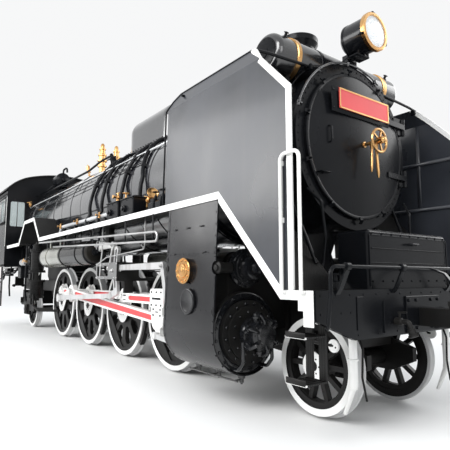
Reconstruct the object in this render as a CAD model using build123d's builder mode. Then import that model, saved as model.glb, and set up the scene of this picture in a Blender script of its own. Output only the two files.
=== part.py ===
from build123d import *
import os
from math import asin, atan2, cos, degrees, radians, sin, sqrt

# Steam locomotive, 2-8-2 tender engine for 1067 mm gauge, without its tender.
# Frame: +X to the front of the engine, +Y to its left, +Z up, millimetres.
# Heights are measured above the rail head, which is one flange height above z = 0,
# and places along the engine from the first coupled axle, forwards.

# Wheels and axles
FLANGE_H = 28.0
FLANGE_W = 32.0
# points of the flange: shares of its width and of its height
FLANGE_SHAPE = [(0.0, 0.7), (0.3, 1.0), (0.6, 0.8), (1.0, 0.0)]
BACK_TO_BACK = 990.0
TYRE_W = 125.0
TYRE_T = 65.0
TREAD_FALL = 3.0
RIM_T = 52.0
RIM_W = 104.0
HUB_PROUD = 22.0
DRIVER_R = 700.0
DRIVER_PITCH = 1550.0
DRIVER_COUNT = 4
DRIVER_AXLE_R = 95.0
DRIVER_HUB_R = 195.0
DRIVER_DISC_T = 70.0
OPENING_PITCH = 40.0
OPENING_IN_R = 330.0
OPENING_IN_HALF = 62.0
OPENING_OUT_R = 450.0
OPENING_OUT_HALF = 98.0
WEIGHT_CHORD_R = 455.0
WEIGHT_T = 58.0
WEIGHT_SINK = 12.0
SMALL_R = 430.0
SMALL_AXLE_R = 80.0
SMALL_HUB_R = 125.0
SMALL_SPOKES = 10
SPOKE_W = 46.0
SPOKE_T = 58.0
LEADING_PITCH = 2520.0
TRAILING_PITCH = 2400.0
RUNNING_FIT = 0.5

# Cranks and rods
CRANK_THROW = 330.0
RIGHT_CRANK_ANGLE = 46.0
QUARTERING = 90.0
PIN_R = 62.0
PIN_BOSS_R = 150.0
PIN_FIT = 0.5
SIDE_ROD_T = 84.0
SIDE_ROD_GAP = 12.0
SIDE_ROD_DEPTH = 120.0
SIDE_ROD_EYE_R = 112.0
ROD_WAIST_T = 60.0
OIL_CUP_R = 24.0
OIL_CUP_H = 34.0
KNUCKLE_JOINT_REACH = 270.0
KNUCKLE_JOINT_R = 66.0
FLUTE_DEPTH = 14.0
FLUTE_MARGIN = 28.0
MAIN_ROD_L = 3300.0
MAIN_ROD_T = 84.0
MAIN_ROD_FRONT_DEPTH = 122.0
MAIN_ROD_REAR_DEPTH = 156.0
BIG_END_R = 150.0
SMALL_END_R = 92.0
GUDGEON_R = 45.0
SEAT_GAP = 0.3
OPEN_PIVOT_GAP = 6.0

# Cylinders and motion
CYL_Y = 1000.0
CYL_Z = 700.0
CYL_R = 340.0
CYL_FLANGE_R = 380.0
CYL_FLANGE_T = 50.0
CYL_COVER_R = 300.0
CYL_COVER_STEP = 50.0
RELIEF_R = 110.0
RELIEF_L = 70.0
CYL_MID_X = 1590.0
CYL_L = 840.0
CHEST_Z = 1300.0
CHEST_R = 165.0
CHEST_L = 720.0
CHEST_BACK = 460.0
CHEST_COVER_R = 150.0
CHEST_COVER_T = 68.0
TAIL_GUIDE_R = 48.0
TAIL_GUIDE_L = 196.0
JACKET_T = 10.0
JACKET_LAP = 30.0
JACKET_TUCK = 3.0
JACKET_NOTCH_R = 62.0
JACKET_BOSS_R = 118.0
JACKET_BOSS_T = 12.0
JACKET_BOSS_DROP = 292.0
JACKET_BOSS_Y = 1402.0
JACKET_LOW_ANGLE = 30.0
VALVE_COVER_R = 127.0
VALVE_COVER_T = 46.0
VALVE_COVER_BACK = 48.0
PISTON_ROD_R = 48.0
BAR_LOW_Z = 882.0
BAR_H = 117.0
BAR_W = 130.0
BAR_REAR_X = -600.0
BAR_FLUTE_END = 200.0
CROSSHEAD_L = 340.0
CROSSHEAD_SIDE_T = 25.0
CROSSHEAD_TOP_T = 76.0
CROSSHEAD_FIT = 1.0
CHEEK_R = 118.0
ARM_PIN_AHEAD = 60.0
ARM_PIN_Z = 530.0
ARM_PIN_R = 25.0
ARM_PIN_L = 64.0
GUIDE_REAR_X = 430.0
GUIDE_HALF_H = 95.0
GUIDE_BAR_H = 30.0
GUIDE_W = 80.0
SPINDLE_R = 22.0

# Valve gear, in one plane outside the rods
GEAR_IN_Y = 1108.0
GEAR_T = 44.0
EYE_PROUD = 6.0
RETURN_CRANK_R = 215.0
RETURN_CRANK_IN_Y = 1048.0
RETURN_CRANK_T = 48.0
ECCENTRIC_ROD_L = 2407.0
LINK_X = -700.0
LINK_Z = 1306.0
LINK_HALF_H = 285.0
LINK_W = 120.0
LINK_SLOT_W = 52.0
LINK_FOOT_Z = 955.0
LEVER_TOP_X = 650.0
LEVER_TOP_Z = 1350.0
UNION_LINK_L = 380.0
LEVER_FOOT_Z = 500.0
LIFT_TAIL = 215.0
LIFT_SHAFT_X = -1350.0
LIFT_SHAFT_Z = 1690.0
LIFT_ARM_Z = 1672.0
LIFT_SHAFT_R = 45.0
LINK_TRUNNION_R = 40.0
ECCENTRIC_PIN_R = 43.4
# rods of the valve gear: half depths of the rear and front ends, then the radii of their eyes
RETURN_CRANK_ENDS = (62.0, 49.6, 93.0, 62.0)
ECCENTRIC_ROD_ENDS = (42.0, 34.0, 74.4, 52.0)
LINK_FOOT_ENDS = (40.0, 44.0, 48.0, 52.0)
RADIUS_ROD_ENDS = (34.0, 42.0, 44.0, 48.0)
LEVER_ENDS = (30.0, 36.0, 42.0, 46.0)
UNION_LINK_ENDS = (26.0, 26.0, 44.0, 42.0)
LIFTING_LINK_ENDS = (24.0, 24.0, 38.0, 38.0)
LIFTING_ARM_ENDS = (56.0, 36.0, 84.0, 52.0)
BRACKET_REAR_X = -1311.0
BRACKET_LOW_Z = 1190.0
BRACKET_HIGH_Z = 1425.0
BRACKET_IN_Y = 1164.0
BRACKET_T = 24.0
BRACKET_BORDER = 42.0
MOTION_PLATE_T = 40.0
ROD_WINDOW_H = 104.0

# Frames
FRAME_Y = 440.0
FRAME_T = 90.0
FRAME_TOP_Z = 1150.0
FRAME_BOTTOM_Z = 545.0
FRAME_WINDOW_H = 260.0
FRAME_WINDOW_Z = 850.0
FRAME_WINDOW_EDGE = 560.0
NOSE_Y = 400.0
NOSE_LAP = 300.0
NOSE_BOTTOM_Z = 740.0
REAR_FRAME_BOTTOM_Z = 900.0
FRAME_STEP_BACK = 620.0
FRAME_STEP_L = 140.0
STRETCHER_H = 150.0
STRETCHER_L = 160.0
DRAWBAR_Z = 930.0
DRAWBAR_W = 200.0
DRAWBAR_H = 90.0

# Leaf springs over the coupled axles, and the brakes between them
SPRING_LEAVES = 7
LEAF_T = 14.0
LEAF_W = 90.0
SPRING_L = 900.0
LEAF_STEP = 95.0
BUCKLE_L = 100.0
SPRING_LIFT = 40.0
BRAKE_Y = 570.0
BRAKE_HANGER_T = 30.0
BRAKE_HANGER_W = 64.0
BRAKE_EYE_R = 38.4
BRAKE_SHOE_W = 70.0
BRAKE_SHOE_T = 52.0
BRAKE_GAP = 8.0
BRAKE_LOW_ANGLE = -40.0
BRAKE_HIGH_ANGLE = -10.0
BRAKE_PIN_Z = 1105.0
BRAKE_PIN_R = 26.0
BRAKE_BEAM = 56.0
BRAKE_BEAM_Z = 430.0
PULL_ROD_Y = 180.0
PULL_ROD_H = 44.0

# Trucks, each turning on a pivot pin
LEADING_PIVOT_BACK = 1350.0
TRAILING_PIVOT_AHEAD = 1400.0
PIVOT_PIN_R = 40.0
PIVOT_EYE_R = 90.0
TRUCK_Y = 380.0
TRUCK_T = 60.0
TRUCK_L = 760.0
TRUCK_LOW_Z = 310.0
TRUCK_TOP_Z = 620.0
OUTER_TRUCK_Y = 760.0
JOURNAL_OUT = 745.0
TONGUE_Z = 480.0
TONGUE_T = 60.0
BOLSTER_L = 300.0
SLIDE_GAP = 0.3
PIVOT_CARRIER_L = 200.0
AXLE_BOX_T = 45.0
TRAILING_BOX_W = 230.0
TRAILING_BOX_H = 240.0
# columns: ahead of the trailing axle, height
TRAILING_OUTLINE = [
    (-620.0, 520.0),
    (-620.0, 640.0),
    (-260.0, 700.0),
    (260.0, 700.0),
    (640.0, 520.0),
    (640.0, 400.0),
    (180.0, 400.0),
    (180.0, 300.0),
    (-180.0, 300.0),
    (-180.0, 520.0),
]

# Couplers
COUPLER_L = 555.0
COUPLER_Z = 880.0
COUPLER_H = 280.0
COUPLER_HEAD_L = 260.0
COUPLER_SHANK_W = 160.0
COUPLER_SHANK_H = 150.0
KNUCKLE_PIN_AHEAD = 100.0
KNUCKLE_PIN_Y = -95.0
KNUCKLE_PIN_R = 20.0
KNUCKLE_R = 45.0
KNUCKLE_LUG_T = 40.0
KNUCKLE_FIT = 1.0
KNUCKLE_LUG_MARGIN = 5.0
# columns: ahead of the back of the head, y
HEAD_OUTLINE = [
    (0.0, -110.0),
    (30.0, -110.0),
    (60.0, 60.0),
    (170.0, 120.0),
    (230.0, 190.0),
    (190.0, 215.0),
    (0.0, 110.0),
]
# columns: ahead of the pin, y from the pin
KNUCKLE_OUTLINE = [
    (0.0, -45.0),
    (100.0, -30.0),
    (160.0, 30.0),
    (160.0, 110.0),
    (100.0, 120.0),
    (90.0, 60.0),
    (20.0, 40.0),
]

# Boiler, smokebox and what stands on them
BOILER_Z = 2525.0
BOILER_R = 890.0
SMOKEBOX_R = 835.0
SMOKEBOX_AHEAD = 40.0
SMOKEBOX_L = 1660.0
SMOKEBOX_RING_T = 40.0
SMOKEBOX_RING_PROUD = 14.0
FIREBOX_L = 2250.0
FIREBOX_HALF_W = 860.0
FIREBOX_BOTTOM_Z = 1480.0
FIREBOX_RING_H = 80.0
FIREBOX_RING_PROUD = 14.0
BAND_T = 10.0
BAND_W = 60.0
BAND_X = [860.0, -240.0, -1340.0, -2440.0, -3540.0, -4640.0, -5560.0, -6480.0]
PLUG_R = 42.0
PLUG_PROUD = 16.0
PLUG_Z = [1760.0, 2180.0]
PLUG_BACK = [350.0, 820.0, 1290.0]
BACKHEAD_R = 820.0
BACKHEAD_T = 30.0
BACKHEAD_EDGE_R = 12.0
# columns: y, z, width, height, depth
BACKHEAD_BOXES = [
    (0.0, 2060.0, 460.0, 340.0, 70.0),
    (0.0, 2420.0, 900.0, 40.0, 160.0),
    (-480.0, 2650.0, 70.0, 260.0, 60.0),
    (480.0, 2650.0, 70.0, 260.0, 60.0),
    (-150.0, 2740.0, 380.0, 44.0, 130.0),
]
# columns: y, z, radius, depth
BACKHEAD_ROUNDS = [
    (-260.0, 2990.0, 95.0, 60.0),
    (0.0, 3060.0, 95.0, 60.0),
    (260.0, 2990.0, 95.0, 60.0),
    (0.0, 2740.0, 60.0, 140.0),
]
SADDLE_L = 640.0
SADDLE_WAIST_Y = 360.0
SADDLE_WAIST_Z = 1480.0
SADDLE_TOP_Y = 600.0
DOOR_R = 745.0
DOOR_GAP = 2.0
DOOR_RIM_T = 30.0
DOOR_DISH = 75.0
DOOR_BOSS_R = 60.0
HINGE_Y = 800.0
HINGE_AHEAD = 40.0
HINGE_R = 26.0
HINGE_PIN_R = 12.0
HINGE_EYE_H = 90.0
HINGE_LUG_H = 46.0
HINGE_LUG_L = 80.0
HINGE_LUG_CLEAR = 7.0
HINGE_GAP = 1.0
HINGE_Z = [2874.0, 2289.0]
STRAP_IN_Y = 430.0
STRAP_T = 14.0
STRAP_H = 56.0
PLATE_L = 780.0
PLATE_H = 200.0
PLATE_T = 12.0
PLATE_BORDER = 14.0
PLATE_RELIEF = 4.0
PLATE_Z = 2915.0
PLATE_STAND = 45.0
PLATE_FOOT_Y = 250.0
PLATE_FOOT_R = 15.0
HANDWHEEL_STAND = 179.0
HANDWHEEL_R = 125.0
HANDWHEEL_RIM = 26.0
HANDWHEEL_HUB_R = 30.0
HANDWHEEL_SPOKES = 5
HANDWHEEL_SPOKE_W = 18.2
HANDWHEEL_SPINDLE_R = 18.0
DOME_X = -1275.0
DOME_L = 1850.0
DOME_W = 800.0
DOME_TOP_Z = 3980.0
DOME_EDGE_R = 250.0
CHIMNEY_X = 1800.0
CHIMNEY_TOP_Z = 3980.0
CHIMNEY_R = 190.0
CHIMNEY_LIP_R = 228.0
CHIMNEY_LIP_H = 60.0
CHIMNEY_FOOT_R = 320.0
CHIMNEY_FOOT_H = 150.0
CHIMNEY_BORE_R = 145.0
CHIMNEY_BORE_H = 420.0
HEATER_X = 2270.0
HEATER_Z = 3360.0
HEATER_R = 205.0
HEATER_HALF_L = 950.0
HEATER_END_R = 60.0
HEATER_BAND_Y = 683.0
HEATER_BAND_W = 46.0
HEATER_BAND_T = 10.0
HEATER_SEAT = 1.0
LAMP_X = 2510.0
LAMP_L = 345.0
LAMP_Z = 3641.0
LAMP_R = 176.0
LAMP_RIM_R = 190.0
LAMP_RIM_L = 40.0
LAMP_BACK_R = 60.0
LAMP_BOWL_R = 160.0
LAMP_BOWL_DEPTH = 36.0
LAMP_STAND_W = 150.0
LAMP_STAND_L = 66.0
SAFETY_X = -3478.0
SAFETY_Y = [-300.0, 0.0]
# columns: low edge, radius, high edge
SAFETY_STEPS = [
    (3280.0, 58.0, 3470.0),
    (3470.0, 48.0, 3690.0),
    (3690.0, 58.0, 3730.0),
    (3730.0, 36.0, 3850.0),
]

# Ash pan, below the firebox and between the frames of the trailing truck
ASH_HALF_W = 320.0
ASH_LOW_Z = 620.0
ASH_FRONT_BACK = 500.0
ASH_FLOOR_L = 830.0
ASH_REAR_SLOPE = 650.0

# Running boards, deck and deflectors
BOARD_Z = 1993.0
BOARD_Y = 1350.0
BOARD_T = 18.0
BOARD_GAP = 25.0
VALANCE_H = 70.0
VALANCE_T = 12.0
NOTCH_TOP_Z = 2440.0
NOTCH_X = [-3944.0, -4404.0, -5196.0, -5642.0]
SLOPE_TOP_X = 2060.0
DECK_Z = 1117.0
DECK_T = 12.0
DECK_L = 315.0
DECK_INNER_Y = 700.0
BEAM_AHEAD = 685.0
BEAM_T = 40.0
BEAM_LOW_Z = 745.0
BEAM_END_LOW_Z = 905.0
BEAM_LOW_HALF_W = 918.0
CORNER_LOW_Z = 862.0
CORNER_MID_Z = 971.0
CORNER_LEG_W = 99.0
CORNER_STEP_W = 50.0
DECK_BOX_FRONT_BACK = 85.0
DECK_BOX_L = 330.0
DECK_BOX_HALF_W = 610.0
DECK_BOX_TOP_Z = 1595.0
DECK_BOX_EDGE_R = 30.0
DEFLECTOR_T = 10.0
DEFLECTOR_REAR_X = 1067.0
DEFLECTOR_REAR_LEAN = 45.0
DEFLECTOR_FRONT_BACK = 205.0
DEFLECTOR_NOSE_Z = 2690.0
DEFLECTOR_APEX_X = 2494.0
DEFLECTOR_TOP_Z = 3219.0
DEFLECTOR_FOLD_Z = 3040.0
DEFLECTOR_TOP_Y = 1260.0
DEFLECTOR_CORNER = 90.0

# Footsteps
STEP_Y = 1250.0
STEP_W = 230.0
STEP_L = 200.0
STEP_T = 14.0
STEP_STRAP_W = 70.0
STEP_STRAP_T = 16.0
FRONT_STEP_BACK = 185.0
FRONT_STEP_Z = [775.0, 450.0]
CAB_STEP_AHEAD = 260.0
CAB_STEP_Z = [1180.0, 820.0, 460.0]

# Cab
CAB_OVERHANG = 1550.0
ROOF_OVERHANG = 340.0
ROOF_FRONT_LAP = 80.0
CAB_L = 1750.0
CAB_Y = 1400.0
WALL_T = 12.0
CAB_FLOOR_Z = 1700.0
CAB_FLOOR_T = 20.0
CAB_SKIRT_Z = 1480.0
CAB_ENTRANCE_L = 420.0
CAB_ENTRANCE_TOP_Z = 3300.0
BOILER_IN_CAB = 350.0
ROOF_R = 3140.0
ROOF_SIDE_R = 1095.0
ROOF_SHOULDER_Y = 900.0
ROOF_CROWN_Z = 3899.0
ROOF_Y = 1437.0
ROOF_T = 14.0
VENT_L = 700.0
VENT_W = 620.0
VENT_H = 70.0
WINDOW_W = 480.0
WINDOW_H = 560.0
WINDOW_Z = 2890.0
WINDOW_FRONT_BACK = 210.0
WINDOW_PILLAR = 80.0
WINDOW_CORNER = 40.0
WINDOW_RIM = 26.0
WINDOW_RIM_T = 8.0
SPECTACLE_Y = 1150.0
SPECTACLE_W = 330.0
SPECTACLE_H = 620.0
SPECTACLE_Z = 2800.0

# Air and feed fittings on the sides
RESERVOIR_Y = 1160.0
RESERVOIR_Z = 1600.0
RESERVOIR_R = 190.0
RESERVOIR_X = [-3900.0, -1450.0]
RESERVOIR_END_R = 70.0
RESERVOIR_STRAP_W = 60.0
RESERVOIR_STRAP_T = 10.0
RESERVOIR_HANGER_L = 90.0
RESERVOIR_STRAP_IN = 420.0
PUMP_X = -4750.0
PUMP_Y = 1150.0
PUMP_BRACKET_L = 200.0
PUMP_BRACKET_Z = [1760.0, 1900.0]
PUMP_BRACKET_IN_Y = 600.0
# columns: low edge, radius, high edge
COMPRESSOR_STEPS = [
    (736.0, 62.0, 790.0),
    (790.0, 150.0, 830.0),
    (830.0, 132.0, 1120.0),
    (1120.0, 165.0, 1160.0),
    (1160.0, 88.0, 1320.0),
    (1320.0, 165.0, 1360.0),
    (1360.0, 128.0, 1760.0),
    (1760.0, 158.0, 1800.0),
    (1800.0, 100.0, 1900.0),
]
PUMP_STEPS = [
    (800.0, 70.0, 850.0),
    (850.0, 140.0, 890.0),
    (890.0, 120.0, 1180.0),
    (1180.0, 150.0, 1220.0),
    (1220.0, 80.0, 1380.0),
    (1380.0, 150.0, 1420.0),
    (1420.0, 118.0, 1760.0),
    (1760.0, 140.0, 1900.0),
]


def along(x):
    """Place along the engine, from the first coupled axle."""
    return DATUM_X + x


def height(z):
    """Height above the rail head."""
    return FLANGE_H + z


def side_plane(y):
    """Vertical plane on the right of the engine at y; it faces outwards to the right."""
    return Plane.XZ.offset(y)


def cross_plane(x, z=0.0):
    """Upright plane across the engine at x, facing the front, with its origin z above the floor."""
    return Plane(origin=(along(x), 0, z), x_dir=(0, 1, 0), z_dir=(1, 0, 0))


def level_plane(z):
    return Plane.XY.offset(height(z))


def spot(x, z):
    """Point of a side plane from engine measures."""
    return (along(x), height(z))


def spots(points):
    return [spot(x, z) for x, z in points]


def polar(centre, radius, angle):
    """Point at a radius and an angle from a centre in a side view, counted up from the front."""
    return (centre[0] + radius * cos(radians(angle)), centre[1] + radius * sin(radians(angle)))


def save(piece, name):
    piece.part.label = name
    export_step(piece.part, f"parts/{name}.step")


def save_side(right, name, side):
    """Piece built on the right of the engine, kept there or mirrored to the left."""
    with BuildPart() as placed:
        if side > 0:
            add(right.part)
        else:
            mirror(right.part, about=Plane.XZ)
    save(placed, f"{name}_{'right' if side > 0 else 'left'}")


def save_pair(right, name):
    for side in (1, -1):
        save_side(right, name, side)


def rod_between(rear, front, rear_half, front_half, y_in, thickness, eyes, proud=0.0):
    """Flat rod between two points of a side view, its half depths, and eyes that stand proud."""
    length = sqrt((front[0] - rear[0]) ** 2 + (front[1] - rear[1]) ** 2)
    tilt = degrees(atan2(front[1] - rear[1], front[0] - rear[0]))
    with BuildSketch(side_plane(y_in)) as bar:
        with Locations(Location((*spot(*rear), 0), (0, 0, tilt))):
            Polygon((0, -rear_half), (length, -front_half), (length, front_half), (0, rear_half), align=None)
    extrude(bar.sketch, amount=thickness)
    with BuildSketch(side_plane(y_in - proud)) as ends:
        for centre, eye_r in zip((rear, front), eyes):
            with Locations(spot(*centre)):
                Circle(eye_r)
    extrude(ends.sketch, amount=thickness + 2 * proud)


def flute(rear, front, rear_end, front_end, rear_half, front_half, y_out):
    """Long groove with round ends in the outer face of a rod."""
    angle = degrees(atan2(front[1] - rear[1], front[0] - rear[0]))
    with BuildSketch(side_plane(y_out)) as groove:
        for centre, reach, half in ((rear, rear_end, rear_half), (front, -front_end, front_half)):
            with Locations(spot(*polar(centre, reach, angle))):
                Circle(half)
        make_hull()
    extrude(groove.sketch, amount=-FLUTE_DEPTH, mode=Mode.SUBTRACT)


def pin(centre, radius, y_from, y_to):
    with BuildSketch(side_plane(y_from)) as face:
        with Locations(spot(*centre)):
            Circle(radius)
    extrude(face.sketch, amount=y_to - y_from)


def bore(centre, radius, y_from, y_to):
    with BuildSketch(side_plane(y_from)) as face:
        with Locations(spot(*centre)):
            Circle(radius)
    extrude(face.sketch, amount=y_to - y_from, mode=Mode.SUBTRACT)


os.makedirs("parts", exist_ok=True)

# Places that follow from the sizes above
DRIVER_X = [-DRIVER_PITCH * i for i in range(DRIVER_COUNT)]
MAIN_DRIVER_X = DRIVER_X[2]
LEADING_X = LEADING_PITCH
TRAILING_X = DRIVER_X[-1] - TRAILING_PITCH
BEAM_X = LEADING_X + BEAM_AHEAD
BEAM_BACK_X = BEAM_X - BEAM_T
FRONT_REACH = BEAM_X + COUPLER_L
CAB_REAR_X = TRAILING_X - CAB_OVERHANG
CAB_FRONT_X = CAB_REAR_X + CAB_L
ROOF_REAR_X = CAB_REAR_X - ROOF_OVERHANG
DATUM_X = (-ROOF_REAR_X - FRONT_REACH) / 2
FRAME_REAR_X = CAB_REAR_X
LEADING_PIVOT_X = LEADING_X - LEADING_PIVOT_BACK
TRAILING_PIVOT_X = TRAILING_X + TRAILING_PIVOT_AHEAD
COUPLER_HEAD_X = FRONT_REACH - COUPLER_HEAD_L
KNUCKLE_PIN_X = COUPLER_HEAD_X + KNUCKLE_PIN_AHEAD
TYRE_IN = BACK_TO_BACK / 2
TYRE_OUT = TYRE_IN + TYRE_W
DISC_MID = TYRE_IN + TYRE_W / 2
HUB_FACE = TYRE_OUT + HUB_PROUD
SIDE_ROD_IN = HUB_FACE + SIDE_ROD_GAP
SIDE_ROD_OUT = SIDE_ROD_IN + SIDE_ROD_T
MAIN_ROD_IN = CYL_Y - MAIN_ROD_T / 2
MAIN_ROD_OUT = CYL_Y + MAIN_ROD_T / 2
CYL_REAR_X = CYL_MID_X - CYL_L / 2
CYL_FRONT_X = CYL_MID_X + CYL_L / 2
CHEST_REAR_X = CYL_MID_X - CHEST_BACK
CHEST_FRONT_X = CHEST_REAR_X + CHEST_L
JACKET_R = CYL_FLANGE_R + SEAT_GAP + JACKET_T
JACKET_Y = CYL_Y + JACKET_R
JACKET_REAR_X = CYL_REAR_X - JACKET_LAP
JACKET_FRONT_X = CYL_FRONT_X + JACKET_LAP
SMOKEBOX_FRONT_X = LEADING_X + SMOKEBOX_AHEAD
SMOKEBOX_REAR_X = SMOKEBOX_FRONT_X - SMOKEBOX_L
HINGE_X = SMOKEBOX_FRONT_X + HINGE_AHEAD
FIREBOX_REAR_X = CAB_FRONT_X - BOILER_IN_CAB
FIREBOX_FRONT_X = FIREBOX_REAR_X + FIREBOX_L
BOARD_INNER_Y = BOILER_R + BAND_T + BOARD_GAP
BOARD_LOW_Z = BOARD_Z - BOARD_T
SLOPE_FOOT_X = BEAM_X - DECK_L
CRANKS = ((1, RIGHT_CRANK_ANGLE), (-1, RIGHT_CRANK_ANGLE + QUARTERING))


def wheel_profile(tread_r, hub_r, axle_r, disc_t, journal_y):
    """Section of one wheel and half its axle: width y against radius."""
    tyre_bore = tread_r - TYRE_T
    rim_bore = tyre_bore - RIM_T
    disc_in = DISC_MID - disc_t / 2
    disc_out = DISC_MID + disc_t / 2
    rim_in = DISC_MID - RIM_W / 2
    rim_out = DISC_MID + RIM_W / 2
    hub_in = 2 * DISC_MID - HUB_FACE
    end = [(HUB_FACE, 0)]
    if journal_y > HUB_FACE:
        end = [(HUB_FACE, axle_r), (journal_y, axle_r), (journal_y, 0)]
    return [
        (0, 0),
        (0, axle_r),
        (hub_in, axle_r),
        (hub_in, hub_r),
        (disc_in, hub_r),
        (disc_in, rim_bore),
        (rim_in, rim_bore),
        (rim_in, tyre_bore),
        (TYRE_IN, tyre_bore),
        *[(TYRE_IN + FLANGE_W * across, tread_r + FLANGE_H * up) for across, up in FLANGE_SHAPE],
        (TYRE_OUT, tread_r - TREAD_FALL),
        (TYRE_OUT, tyre_bore),
        (rim_out, tyre_bore),
        (rim_out, rim_bore),
        (disc_out, rim_bore),
        (disc_out, hub_r),
        (HUB_FACE, hub_r),
        *end,
    ]


def wheel_blank(axle_x, tread_r, hub_r, axle_r, disc_t, journal_y=0.0):
    """Both wheels and their axle, turned in one piece."""
    with BuildPart() as blank:
        with BuildSketch(cross_plane(axle_x, height(tread_r))):
            with BuildLine():
                Polyline(*wheel_profile(tread_r, hub_r, axle_r, disc_t, journal_y), close=True)
            make_face()
        revolve(axis=Axis((along(axle_x), 0, height(tread_r)), (0, 1, 0)))
        mirror(about=Plane.XZ)
    return blank.part


# Egg-shaped opening of a box-section wheel centre, wider towards the rim
with BuildSketch() as wheel_opening:
    for opening_r, half in ((OPENING_IN_R, OPENING_IN_HALF), (OPENING_OUT_R, OPENING_OUT_HALF)):
        with Locations((opening_r, 0)):
            Circle(half)
    make_hull()

# Coupled wheels: openings all round but at the crank, balance weight opposite, crank boss and pin
WEIGHT_R = DRIVER_R - TYRE_T - RIM_T / 2
WEIGHT_HALF_ANGLE = degrees(asin(sqrt(1 - (WEIGHT_CHORD_R / WEIGHT_R) ** 2)))
OPENINGS = [OPENING_PITCH * n for n in range(1, round(360 / OPENING_PITCH))]
for number, axle_x in enumerate(DRIVER_X, start=1):
    centre = (axle_x, DRIVER_R)
    with BuildPart() as coupled_wheels:
        add(wheel_blank(axle_x, DRIVER_R, DRIVER_HUB_R, DRIVER_AXLE_R, DRIVER_DISC_T))
        for side, angle in CRANKS:
            crank_pin = polar(centre, CRANK_THROW, angle)
            with BuildSketch(side_plane(side * TYRE_OUT)):
                with Locations(*[Location((*spot(*centre), 0), (0, 0, angle + turn)) for turn in OPENINGS]):
                    add(wheel_opening.sketch)
            extrude(amount=-side * TYRE_W, mode=Mode.SUBTRACT)
            weight_ends = [
                spot(*polar(centre, WEIGHT_R, angle + 180 + turn))
                for turn in (-WEIGHT_HALF_ANGLE, 0, WEIGHT_HALF_ANGLE)
            ]
            with BuildSketch(side_plane(side * (TYRE_OUT - WEIGHT_SINK))):
                with BuildLine():
                    ThreePointArc(*weight_ends)
                    Line(weight_ends[2], weight_ends[0])
                make_face()
            extrude(amount=-side * WEIGHT_T)
            with BuildSketch(side_plane(side * HUB_FACE)):
                for boss, boss_r in ((centre, DRIVER_HUB_R), (crank_pin, PIN_BOSS_R)):
                    with Locations(spot(*boss)):
                        Circle(boss_r)
                make_hull()
            extrude(amount=-side * (HUB_FACE - DISC_MID))
            pin(crank_pin, PIN_R, side * HUB_FACE, side * SIDE_ROD_OUT)
    save(coupled_wheels, f"coupled_wheels_{number}")

# Spoked carrying wheels; the trailing axle runs on into journals outside its wheels
for name, axle_x, journal_y in (
    ("leading_wheels", LEADING_X, 0.0),
    ("trailing_wheels", TRAILING_X, JOURNAL_OUT),
):
    spoke_out_r = SMALL_R - TYRE_T - RIM_T
    spoke_in_r = SMALL_HUB_R + SPOKE_W / 3
    pitch = 360 / SMALL_SPOKES
    half_in = degrees(asin(SPOKE_W / 2 / spoke_in_r))
    half_out = degrees(asin(SPOKE_W / 2 / spoke_out_r))
    corners = [
        polar((0, 0), reach, turn)
        for reach, turn in (
            (spoke_in_r, half_in),
            (spoke_out_r, half_out),
            (spoke_out_r, pitch - half_out),
            (spoke_in_r, pitch - half_in),
        )
    ]
    with BuildPart() as small_wheels:
        add(wheel_blank(axle_x, SMALL_R, SMALL_HUB_R, SMALL_AXLE_R, SPOKE_T, journal_y))
        with BuildSketch(side_plane(0)):
            with Locations(spot(axle_x, SMALL_R)):
                with PolarLocations(0, SMALL_SPOKES):
                    Polygon(*corners, align=None)
        extrude(amount=TYRE_OUT, both=True, mode=Mode.SUBTRACT)
    save(small_wheels, name)

# Side rods: a slim bar between the eyes of four crank pins, with oil cups and joint bosses
for side, angle in CRANKS:
    rod_z = DRIVER_R + CRANK_THROW * sin(radians(angle))
    shift = CRANK_THROW * cos(radians(angle))
    eyes = [(x + shift, rod_z) for x in DRIVER_X]
    joints = [(eyes[1][0] - KNUCKLE_JOINT_REACH, rod_z), (eyes[2][0] - KNUCKLE_JOINT_REACH, rod_z)]
    waist_in = SIDE_ROD_IN + (SIDE_ROD_T - ROD_WAIST_T) / 2
    with BuildPart() as side_rod:
        half = SIDE_ROD_DEPTH / 2
        rod_between(eyes[-1], eyes[0], half, half, waist_in, ROD_WAIST_T, (half, half))
        for eye in eyes:
            pin(eye, SIDE_ROD_EYE_R, SIDE_ROD_IN, SIDE_ROD_OUT)
            with BuildSketch(level_plane(rod_z)):
                with Locations((along(eye[0]), -(SIDE_ROD_IN + SIDE_ROD_OUT) / 2)):
                    Circle(OIL_CUP_R)
            extrude(amount=SIDE_ROD_EYE_R + OIL_CUP_H)
        for joint in joints:
            pin(joint, KNUCKLE_JOINT_R, SIDE_ROD_IN, SIDE_ROD_OUT)
        flute_half = half - FLUTE_MARGIN
        flute_end = SIDE_ROD_EYE_R + FLUTE_MARGIN + flute_half
        past_joint = KNUCKLE_JOINT_REACH + KNUCKLE_JOINT_R + FLUTE_MARGIN + flute_half
        for rear, front, front_end in zip(eyes[1:], eyes, (flute_end, past_joint, past_joint)):
            flute(rear, front, flute_end, front_end, flute_half, flute_half, waist_in + ROD_WAIST_T)
        for eye in eyes:
            bore(eye, PIN_R + PIN_FIT, SIDE_ROD_IN - OIL_CUP_H, SIDE_ROD_OUT + OIL_CUP_H)
    save_side(side_rod, "side_rod", side)

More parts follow.
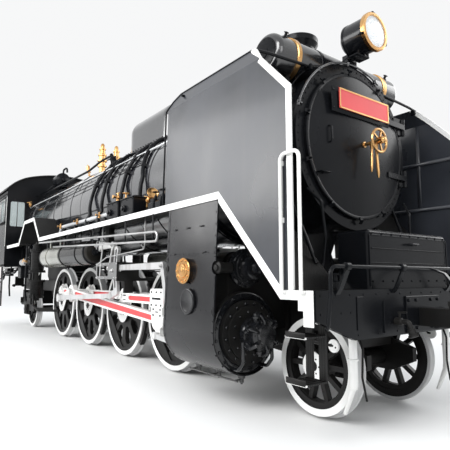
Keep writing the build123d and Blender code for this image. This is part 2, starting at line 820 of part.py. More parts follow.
# Motion of each side at rest: main rod, crosshead and valve gear follow from the crank's angle
for side, angle in CRANKS:
    big_end = polar((MAIN_DRIVER_X, DRIVER_R), CRANK_THROW, angle)
    gudgeon = (big_end[0] + sqrt(MAIN_ROD_L**2 - (big_end[1] - CYL_Z) ** 2), CYL_Z)
    arm_pin = (gudgeon[0] + ARM_PIN_AHEAD, ARM_PIN_Z)
    lever_foot = (arm_pin[0] + UNION_LINK_L, LEVER_FOOT_Z)
    lever_top = (LEVER_TOP_X, LEVER_TOP_Z)
    spindle = (LEVER_TOP_X, CHEST_Z)
    eccentric = polar((MAIN_DRIVER_X, DRIVER_R), RETURN_CRANK_R, angle + QUARTERING)
    foot_rise = LINK_FOOT_Z - eccentric[1]
    link_foot = (eccentric[0] + sqrt(ECCENTRIC_ROD_L**2 - foot_rise**2), LINK_FOOT_Z)

    # Main rod, with a stub of pin at its big end where the linkage is open
    with BuildPart() as main_rod:
        rear_half = MAIN_ROD_REAR_DEPTH / 2
        front_half = MAIN_ROD_FRONT_DEPTH / 2
        rod_between(
            big_end, gudgeon, rear_half, front_half, MAIN_ROD_IN, MAIN_ROD_T, (BIG_END_R, SMALL_END_R)
        )
        flute(
            big_end,
            gudgeon,
            BIG_END_R + FLUTE_MARGIN + rear_half,
            SMALL_END_R + FLUTE_MARGIN + front_half,
            rear_half - FLUTE_MARGIN,
            front_half - FLUTE_MARGIN,
            MAIN_ROD_OUT,
        )
        pin(big_end, PIN_R, SIDE_ROD_OUT + OPEN_PIVOT_GAP, RETURN_CRANK_IN_Y)
        bore(gudgeon, GUDGEON_R + SEAT_GAP, MAIN_ROD_IN, MAIN_ROD_OUT)
    save_side(main_rod, "main_rod", side)

    # Crosshead: a box round the single bar, two cheeks with the gudgeon pin, an arm, the piston rod
    cheek_in = MAIN_ROD_IN - CROSSHEAD_FIT
    cheek_out = MAIN_ROD_OUT + CROSSHEAD_FIT
    box_in = CYL_Y - BAR_W / 2 - CROSSHEAD_SIDE_T
    box_out = CYL_Y + BAR_W / 2 + CROSSHEAD_SIDE_T
    box_low_z = BAR_LOW_Z - CROSSHEAD_SIDE_T
    box_top_z = BAR_LOW_Z + BAR_H + CROSSHEAD_TOP_T
    bridge_x = gudgeon[0] + SMALL_END_R + CROSSHEAD_SIDE_T
    with BuildPart() as crosshead:
        with BuildSketch(side_plane(box_in)):
            with Locations(spot(gudgeon[0], (box_low_z + box_top_z) / 2)):
                Rectangle(CROSSHEAD_L, box_top_z - box_low_z)
        extrude(amount=box_out - box_in)
        chamfer(crosshead.edges().filter_by(Axis.Y).group_by(Axis.Z)[-1], CROSSHEAD_SIDE_T)
        with BuildSketch(side_plane(box_in)):
            with Locations(spot(*gudgeon)):
                Circle(CHEEK_R)
            with Locations(*[spot(gudgeon[0] + end * CHEEK_R, box_low_z) for end in (-1, 1)]):
                Circle(CROSSHEAD_SIDE_T)
            with Locations(spot(bridge_x, CYL_Z)):
                Rectangle(2 * CROSSHEAD_SIDE_T, 3 * PISTON_ROD_R)
            make_hull()
        extrude(amount=box_out - box_in)
        with BuildSketch(side_plane(CYL_Y)):
            with Locations(spot(gudgeon[0], BAR_LOW_Z + BAR_H / 2)):
                Rectangle(CROSSHEAD_L, BAR_H + 2 * CROSSHEAD_FIT)
        extrude(amount=BAR_W / 2 + CROSSHEAD_FIT, both=True, mode=Mode.SUBTRACT)
        with BuildSketch(side_plane(cheek_in)):
            with Locations(spot((gudgeon[0] - CROSSHEAD_L + bridge_x) / 2, CYL_Z)):
                Rectangle(bridge_x - gudgeon[0] + CROSSHEAD_L, 2 * (box_low_z - CYL_Z))
        extrude(amount=cheek_out - cheek_in, mode=Mode.SUBTRACT)
        with BuildSketch(cross_plane(bridge_x, height(CYL_Z))):
            with Locations((-CYL_Y, 0)):
                Rectangle(box_out - box_in, 3 * PISTON_ROD_R)
        extrude(amount=CROSSHEAD_SIDE_T)
        with BuildSketch(cross_plane(bridge_x, height(CYL_Z))):
            with Locations((-CYL_Y, 0)):
                Circle(2 * PISTON_ROD_R)
        extrude(amount=2 * CROSSHEAD_SIDE_T)
        with BuildSketch(cross_plane(bridge_x, height(CYL_Z))):
            with Locations((-CYL_Y, 0)):
                Circle(PISTON_ROD_R)
        extrude(amount=CYL_REAR_X - bridge_x)
        pin(gudgeon, GUDGEON_R, box_in, box_out + EYE_PROUD)
        rod_between(
            arm_pin, (gudgeon[0], CYL_Z), 2 * ARM_PIN_R, CHEEK_R / 2, cheek_out, box_out - cheek_out,
            (2 * ARM_PIN_R, CHEEK_R / 2),
        )
        pin(arm_pin, ARM_PIN_R, box_out, box_out + ARM_PIN_L)
    save_side(crosshead, "crosshead", side)

    # Valve gear: return crank, eccentric rod, slotted link, radius rod, lever, union link, lifting link
    gear_out = GEAR_IN_Y + GEAR_T
    link_bow_r = LEVER_TOP_X - LINK_X
    link_half_angle = degrees(asin(LINK_HALF_H / link_bow_r))
    bow_centre = (LINK_X + link_bow_r, LINK_Z)
    link_low = polar(bow_centre, link_bow_r, 180 + link_half_angle)
    lift_pin = (LINK_X - LIFT_TAIL, LEVER_TOP_Z)
    lift_arm_end = (LINK_X - LIFT_TAIL / 2, LIFT_ARM_Z)
    with BuildPart() as valve_gear:
        rod_between(
            big_end, eccentric, *RETURN_CRANK_ENDS[:2], RETURN_CRANK_IN_Y, RETURN_CRANK_T,
            RETURN_CRANK_ENDS[2:],
        )
        pin(eccentric, ECCENTRIC_PIN_R, RETURN_CRANK_IN_Y, gear_out + EYE_PROUD)
        for width, shape_mode in ((LINK_W, Mode.ADD), (LINK_SLOT_W, Mode.SUBTRACT)):
            bow_turns = (180 - link_half_angle, 180, 180 + link_half_angle)
            front = [spot(*polar(bow_centre, link_bow_r - width / 2, turn)) for turn in bow_turns]
            rear = [spot(*polar(bow_centre, link_bow_r + width / 2, turn)) for turn in reversed(bow_turns)]
            with BuildSketch(side_plane(GEAR_IN_Y)):
                with BuildLine():
                    ThreePointArc(*front)
                    Line(front[2], rear[0])
                    ThreePointArc(*rear)
                    Line(rear[2], front[0])
                make_face()
                with Locations(*[spot(*polar(bow_centre, link_bow_r, turn)) for turn in bow_turns[::2]]):
                    Circle(width / 2)
            extrude(amount=GEAR_T, mode=shape_mode)
        lift_shaft = (LIFT_SHAFT_X, LIFT_SHAFT_Z)
        for rear, front, ends, proud in (
            (eccentric, link_foot, ECCENTRIC_ROD_ENDS, EYE_PROUD),
            (link_foot, link_low, LINK_FOOT_ENDS, 0),
            (lift_pin, lever_top, RADIUS_ROD_ENDS, EYE_PROUD),
            (lever_foot, lever_top, LEVER_ENDS, EYE_PROUD),
            (arm_pin, lever_foot, UNION_LINK_ENDS, EYE_PROUD),
            (lift_pin, lift_arm_end, LIFTING_LINK_ENDS, EYE_PROUD),
            (lift_shaft, lift_arm_end, LIFTING_ARM_ENDS, EYE_PROUD),
        ):
            rod_between(rear, front, *ends[:2], GEAR_IN_Y, GEAR_T, ends[2:], proud)
        bore(lift_shaft, LIFT_SHAFT_R + SEAT_GAP, GEAR_IN_Y - GEAR_T, gear_out + GEAR_T)
        pin(spindle, SPINDLE_R, CYL_Y + GUIDE_W / 2 + SEAT_GAP, GEAR_IN_Y)
        pin((LINK_X, LINK_Z), LINK_TRUNNION_R, GEAR_IN_Y, BRACKET_IN_Y - SEAT_GAP)
        bore(arm_pin, ARM_PIN_R + SEAT_GAP, GEAR_IN_Y - GEAR_T, gear_out + GEAR_T)
    save_side(valve_gear, "valve_gear", side)

# Slide bar: one deep bar from the rear cylinder cover, fluted outside
with BuildPart() as slide_bars:
    with BuildSketch(side_plane(CYL_Y - BAR_W / 2)):
        with Locations(spot((BAR_REAR_X + CYL_REAR_X) / 2, BAR_LOW_Z + BAR_H / 2)):
            Rectangle(CYL_REAR_X - BAR_REAR_X, BAR_H)
    extrude(amount=BAR_W)
    bar_z = BAR_LOW_Z + BAR_H / 2
    flute_half = BAR_H / 2 - FLUTE_MARGIN
    flute(
        (BAR_REAR_X, bar_z), (CYL_REAR_X, bar_z), BAR_FLUTE_END, BAR_W, flute_half, flute_half,
        CYL_Y + BAR_W / 2,
    )
save_pair(slide_bars, "slide_bars")

# Bracket that holds the rear of the slide bar, the link and the lifting shaft
with BuildPart() as motion_bracket:
    arm_low_z = BRACKET_LOW_Z - STRETCHER_H / 6
    with BuildSketch(cross_plane(BAR_REAR_X)):
        arm_in_y = FRAME_Y - FRAME_T
        arm_out_y = BRACKET_IN_Y + BRACKET_T
        with Locations((-(arm_in_y + arm_out_y) / 2, height((arm_low_z + BRACKET_HIGH_Z) / 2))):
            Rectangle(arm_out_y - arm_in_y, BRACKET_HIGH_Z - arm_low_z)
        with Locations((-(FRAME_Y + CYL_Y - BAR_W) / 2, height((arm_low_z + BRACKET_HIGH_Z) / 2))):
            RectangleRounded(
                CYL_Y - BAR_W - FRAME_Y - BRACKET_BORDER,
                BRACKET_HIGH_Z - arm_low_z - 2 * BRACKET_BORDER,
                BRACKET_BORDER,
                mode=Mode.SUBTRACT,
            )
        with Locations((-GEAR_IN_Y - GEAR_T / 2, height(LEVER_TOP_Z))):
            Rectangle(GEAR_T + 2 * OPEN_PIVOT_GAP, ROD_WINDOW_H, mode=Mode.SUBTRACT)
        with Locations((-FRAME_Y + FRAME_T / 2, height((FRAME_TOP_Z + arm_low_z) / 2))):
            Rectangle(FRAME_T, arm_low_z - FRAME_TOP_Z)
        with Locations((-CYL_Y, height((BAR_LOW_Z + BAR_H + arm_low_z) / 2))):
            Rectangle(BAR_W, arm_low_z - BAR_LOW_Z - BAR_H)
    extrude(amount=MOTION_PLATE_T)
    with BuildSketch(side_plane(BRACKET_IN_Y)):
        with BuildLine():
            Polyline(
                *spots([
                    (BRACKET_REAR_X, BRACKET_LOW_Z),
                    (BRACKET_REAR_X, BRACKET_HIGH_Z),
                    (BAR_REAR_X + MOTION_PLATE_T, BRACKET_HIGH_Z),
                    (BAR_REAR_X + MOTION_PLATE_T, BRACKET_LOW_Z),
                ]),
                close=True,
            )
        make_face()
        window_front_x = LINK_X - LINK_W
        with Locations(spot((BRACKET_REAR_X + window_front_x) / 2, (BRACKET_LOW_Z + BRACKET_HIGH_Z) / 2)):
            RectangleRounded(
                window_front_x - BRACKET_REAR_X - 2 * BRACKET_BORDER,
                BRACKET_HIGH_Z - BRACKET_LOW_Z - 2 * BRACKET_BORDER,
                BRACKET_BORDER / 2,
                mode=Mode.SUBTRACT,
            )
    extrude(amount=BRACKET_T)
    shaft = (LIFT_SHAFT_X, LIFT_SHAFT_Z)
    pin(shaft, LIFT_SHAFT_R, BOARD_INNER_Y, GEAR_IN_Y + GEAR_T + 2 * EYE_PROUD)
    with BuildSketch(side_plane(BOARD_INNER_Y)):
        with Locations(spot(LIFT_SHAFT_X, (LIFT_SHAFT_Z + BOARD_LOW_Z) / 2)):
            Rectangle(3 * LIFT_SHAFT_R, BOARD_LOW_Z - LIFT_SHAFT_Z)
        with Locations(spot(*shaft)):
            Circle(1.5 * LIFT_SHAFT_R)
    extrude(amount=2 * LIFT_SHAFT_R)
save_pair(motion_bracket, "motion_bracket")

# Cylinder casting: barrel with end flanges, stepped front cover, valve chest and its spindle guide
with BuildPart() as cylinder:
    # columns: start, radius, length
    for x, z, radius, length in (
        (CYL_REAR_X, CYL_Z, CYL_R, CYL_L),
        (CYL_REAR_X, CYL_Z, CYL_FLANGE_R, CYL_FLANGE_T),
        (CYL_FRONT_X - CYL_FLANGE_T, CYL_Z, CYL_FLANGE_R, CYL_FLANGE_T),
        (CYL_FRONT_X, CYL_Z, CYL_COVER_R, CYL_COVER_STEP),
        (CYL_FRONT_X + CYL_COVER_STEP, CYL_Z, CYL_COVER_R - CYL_COVER_STEP, CYL_COVER_STEP / 2),
        (CYL_FRONT_X + 1.5 * CYL_COVER_STEP, CYL_Z, RELIEF_R, RELIEF_L),
        (CHEST_REAR_X, CHEST_Z, CHEST_R, CHEST_L),
        (CHEST_FRONT_X, CHEST_Z, CHEST_COVER_R, CHEST_COVER_T),
        (CHEST_FRONT_X + CHEST_COVER_T, CHEST_Z, TAIL_GUIDE_R, TAIL_GUIDE_L),
        (GUIDE_REAR_X, CHEST_Z, SPINDLE_R, CHEST_REAR_X - GUIDE_REAR_X),
    ):
        with BuildSketch(cross_plane(x)):
            with Locations((-CYL_Y, height(z))):
                Circle(radius)
        extrude(amount=length)
    with BuildSketch(cross_plane(CYL_REAR_X + CYL_FLANGE_T)):
        with Locations((-(FRAME_Y + CYL_Y) / 2, height((CYL_Z + CHEST_Z) / 2))):
            Rectangle(CYL_Y - FRAME_Y, CHEST_Z - CYL_Z)
        with Locations((-CYL_Y, height((CYL_Z + CHEST_Z) / 2))):
            Rectangle(2 * CHEST_R, CHEST_Z - CYL_Z)
    extrude(amount=CYL_L - 2 * CYL_FLANGE_T)
    guide_mid_x = (GUIDE_REAR_X + CHEST_REAR_X) / 2
    with BuildSketch(side_plane(CYL_Y - GUIDE_W / 2)):
        with Locations(spot(guide_mid_x, CHEST_Z)):
            Rectangle(CHEST_REAR_X - GUIDE_REAR_X, 2 * GUIDE_HALF_H)
            Rectangle(
                CHEST_REAR_X - GUIDE_REAR_X - 2 * GUIDE_BAR_H,
                2 * (GUIDE_HALF_H - GUIDE_BAR_H),
                mode=Mode.SUBTRACT,
            )
        with Locations(spot(LEVER_TOP_X, CHEST_Z)):
            Rectangle(GUIDE_W, 2 * (GUIDE_HALF_H - GUIDE_BAR_H))
    extrude(amount=GUIDE_W)
save_pair(cylinder, "cylinder")

# Steel jacket round each cylinder, up to the running board, with a round valve cover and a boss
with BuildPart() as cylinder_jacket:
    with BuildSketch(cross_plane(JACKET_REAR_X)):
        with BuildLine():
            jacket_top_y = -(BOARD_Y - VALANCE_T - JACKET_TUCK)
            jacket_lean = degrees(atan2(JACKET_Y + jacket_top_y, BOARD_LOW_Z - CYL_Z))
            tops = []
            ends = []
            for inset in (0.0, JACKET_T):
                radius = JACKET_R - inset
                bend, middle, end = [
                    (-CYL_Y + radius * sin(radians(turn)), height(CYL_Z - radius * cos(radians(turn))))
                    for turn in (-90 - jacket_lean, -45, JACKET_LOW_ANGLE)
                ]
                Line((jacket_top_y + inset, height(BOARD_LOW_Z)), bend)
                ThreePointArc(bend, middle, end)
                tops.append((jacket_top_y + inset, height(BOARD_LOW_Z)))
                ends.append(end)
            Line(*tops)
            Line(*ends)
        make_face()
    extrude(amount=JACKET_FRONT_X - JACKET_REAR_X)
    with BuildSketch(side_plane(CYL_Y)):
        with Locations(spot(JACKET_REAR_X, CHEST_Z), spot(JACKET_FRONT_X, CHEST_Z)):
            Circle(JACKET_NOTCH_R)
    extrude(amount=JACKET_R + JACKET_T, mode=Mode.SUBTRACT)
    cover = (CYL_MID_X - VALVE_COVER_BACK, CHEST_Z - VALVE_COVER_BACK / 2)
    pin(cover, VALVE_COVER_R, JACKET_BOSS_Y - VALVE_COVER_T, JACKET_BOSS_Y)
    boss = (cover[0] + 1.5 * VALVE_COVER_BACK, cover[1] - JACKET_BOSS_DROP)
    pin(boss, JACKET_BOSS_R, JACKET_Y - JACKET_T, JACKET_Y + JACKET_BOSS_T)
save_pair(cylinder_jacket, "cylinder_jacket")

# Frames: two plates with windows, a narrower nose in front, stretchers, and the leaf springs on top
SPRING_MID_Y = FRAME_Y - FRAME_T / 2
with BuildPart() as main_frame:
    with BuildSketch(side_plane(FRAME_Y - FRAME_T)):
        with BuildLine():
            Polyline(
                *spots([
                    (CYL_FRONT_X, FRAME_BOTTOM_Z),
                    (DRIVER_X[-1] - FRAME_STEP_BACK, FRAME_BOTTOM_Z),
                    (DRIVER_X[-1] - FRAME_STEP_BACK - FRAME_STEP_L, REAR_FRAME_BOTTOM_Z),
                    (FRAME_REAR_X, REAR_FRAME_BOTTOM_Z),
                    (FRAME_REAR_X, FRAME_TOP_Z),
                    (CYL_FRONT_X, FRAME_TOP_Z),
                ]),
                close=True,
            )
        make_face()
        with Locations([spot(x, DRIVER_R) for x in DRIVER_X]):
            Circle(DRIVER_AXLE_R + RUNNING_FIT, mode=Mode.SUBTRACT)
        with Locations([spot(x - DRIVER_PITCH / 2, FRAME_WINDOW_Z) for x in DRIVER_X[:-1]]):
            RectangleRounded(
                DRIVER_PITCH - FRAME_WINDOW_EDGE, FRAME_WINDOW_H, STRETCHER_H / 2, mode=Mode.SUBTRACT
            )
    extrude(amount=FRAME_T)
    nose_rear_x = CYL_FRONT_X - NOSE_LAP
    deck_low_z = DECK_Z - DECK_T
    with BuildSketch(side_plane(NOSE_Y - FRAME_T)):
        with Locations(spot((nose_rear_x + BEAM_BACK_X) / 2, (NOSE_BOTTOM_Z + deck_low_z) / 2)):
            Rectangle(BEAM_BACK_X - nose_rear_x, deck_low_z - NOSE_BOTTOM_Z)
    extrude(amount=FRAME_T)
    with BuildSketch(side_plane(SPRING_MID_Y - LEAF_W / 2)):
        for axle_x in DRIVER_X:
            pack_top_z = FRAME_TOP_Z + SPRING_LIFT + SPRING_LEAVES * LEAF_T
            for n in range(SPRING_LEAVES):
                with Locations(spot(axle_x, pack_top_z - (n + 0.5) * LEAF_T)):
                    Rectangle(SPRING_L - n * LEAF_STEP, LEAF_T)
            with Locations(spot(axle_x, (FRAME_TOP_Z + pack_top_z + LEAF_T) / 2)):
                Rectangle(BUCKLE_L, pack_top_z + LEAF_T - FRAME_TOP_Z)
            for end in (-1, 1):
                with Locations(spot(axle_x + end * (SPRING_L - LEAF_T) / 2, (FRAME_TOP_Z + pack_top_z) / 2)):
                    Rectangle(2 * LEAF_T, pack_top_z + 2 * LEAF_T - FRAME_TOP_Z)
    extrude(amount=LEAF_W)
    mirror(about=Plane.XZ)
    # columns: middle, low edge, high edge, length
    for x, z_low, z_high, length in (
        (LEADING_X, NOSE_BOTTOM_Z, NOSE_BOTTOM_Z + BEAM_T, BOLSTER_L + STRETCHER_L),
        (BEAM_BACK_X - STRETCHER_L, NOSE_BOTTOM_Z, deck_low_z, STRETCHER_L),
        (CYL_FRONT_X - STRETCHER_L / 2, FRAME_BOTTOM_Z, FRAME_TOP_Z, STRETCHER_L),
        (DRIVER_X[0] - DRIVER_PITCH / 2, FRAME_TOP_Z - STRETCHER_H, FRAME_TOP_Z, STRETCHER_L),
        (DRIVER_X[1] - DRIVER_PITCH / 2, FRAME_TOP_Z - STRETCHER_H, FRAME_TOP_Z, STRETCHER_L),
        (DRIVER_X[2] - DRIVER_PITCH / 2, FRAME_TOP_Z - STRETCHER_H, FRAME_TOP_Z, STRETCHER_L),
        (FRAME_REAR_X + STRETCHER_L, REAR_FRAME_BOTTOM_Z, FRAME_TOP_Z, 2 * STRETCHER_L),
    ):
        with Locations((along(x), 0, height((z_low + z_high) / 2))):
            Box(length, 2 * NOSE_Y - FRAME_T, z_high - z_low)
save(main_frame, "main_frame")

# Brakes: hangers between the wheels, shoes ahead of each tread, beams across and pull rods
with BuildPart() as brake_gear:
    for axle_x in DRIVER_X:
        hanger_x = axle_x + DRIVER_PITCH / 2
        shoe_in_r = DRIVER_R + BRAKE_GAP
        shoe_out_r = shoe_in_r + BRAKE_SHOE_T
        mid_angle = (BRAKE_LOW_ANGLE + BRAKE_HIGH_ANGLE) / 2
        turns = [BRAKE_LOW_ANGLE, mid_angle, BRAKE_HIGH_ANGLE]
        face = [spot(*polar((axle_x, DRIVER_R), shoe_in_r, turn)) for turn in turns]
        back = [spot(*polar((axle_x, DRIVER_R), shoe_out_r, turn)) for turn in reversed(turns)]
        shoe_z = polar((axle_x, DRIVER_R), shoe_out_r, mid_angle)
        with BuildSketch(side_plane(BRAKE_Y - BRAKE_SHOE_W / 2)):
            with BuildLine():
                ThreePointArc(*face)
                Line(face[2], back[0])
                ThreePointArc(*back)
                Line(back[2], face[0])
            make_face()
        extrude(amount=BRAKE_SHOE_W)
        with BuildSketch(side_plane(BRAKE_Y - BRAKE_HANGER_T / 2)):
            with Locations(spot(hanger_x, (BRAKE_PIN_Z + BRAKE_BEAM_Z) / 2)):
                Rectangle(BRAKE_HANGER_W, BRAKE_PIN_Z - BRAKE_BEAM_Z)
            with Locations(spot(hanger_x, BRAKE_PIN_Z), spot(hanger_x, BRAKE_BEAM_Z)):
                Circle(BRAKE_EYE_R)
            with Locations(spot((hanger_x + shoe_z[0]) / 2 - BRAKE_SHOE_T / 4, BRAKE_BEAM_Z)):
                Rectangle(hanger_x - shoe_z[0] + BRAKE_SHOE_T / 2, BRAKE_SHOE_W)
        extrude(amount=BRAKE_HANGER_T)
        pin((hanger_x, BRAKE_PIN_Z), BRAKE_PIN_R, FRAME_Y, BRAKE_Y + BRAKE_HANGER_T)
        with BuildSketch(side_plane(-BRAKE_PIN_R)):
            with Locations(spot(hanger_x, BRAKE_BEAM_Z)):
                Rectangle(BRAKE_BEAM, BRAKE_BEAM)
        extrude(amount=BRAKE_Y + BRAKE_PIN_R)
    pull_mid_x = (DRIVER_X[0] + DRIVER_X[-1] + DRIVER_PITCH) / 2
    with Locations((along(pull_mid_x), -PULL_ROD_Y, height(BRAKE_BEAM_Z))):
        Box(DRIVER_X[0] - DRIVER_X[-1], PULL_ROD_H / 2, PULL_ROD_H)
    mirror(about=Plane.XZ)
save(brake_gear, "brake_gear")

with BuildPart() as front_beam:
    beam_half_w = BOARD_Y - VALANCE_T
    with BuildSketch(cross_plane(BEAM_BACK_X)):
        with BuildLine():
            Polyline(
                (-beam_half_w, height(DECK_Z)),
                (beam_half_w, height(DECK_Z)),
                (beam_half_w, height(BEAM_END_LOW_Z)),
                (BEAM_LOW_HALF_W, height(BEAM_LOW_Z)),
                (-BEAM_LOW_HALF_W, height(BEAM_LOW_Z)),
                (-beam_half_w, height(BEAM_END_LOW_Z)),
                close=True,
            )
        make_face()
    extrude(amount=BEAM_T)
save(front_beam, "front_beam")

# Front deck: low deck, the slope up to the running boards, and an edge strip that steps down in front
slope_run = SLOPE_FOOT_X - SLOPE_TOP_X
slope_fall = BOARD_Z - DECK_Z
slope_length = sqrt(slope_run**2 + slope_fall**2)


def slope_x(z, inset):
    """Place on the slope's line at a height, moved inwards square to the slope."""
    return SLOPE_TOP_X + ((BOARD_Z - z) * slope_run - inset * slope_length) / slope_fall


with BuildPart() as front_deck:
    with BuildSketch(side_plane(DECK_INNER_Y)):
        with BuildLine():
            Polyline(
                *spots([
                    (BEAM_BACK_X, DECK_Z),
                    (SLOPE_FOOT_X, DECK_Z),
                    (SLOPE_TOP_X, BOARD_Z),
                    (SLOPE_TOP_X, BOARD_Z - DECK_T * slope_length / slope_run),
                    (slope_x(deck_low_z, DECK_T), deck_low_z),
                    (BEAM_BACK_X, deck_low_z),
                ]),
                close=True,
            )
        make_face()
    extrude(amount=BOARD_Y - DECK_INNER_Y)
    with BuildSketch(side_plane(BOARD_Y - VALANCE_T)):
        with BuildLine():
            edge_low_z = DECK_Z - VALANCE_H
            corner_x = BEAM_X - DECK_T
            Polyline(
                *spots([
                    (SLOPE_FOOT_X, DECK_Z),
                    (corner_x, DECK_Z),
                    (corner_x, CORNER_LOW_Z),
                    (corner_x - CORNER_LEG_W, CORNER_LOW_Z),
                    (corner_x - CORNER_LEG_W, CORNER_MID_Z),
                    (corner_x - CORNER_LEG_W - CORNER_STEP_W, CORNER_MID_Z),
                    (corner_x - CORNER_LEG_W - CORNER_STEP_W, edge_low_z),
                    (slope_x(edge_low_z, VALANCE_H), edge_low_z),
                    (SLOPE_TOP_X, BOARD_Z - VALANCE_H * slope_length / slope_run),
                    (SLOPE_TOP_X, BOARD_Z),
                ]),
                close=True,
            )
        make_face()
    extrude(amount=VALANCE_T)
    mirror(about=Plane.XZ)
    deck_rear_x = BEAM_X - DECK_BOX_FRONT_BACK - DECK_BOX_L - DECK_BOX_L
    with Locations((along((BEAM_BACK_X + deck_rear_x) / 2), 0, height(DECK_Z - DECK_T / 2))):
        Box(BEAM_BACK_X - deck_rear_x, 2 * DECK_INNER_Y, DECK_T)
save(front_deck, "front_deck")

# Box on the front deck, below the smokebox door
with BuildPart() as deck_box:
    with BuildSketch(level_plane(DECK_Z)):
        with Locations((along(BEAM_X - DECK_BOX_FRONT_BACK - DECK_BOX_L / 2), 0)):
            RectangleRounded(DECK_BOX_L, 2 * DECK_BOX_HALF_W, DECK_BOX_EDGE_R)
    extrude(amount=DECK_BOX_TOP_Z - DECK_Z)
    chamfer(deck_box.edges().group_by(Axis.Z)[-1], DECK_T)
save(deck_box, "deck_box")

# Smokebox: front ring, seat for the heater and the lugs and pins of the door hinges
with BuildPart() as smokebox:
    # columns: rear, radius, length
    for x, radius, length in (
        (SMOKEBOX_REAR_X, SMOKEBOX_R, SMOKEBOX_L),
        (SMOKEBOX_FRONT_X - SMOKEBOX_RING_T, SMOKEBOX_R + SMOKEBOX_RING_PROUD, SMOKEBOX_RING_T),
        (SMOKEBOX_REAR_X, SMOKEBOX_R + SMOKEBOX_RING_PROUD, BAND_W),
    ):
        with BuildSketch(cross_plane(x, height(BOILER_Z))):
            Circle(radius)
        extrude(amount=length)
    with Locations((along(HEATER_X), 0, height(HEATER_Z))):
        Cylinder(HEATER_R + HEATER_SEAT, 2 * SMOKEBOX_R, rotation=(90, 0, 0), mode=Mode.SUBTRACT)
    for z in HINGE_Z:
        for end in (-1, 1):
            lug_z = z + end * (HINGE_EYE_H / 2 + HINGE_GAP + HINGE_LUG_H / 2)
            near_z = abs(lug_z - BOILER_Z) - HINGE_LUG_H / 2
            lug_in_y = sqrt(DOOR_R**2 - near_z**2) + HINGE_LUG_CLEAR
            with BuildSketch(level_plane(lug_z - HINGE_LUG_H / 2)):
                with Locations((along(HINGE_X), HINGE_Y)):
                    Circle(HINGE_R)
                with Locations((along(HINGE_X - HINGE_LUG_L / 2), (lug_in_y + HINGE_Y) / 2)):
                    Rectangle(HINGE_LUG_L, HINGE_Y - lug_in_y)
            extrude(amount=HINGE_LUG_H)
        with Locations((along(HINGE_X), HINGE_Y, height(z))):
            Cylinder(HINGE_PIN_R, HINGE_EYE_H + HINGE_LUG_H)
save(smokebox, "smokebox")

with BuildPart() as saddle:
    saddle_top_z = BOILER_Z - sqrt(SMOKEBOX_R**2 - SADDLE_TOP_Y**2)
    with BuildSketch(cross_plane(CYL_MID_X - SADDLE_L / 2)):
        with BuildLine():
            Polyline(
                (FRAME_Y, height(FRAME_TOP_Z)),
                (FRAME_Y, height(CHEST_Z)),
                (SADDLE_WAIST_Y, height(SADDLE_WAIST_Z)),
                (SADDLE_TOP_Y, height(saddle_top_z)),
                (-SADDLE_TOP_Y, height(saddle_top_z)),
                (-SADDLE_WAIST_Y, height(SADDLE_WAIST_Z)),
                (-FRAME_Y, height(CHEST_Z)),
                (-FRAME_Y, height(FRAME_TOP_Z)),
                close=True,
            )
        make_face()
        with Locations((0, height(BOILER_Z))):
            Circle(SMOKEBOX_R, mode=Mode.SUBTRACT)
    extrude(amount=SADDLE_L)
save(saddle, "saddle")

# Boiler and firebox under their lagging, with bands, the ring at the bottom and washout plugs
with BuildPart() as boiler:
    with BuildSketch(cross_plane(FIREBOX_REAR_X, height(BOILER_Z))):
        Circle(BOILER_R)
    extrude(amount=SMOKEBOX_REAR_X - FIREBOX_REAR_X)
    # columns: margin at the ends and sides, low edge, high edge
    for margin, z_low, z_high in (
        (0.0, FIREBOX_BOTTOM_Z, BOILER_Z),
        (FIREBOX_RING_PROUD, FIREBOX_BOTTOM_Z, FIREBOX_BOTTOM_Z + FIREBOX_RING_H),
    ):
        with Locations((along((FIREBOX_REAR_X + FIREBOX_FRONT_X) / 2), 0, height((z_low + z_high) / 2))):
            Box(FIREBOX_L + 2 * margin, 2 * (FIREBOX_HALF_W + margin), z_high - z_low)
    for x in BAND_X:
        with BuildSketch(cross_plane(x - BAND_W, height(BOILER_Z))):
            Circle(BOILER_R + BAND_T)
        extrude(amount=BAND_W)
    with BuildSketch(side_plane(-FIREBOX_HALF_W - PLUG_PROUD)):
        with Locations([spot(FIREBOX_FRONT_X - back, z) for back in PLUG_BACK for z in PLUG_Z]):
            Circle(PLUG_R)
    extrude(amount=2 * (FIREBOX_HALF_W + PLUG_PROUD))
save(boiler, "boiler")

# Firebox back plate in the cab, with fire door, shelf, gauges and regulator
with BuildPart() as backhead:
    with BuildSketch(cross_plane(FIREBOX_REAR_X, height(BOILER_Z))):
        Circle(BACKHEAD_R)
        with Locations((0, (CAB_FLOOR_Z - BOILER_Z) / 2)):
            Rectangle(2 * BACKHEAD_R, BOILER_Z - CAB_FLOOR_Z)
    extrude(amount=-BACKHEAD_T)
    face_x = FIREBOX_REAR_X - BACKHEAD_T
    # columns: y, z, width, height, depth
    for y, z, w, h, depth in BACKHEAD_BOXES:
        with BuildSketch(cross_plane(face_x, height(z))):
            with Locations((y, 0)):
                RectangleRounded(w, h, BACKHEAD_EDGE_R)
        extrude(amount=-depth)
    # columns: y, z, radius, depth
    for y, z, radius, depth in BACKHEAD_ROUNDS:
        with BuildSketch(cross_plane(face_x, height(z))):
            with Locations((y, 0)):
                Circle(radius)
        extrude(amount=-depth)
save(backhead, "backhead")

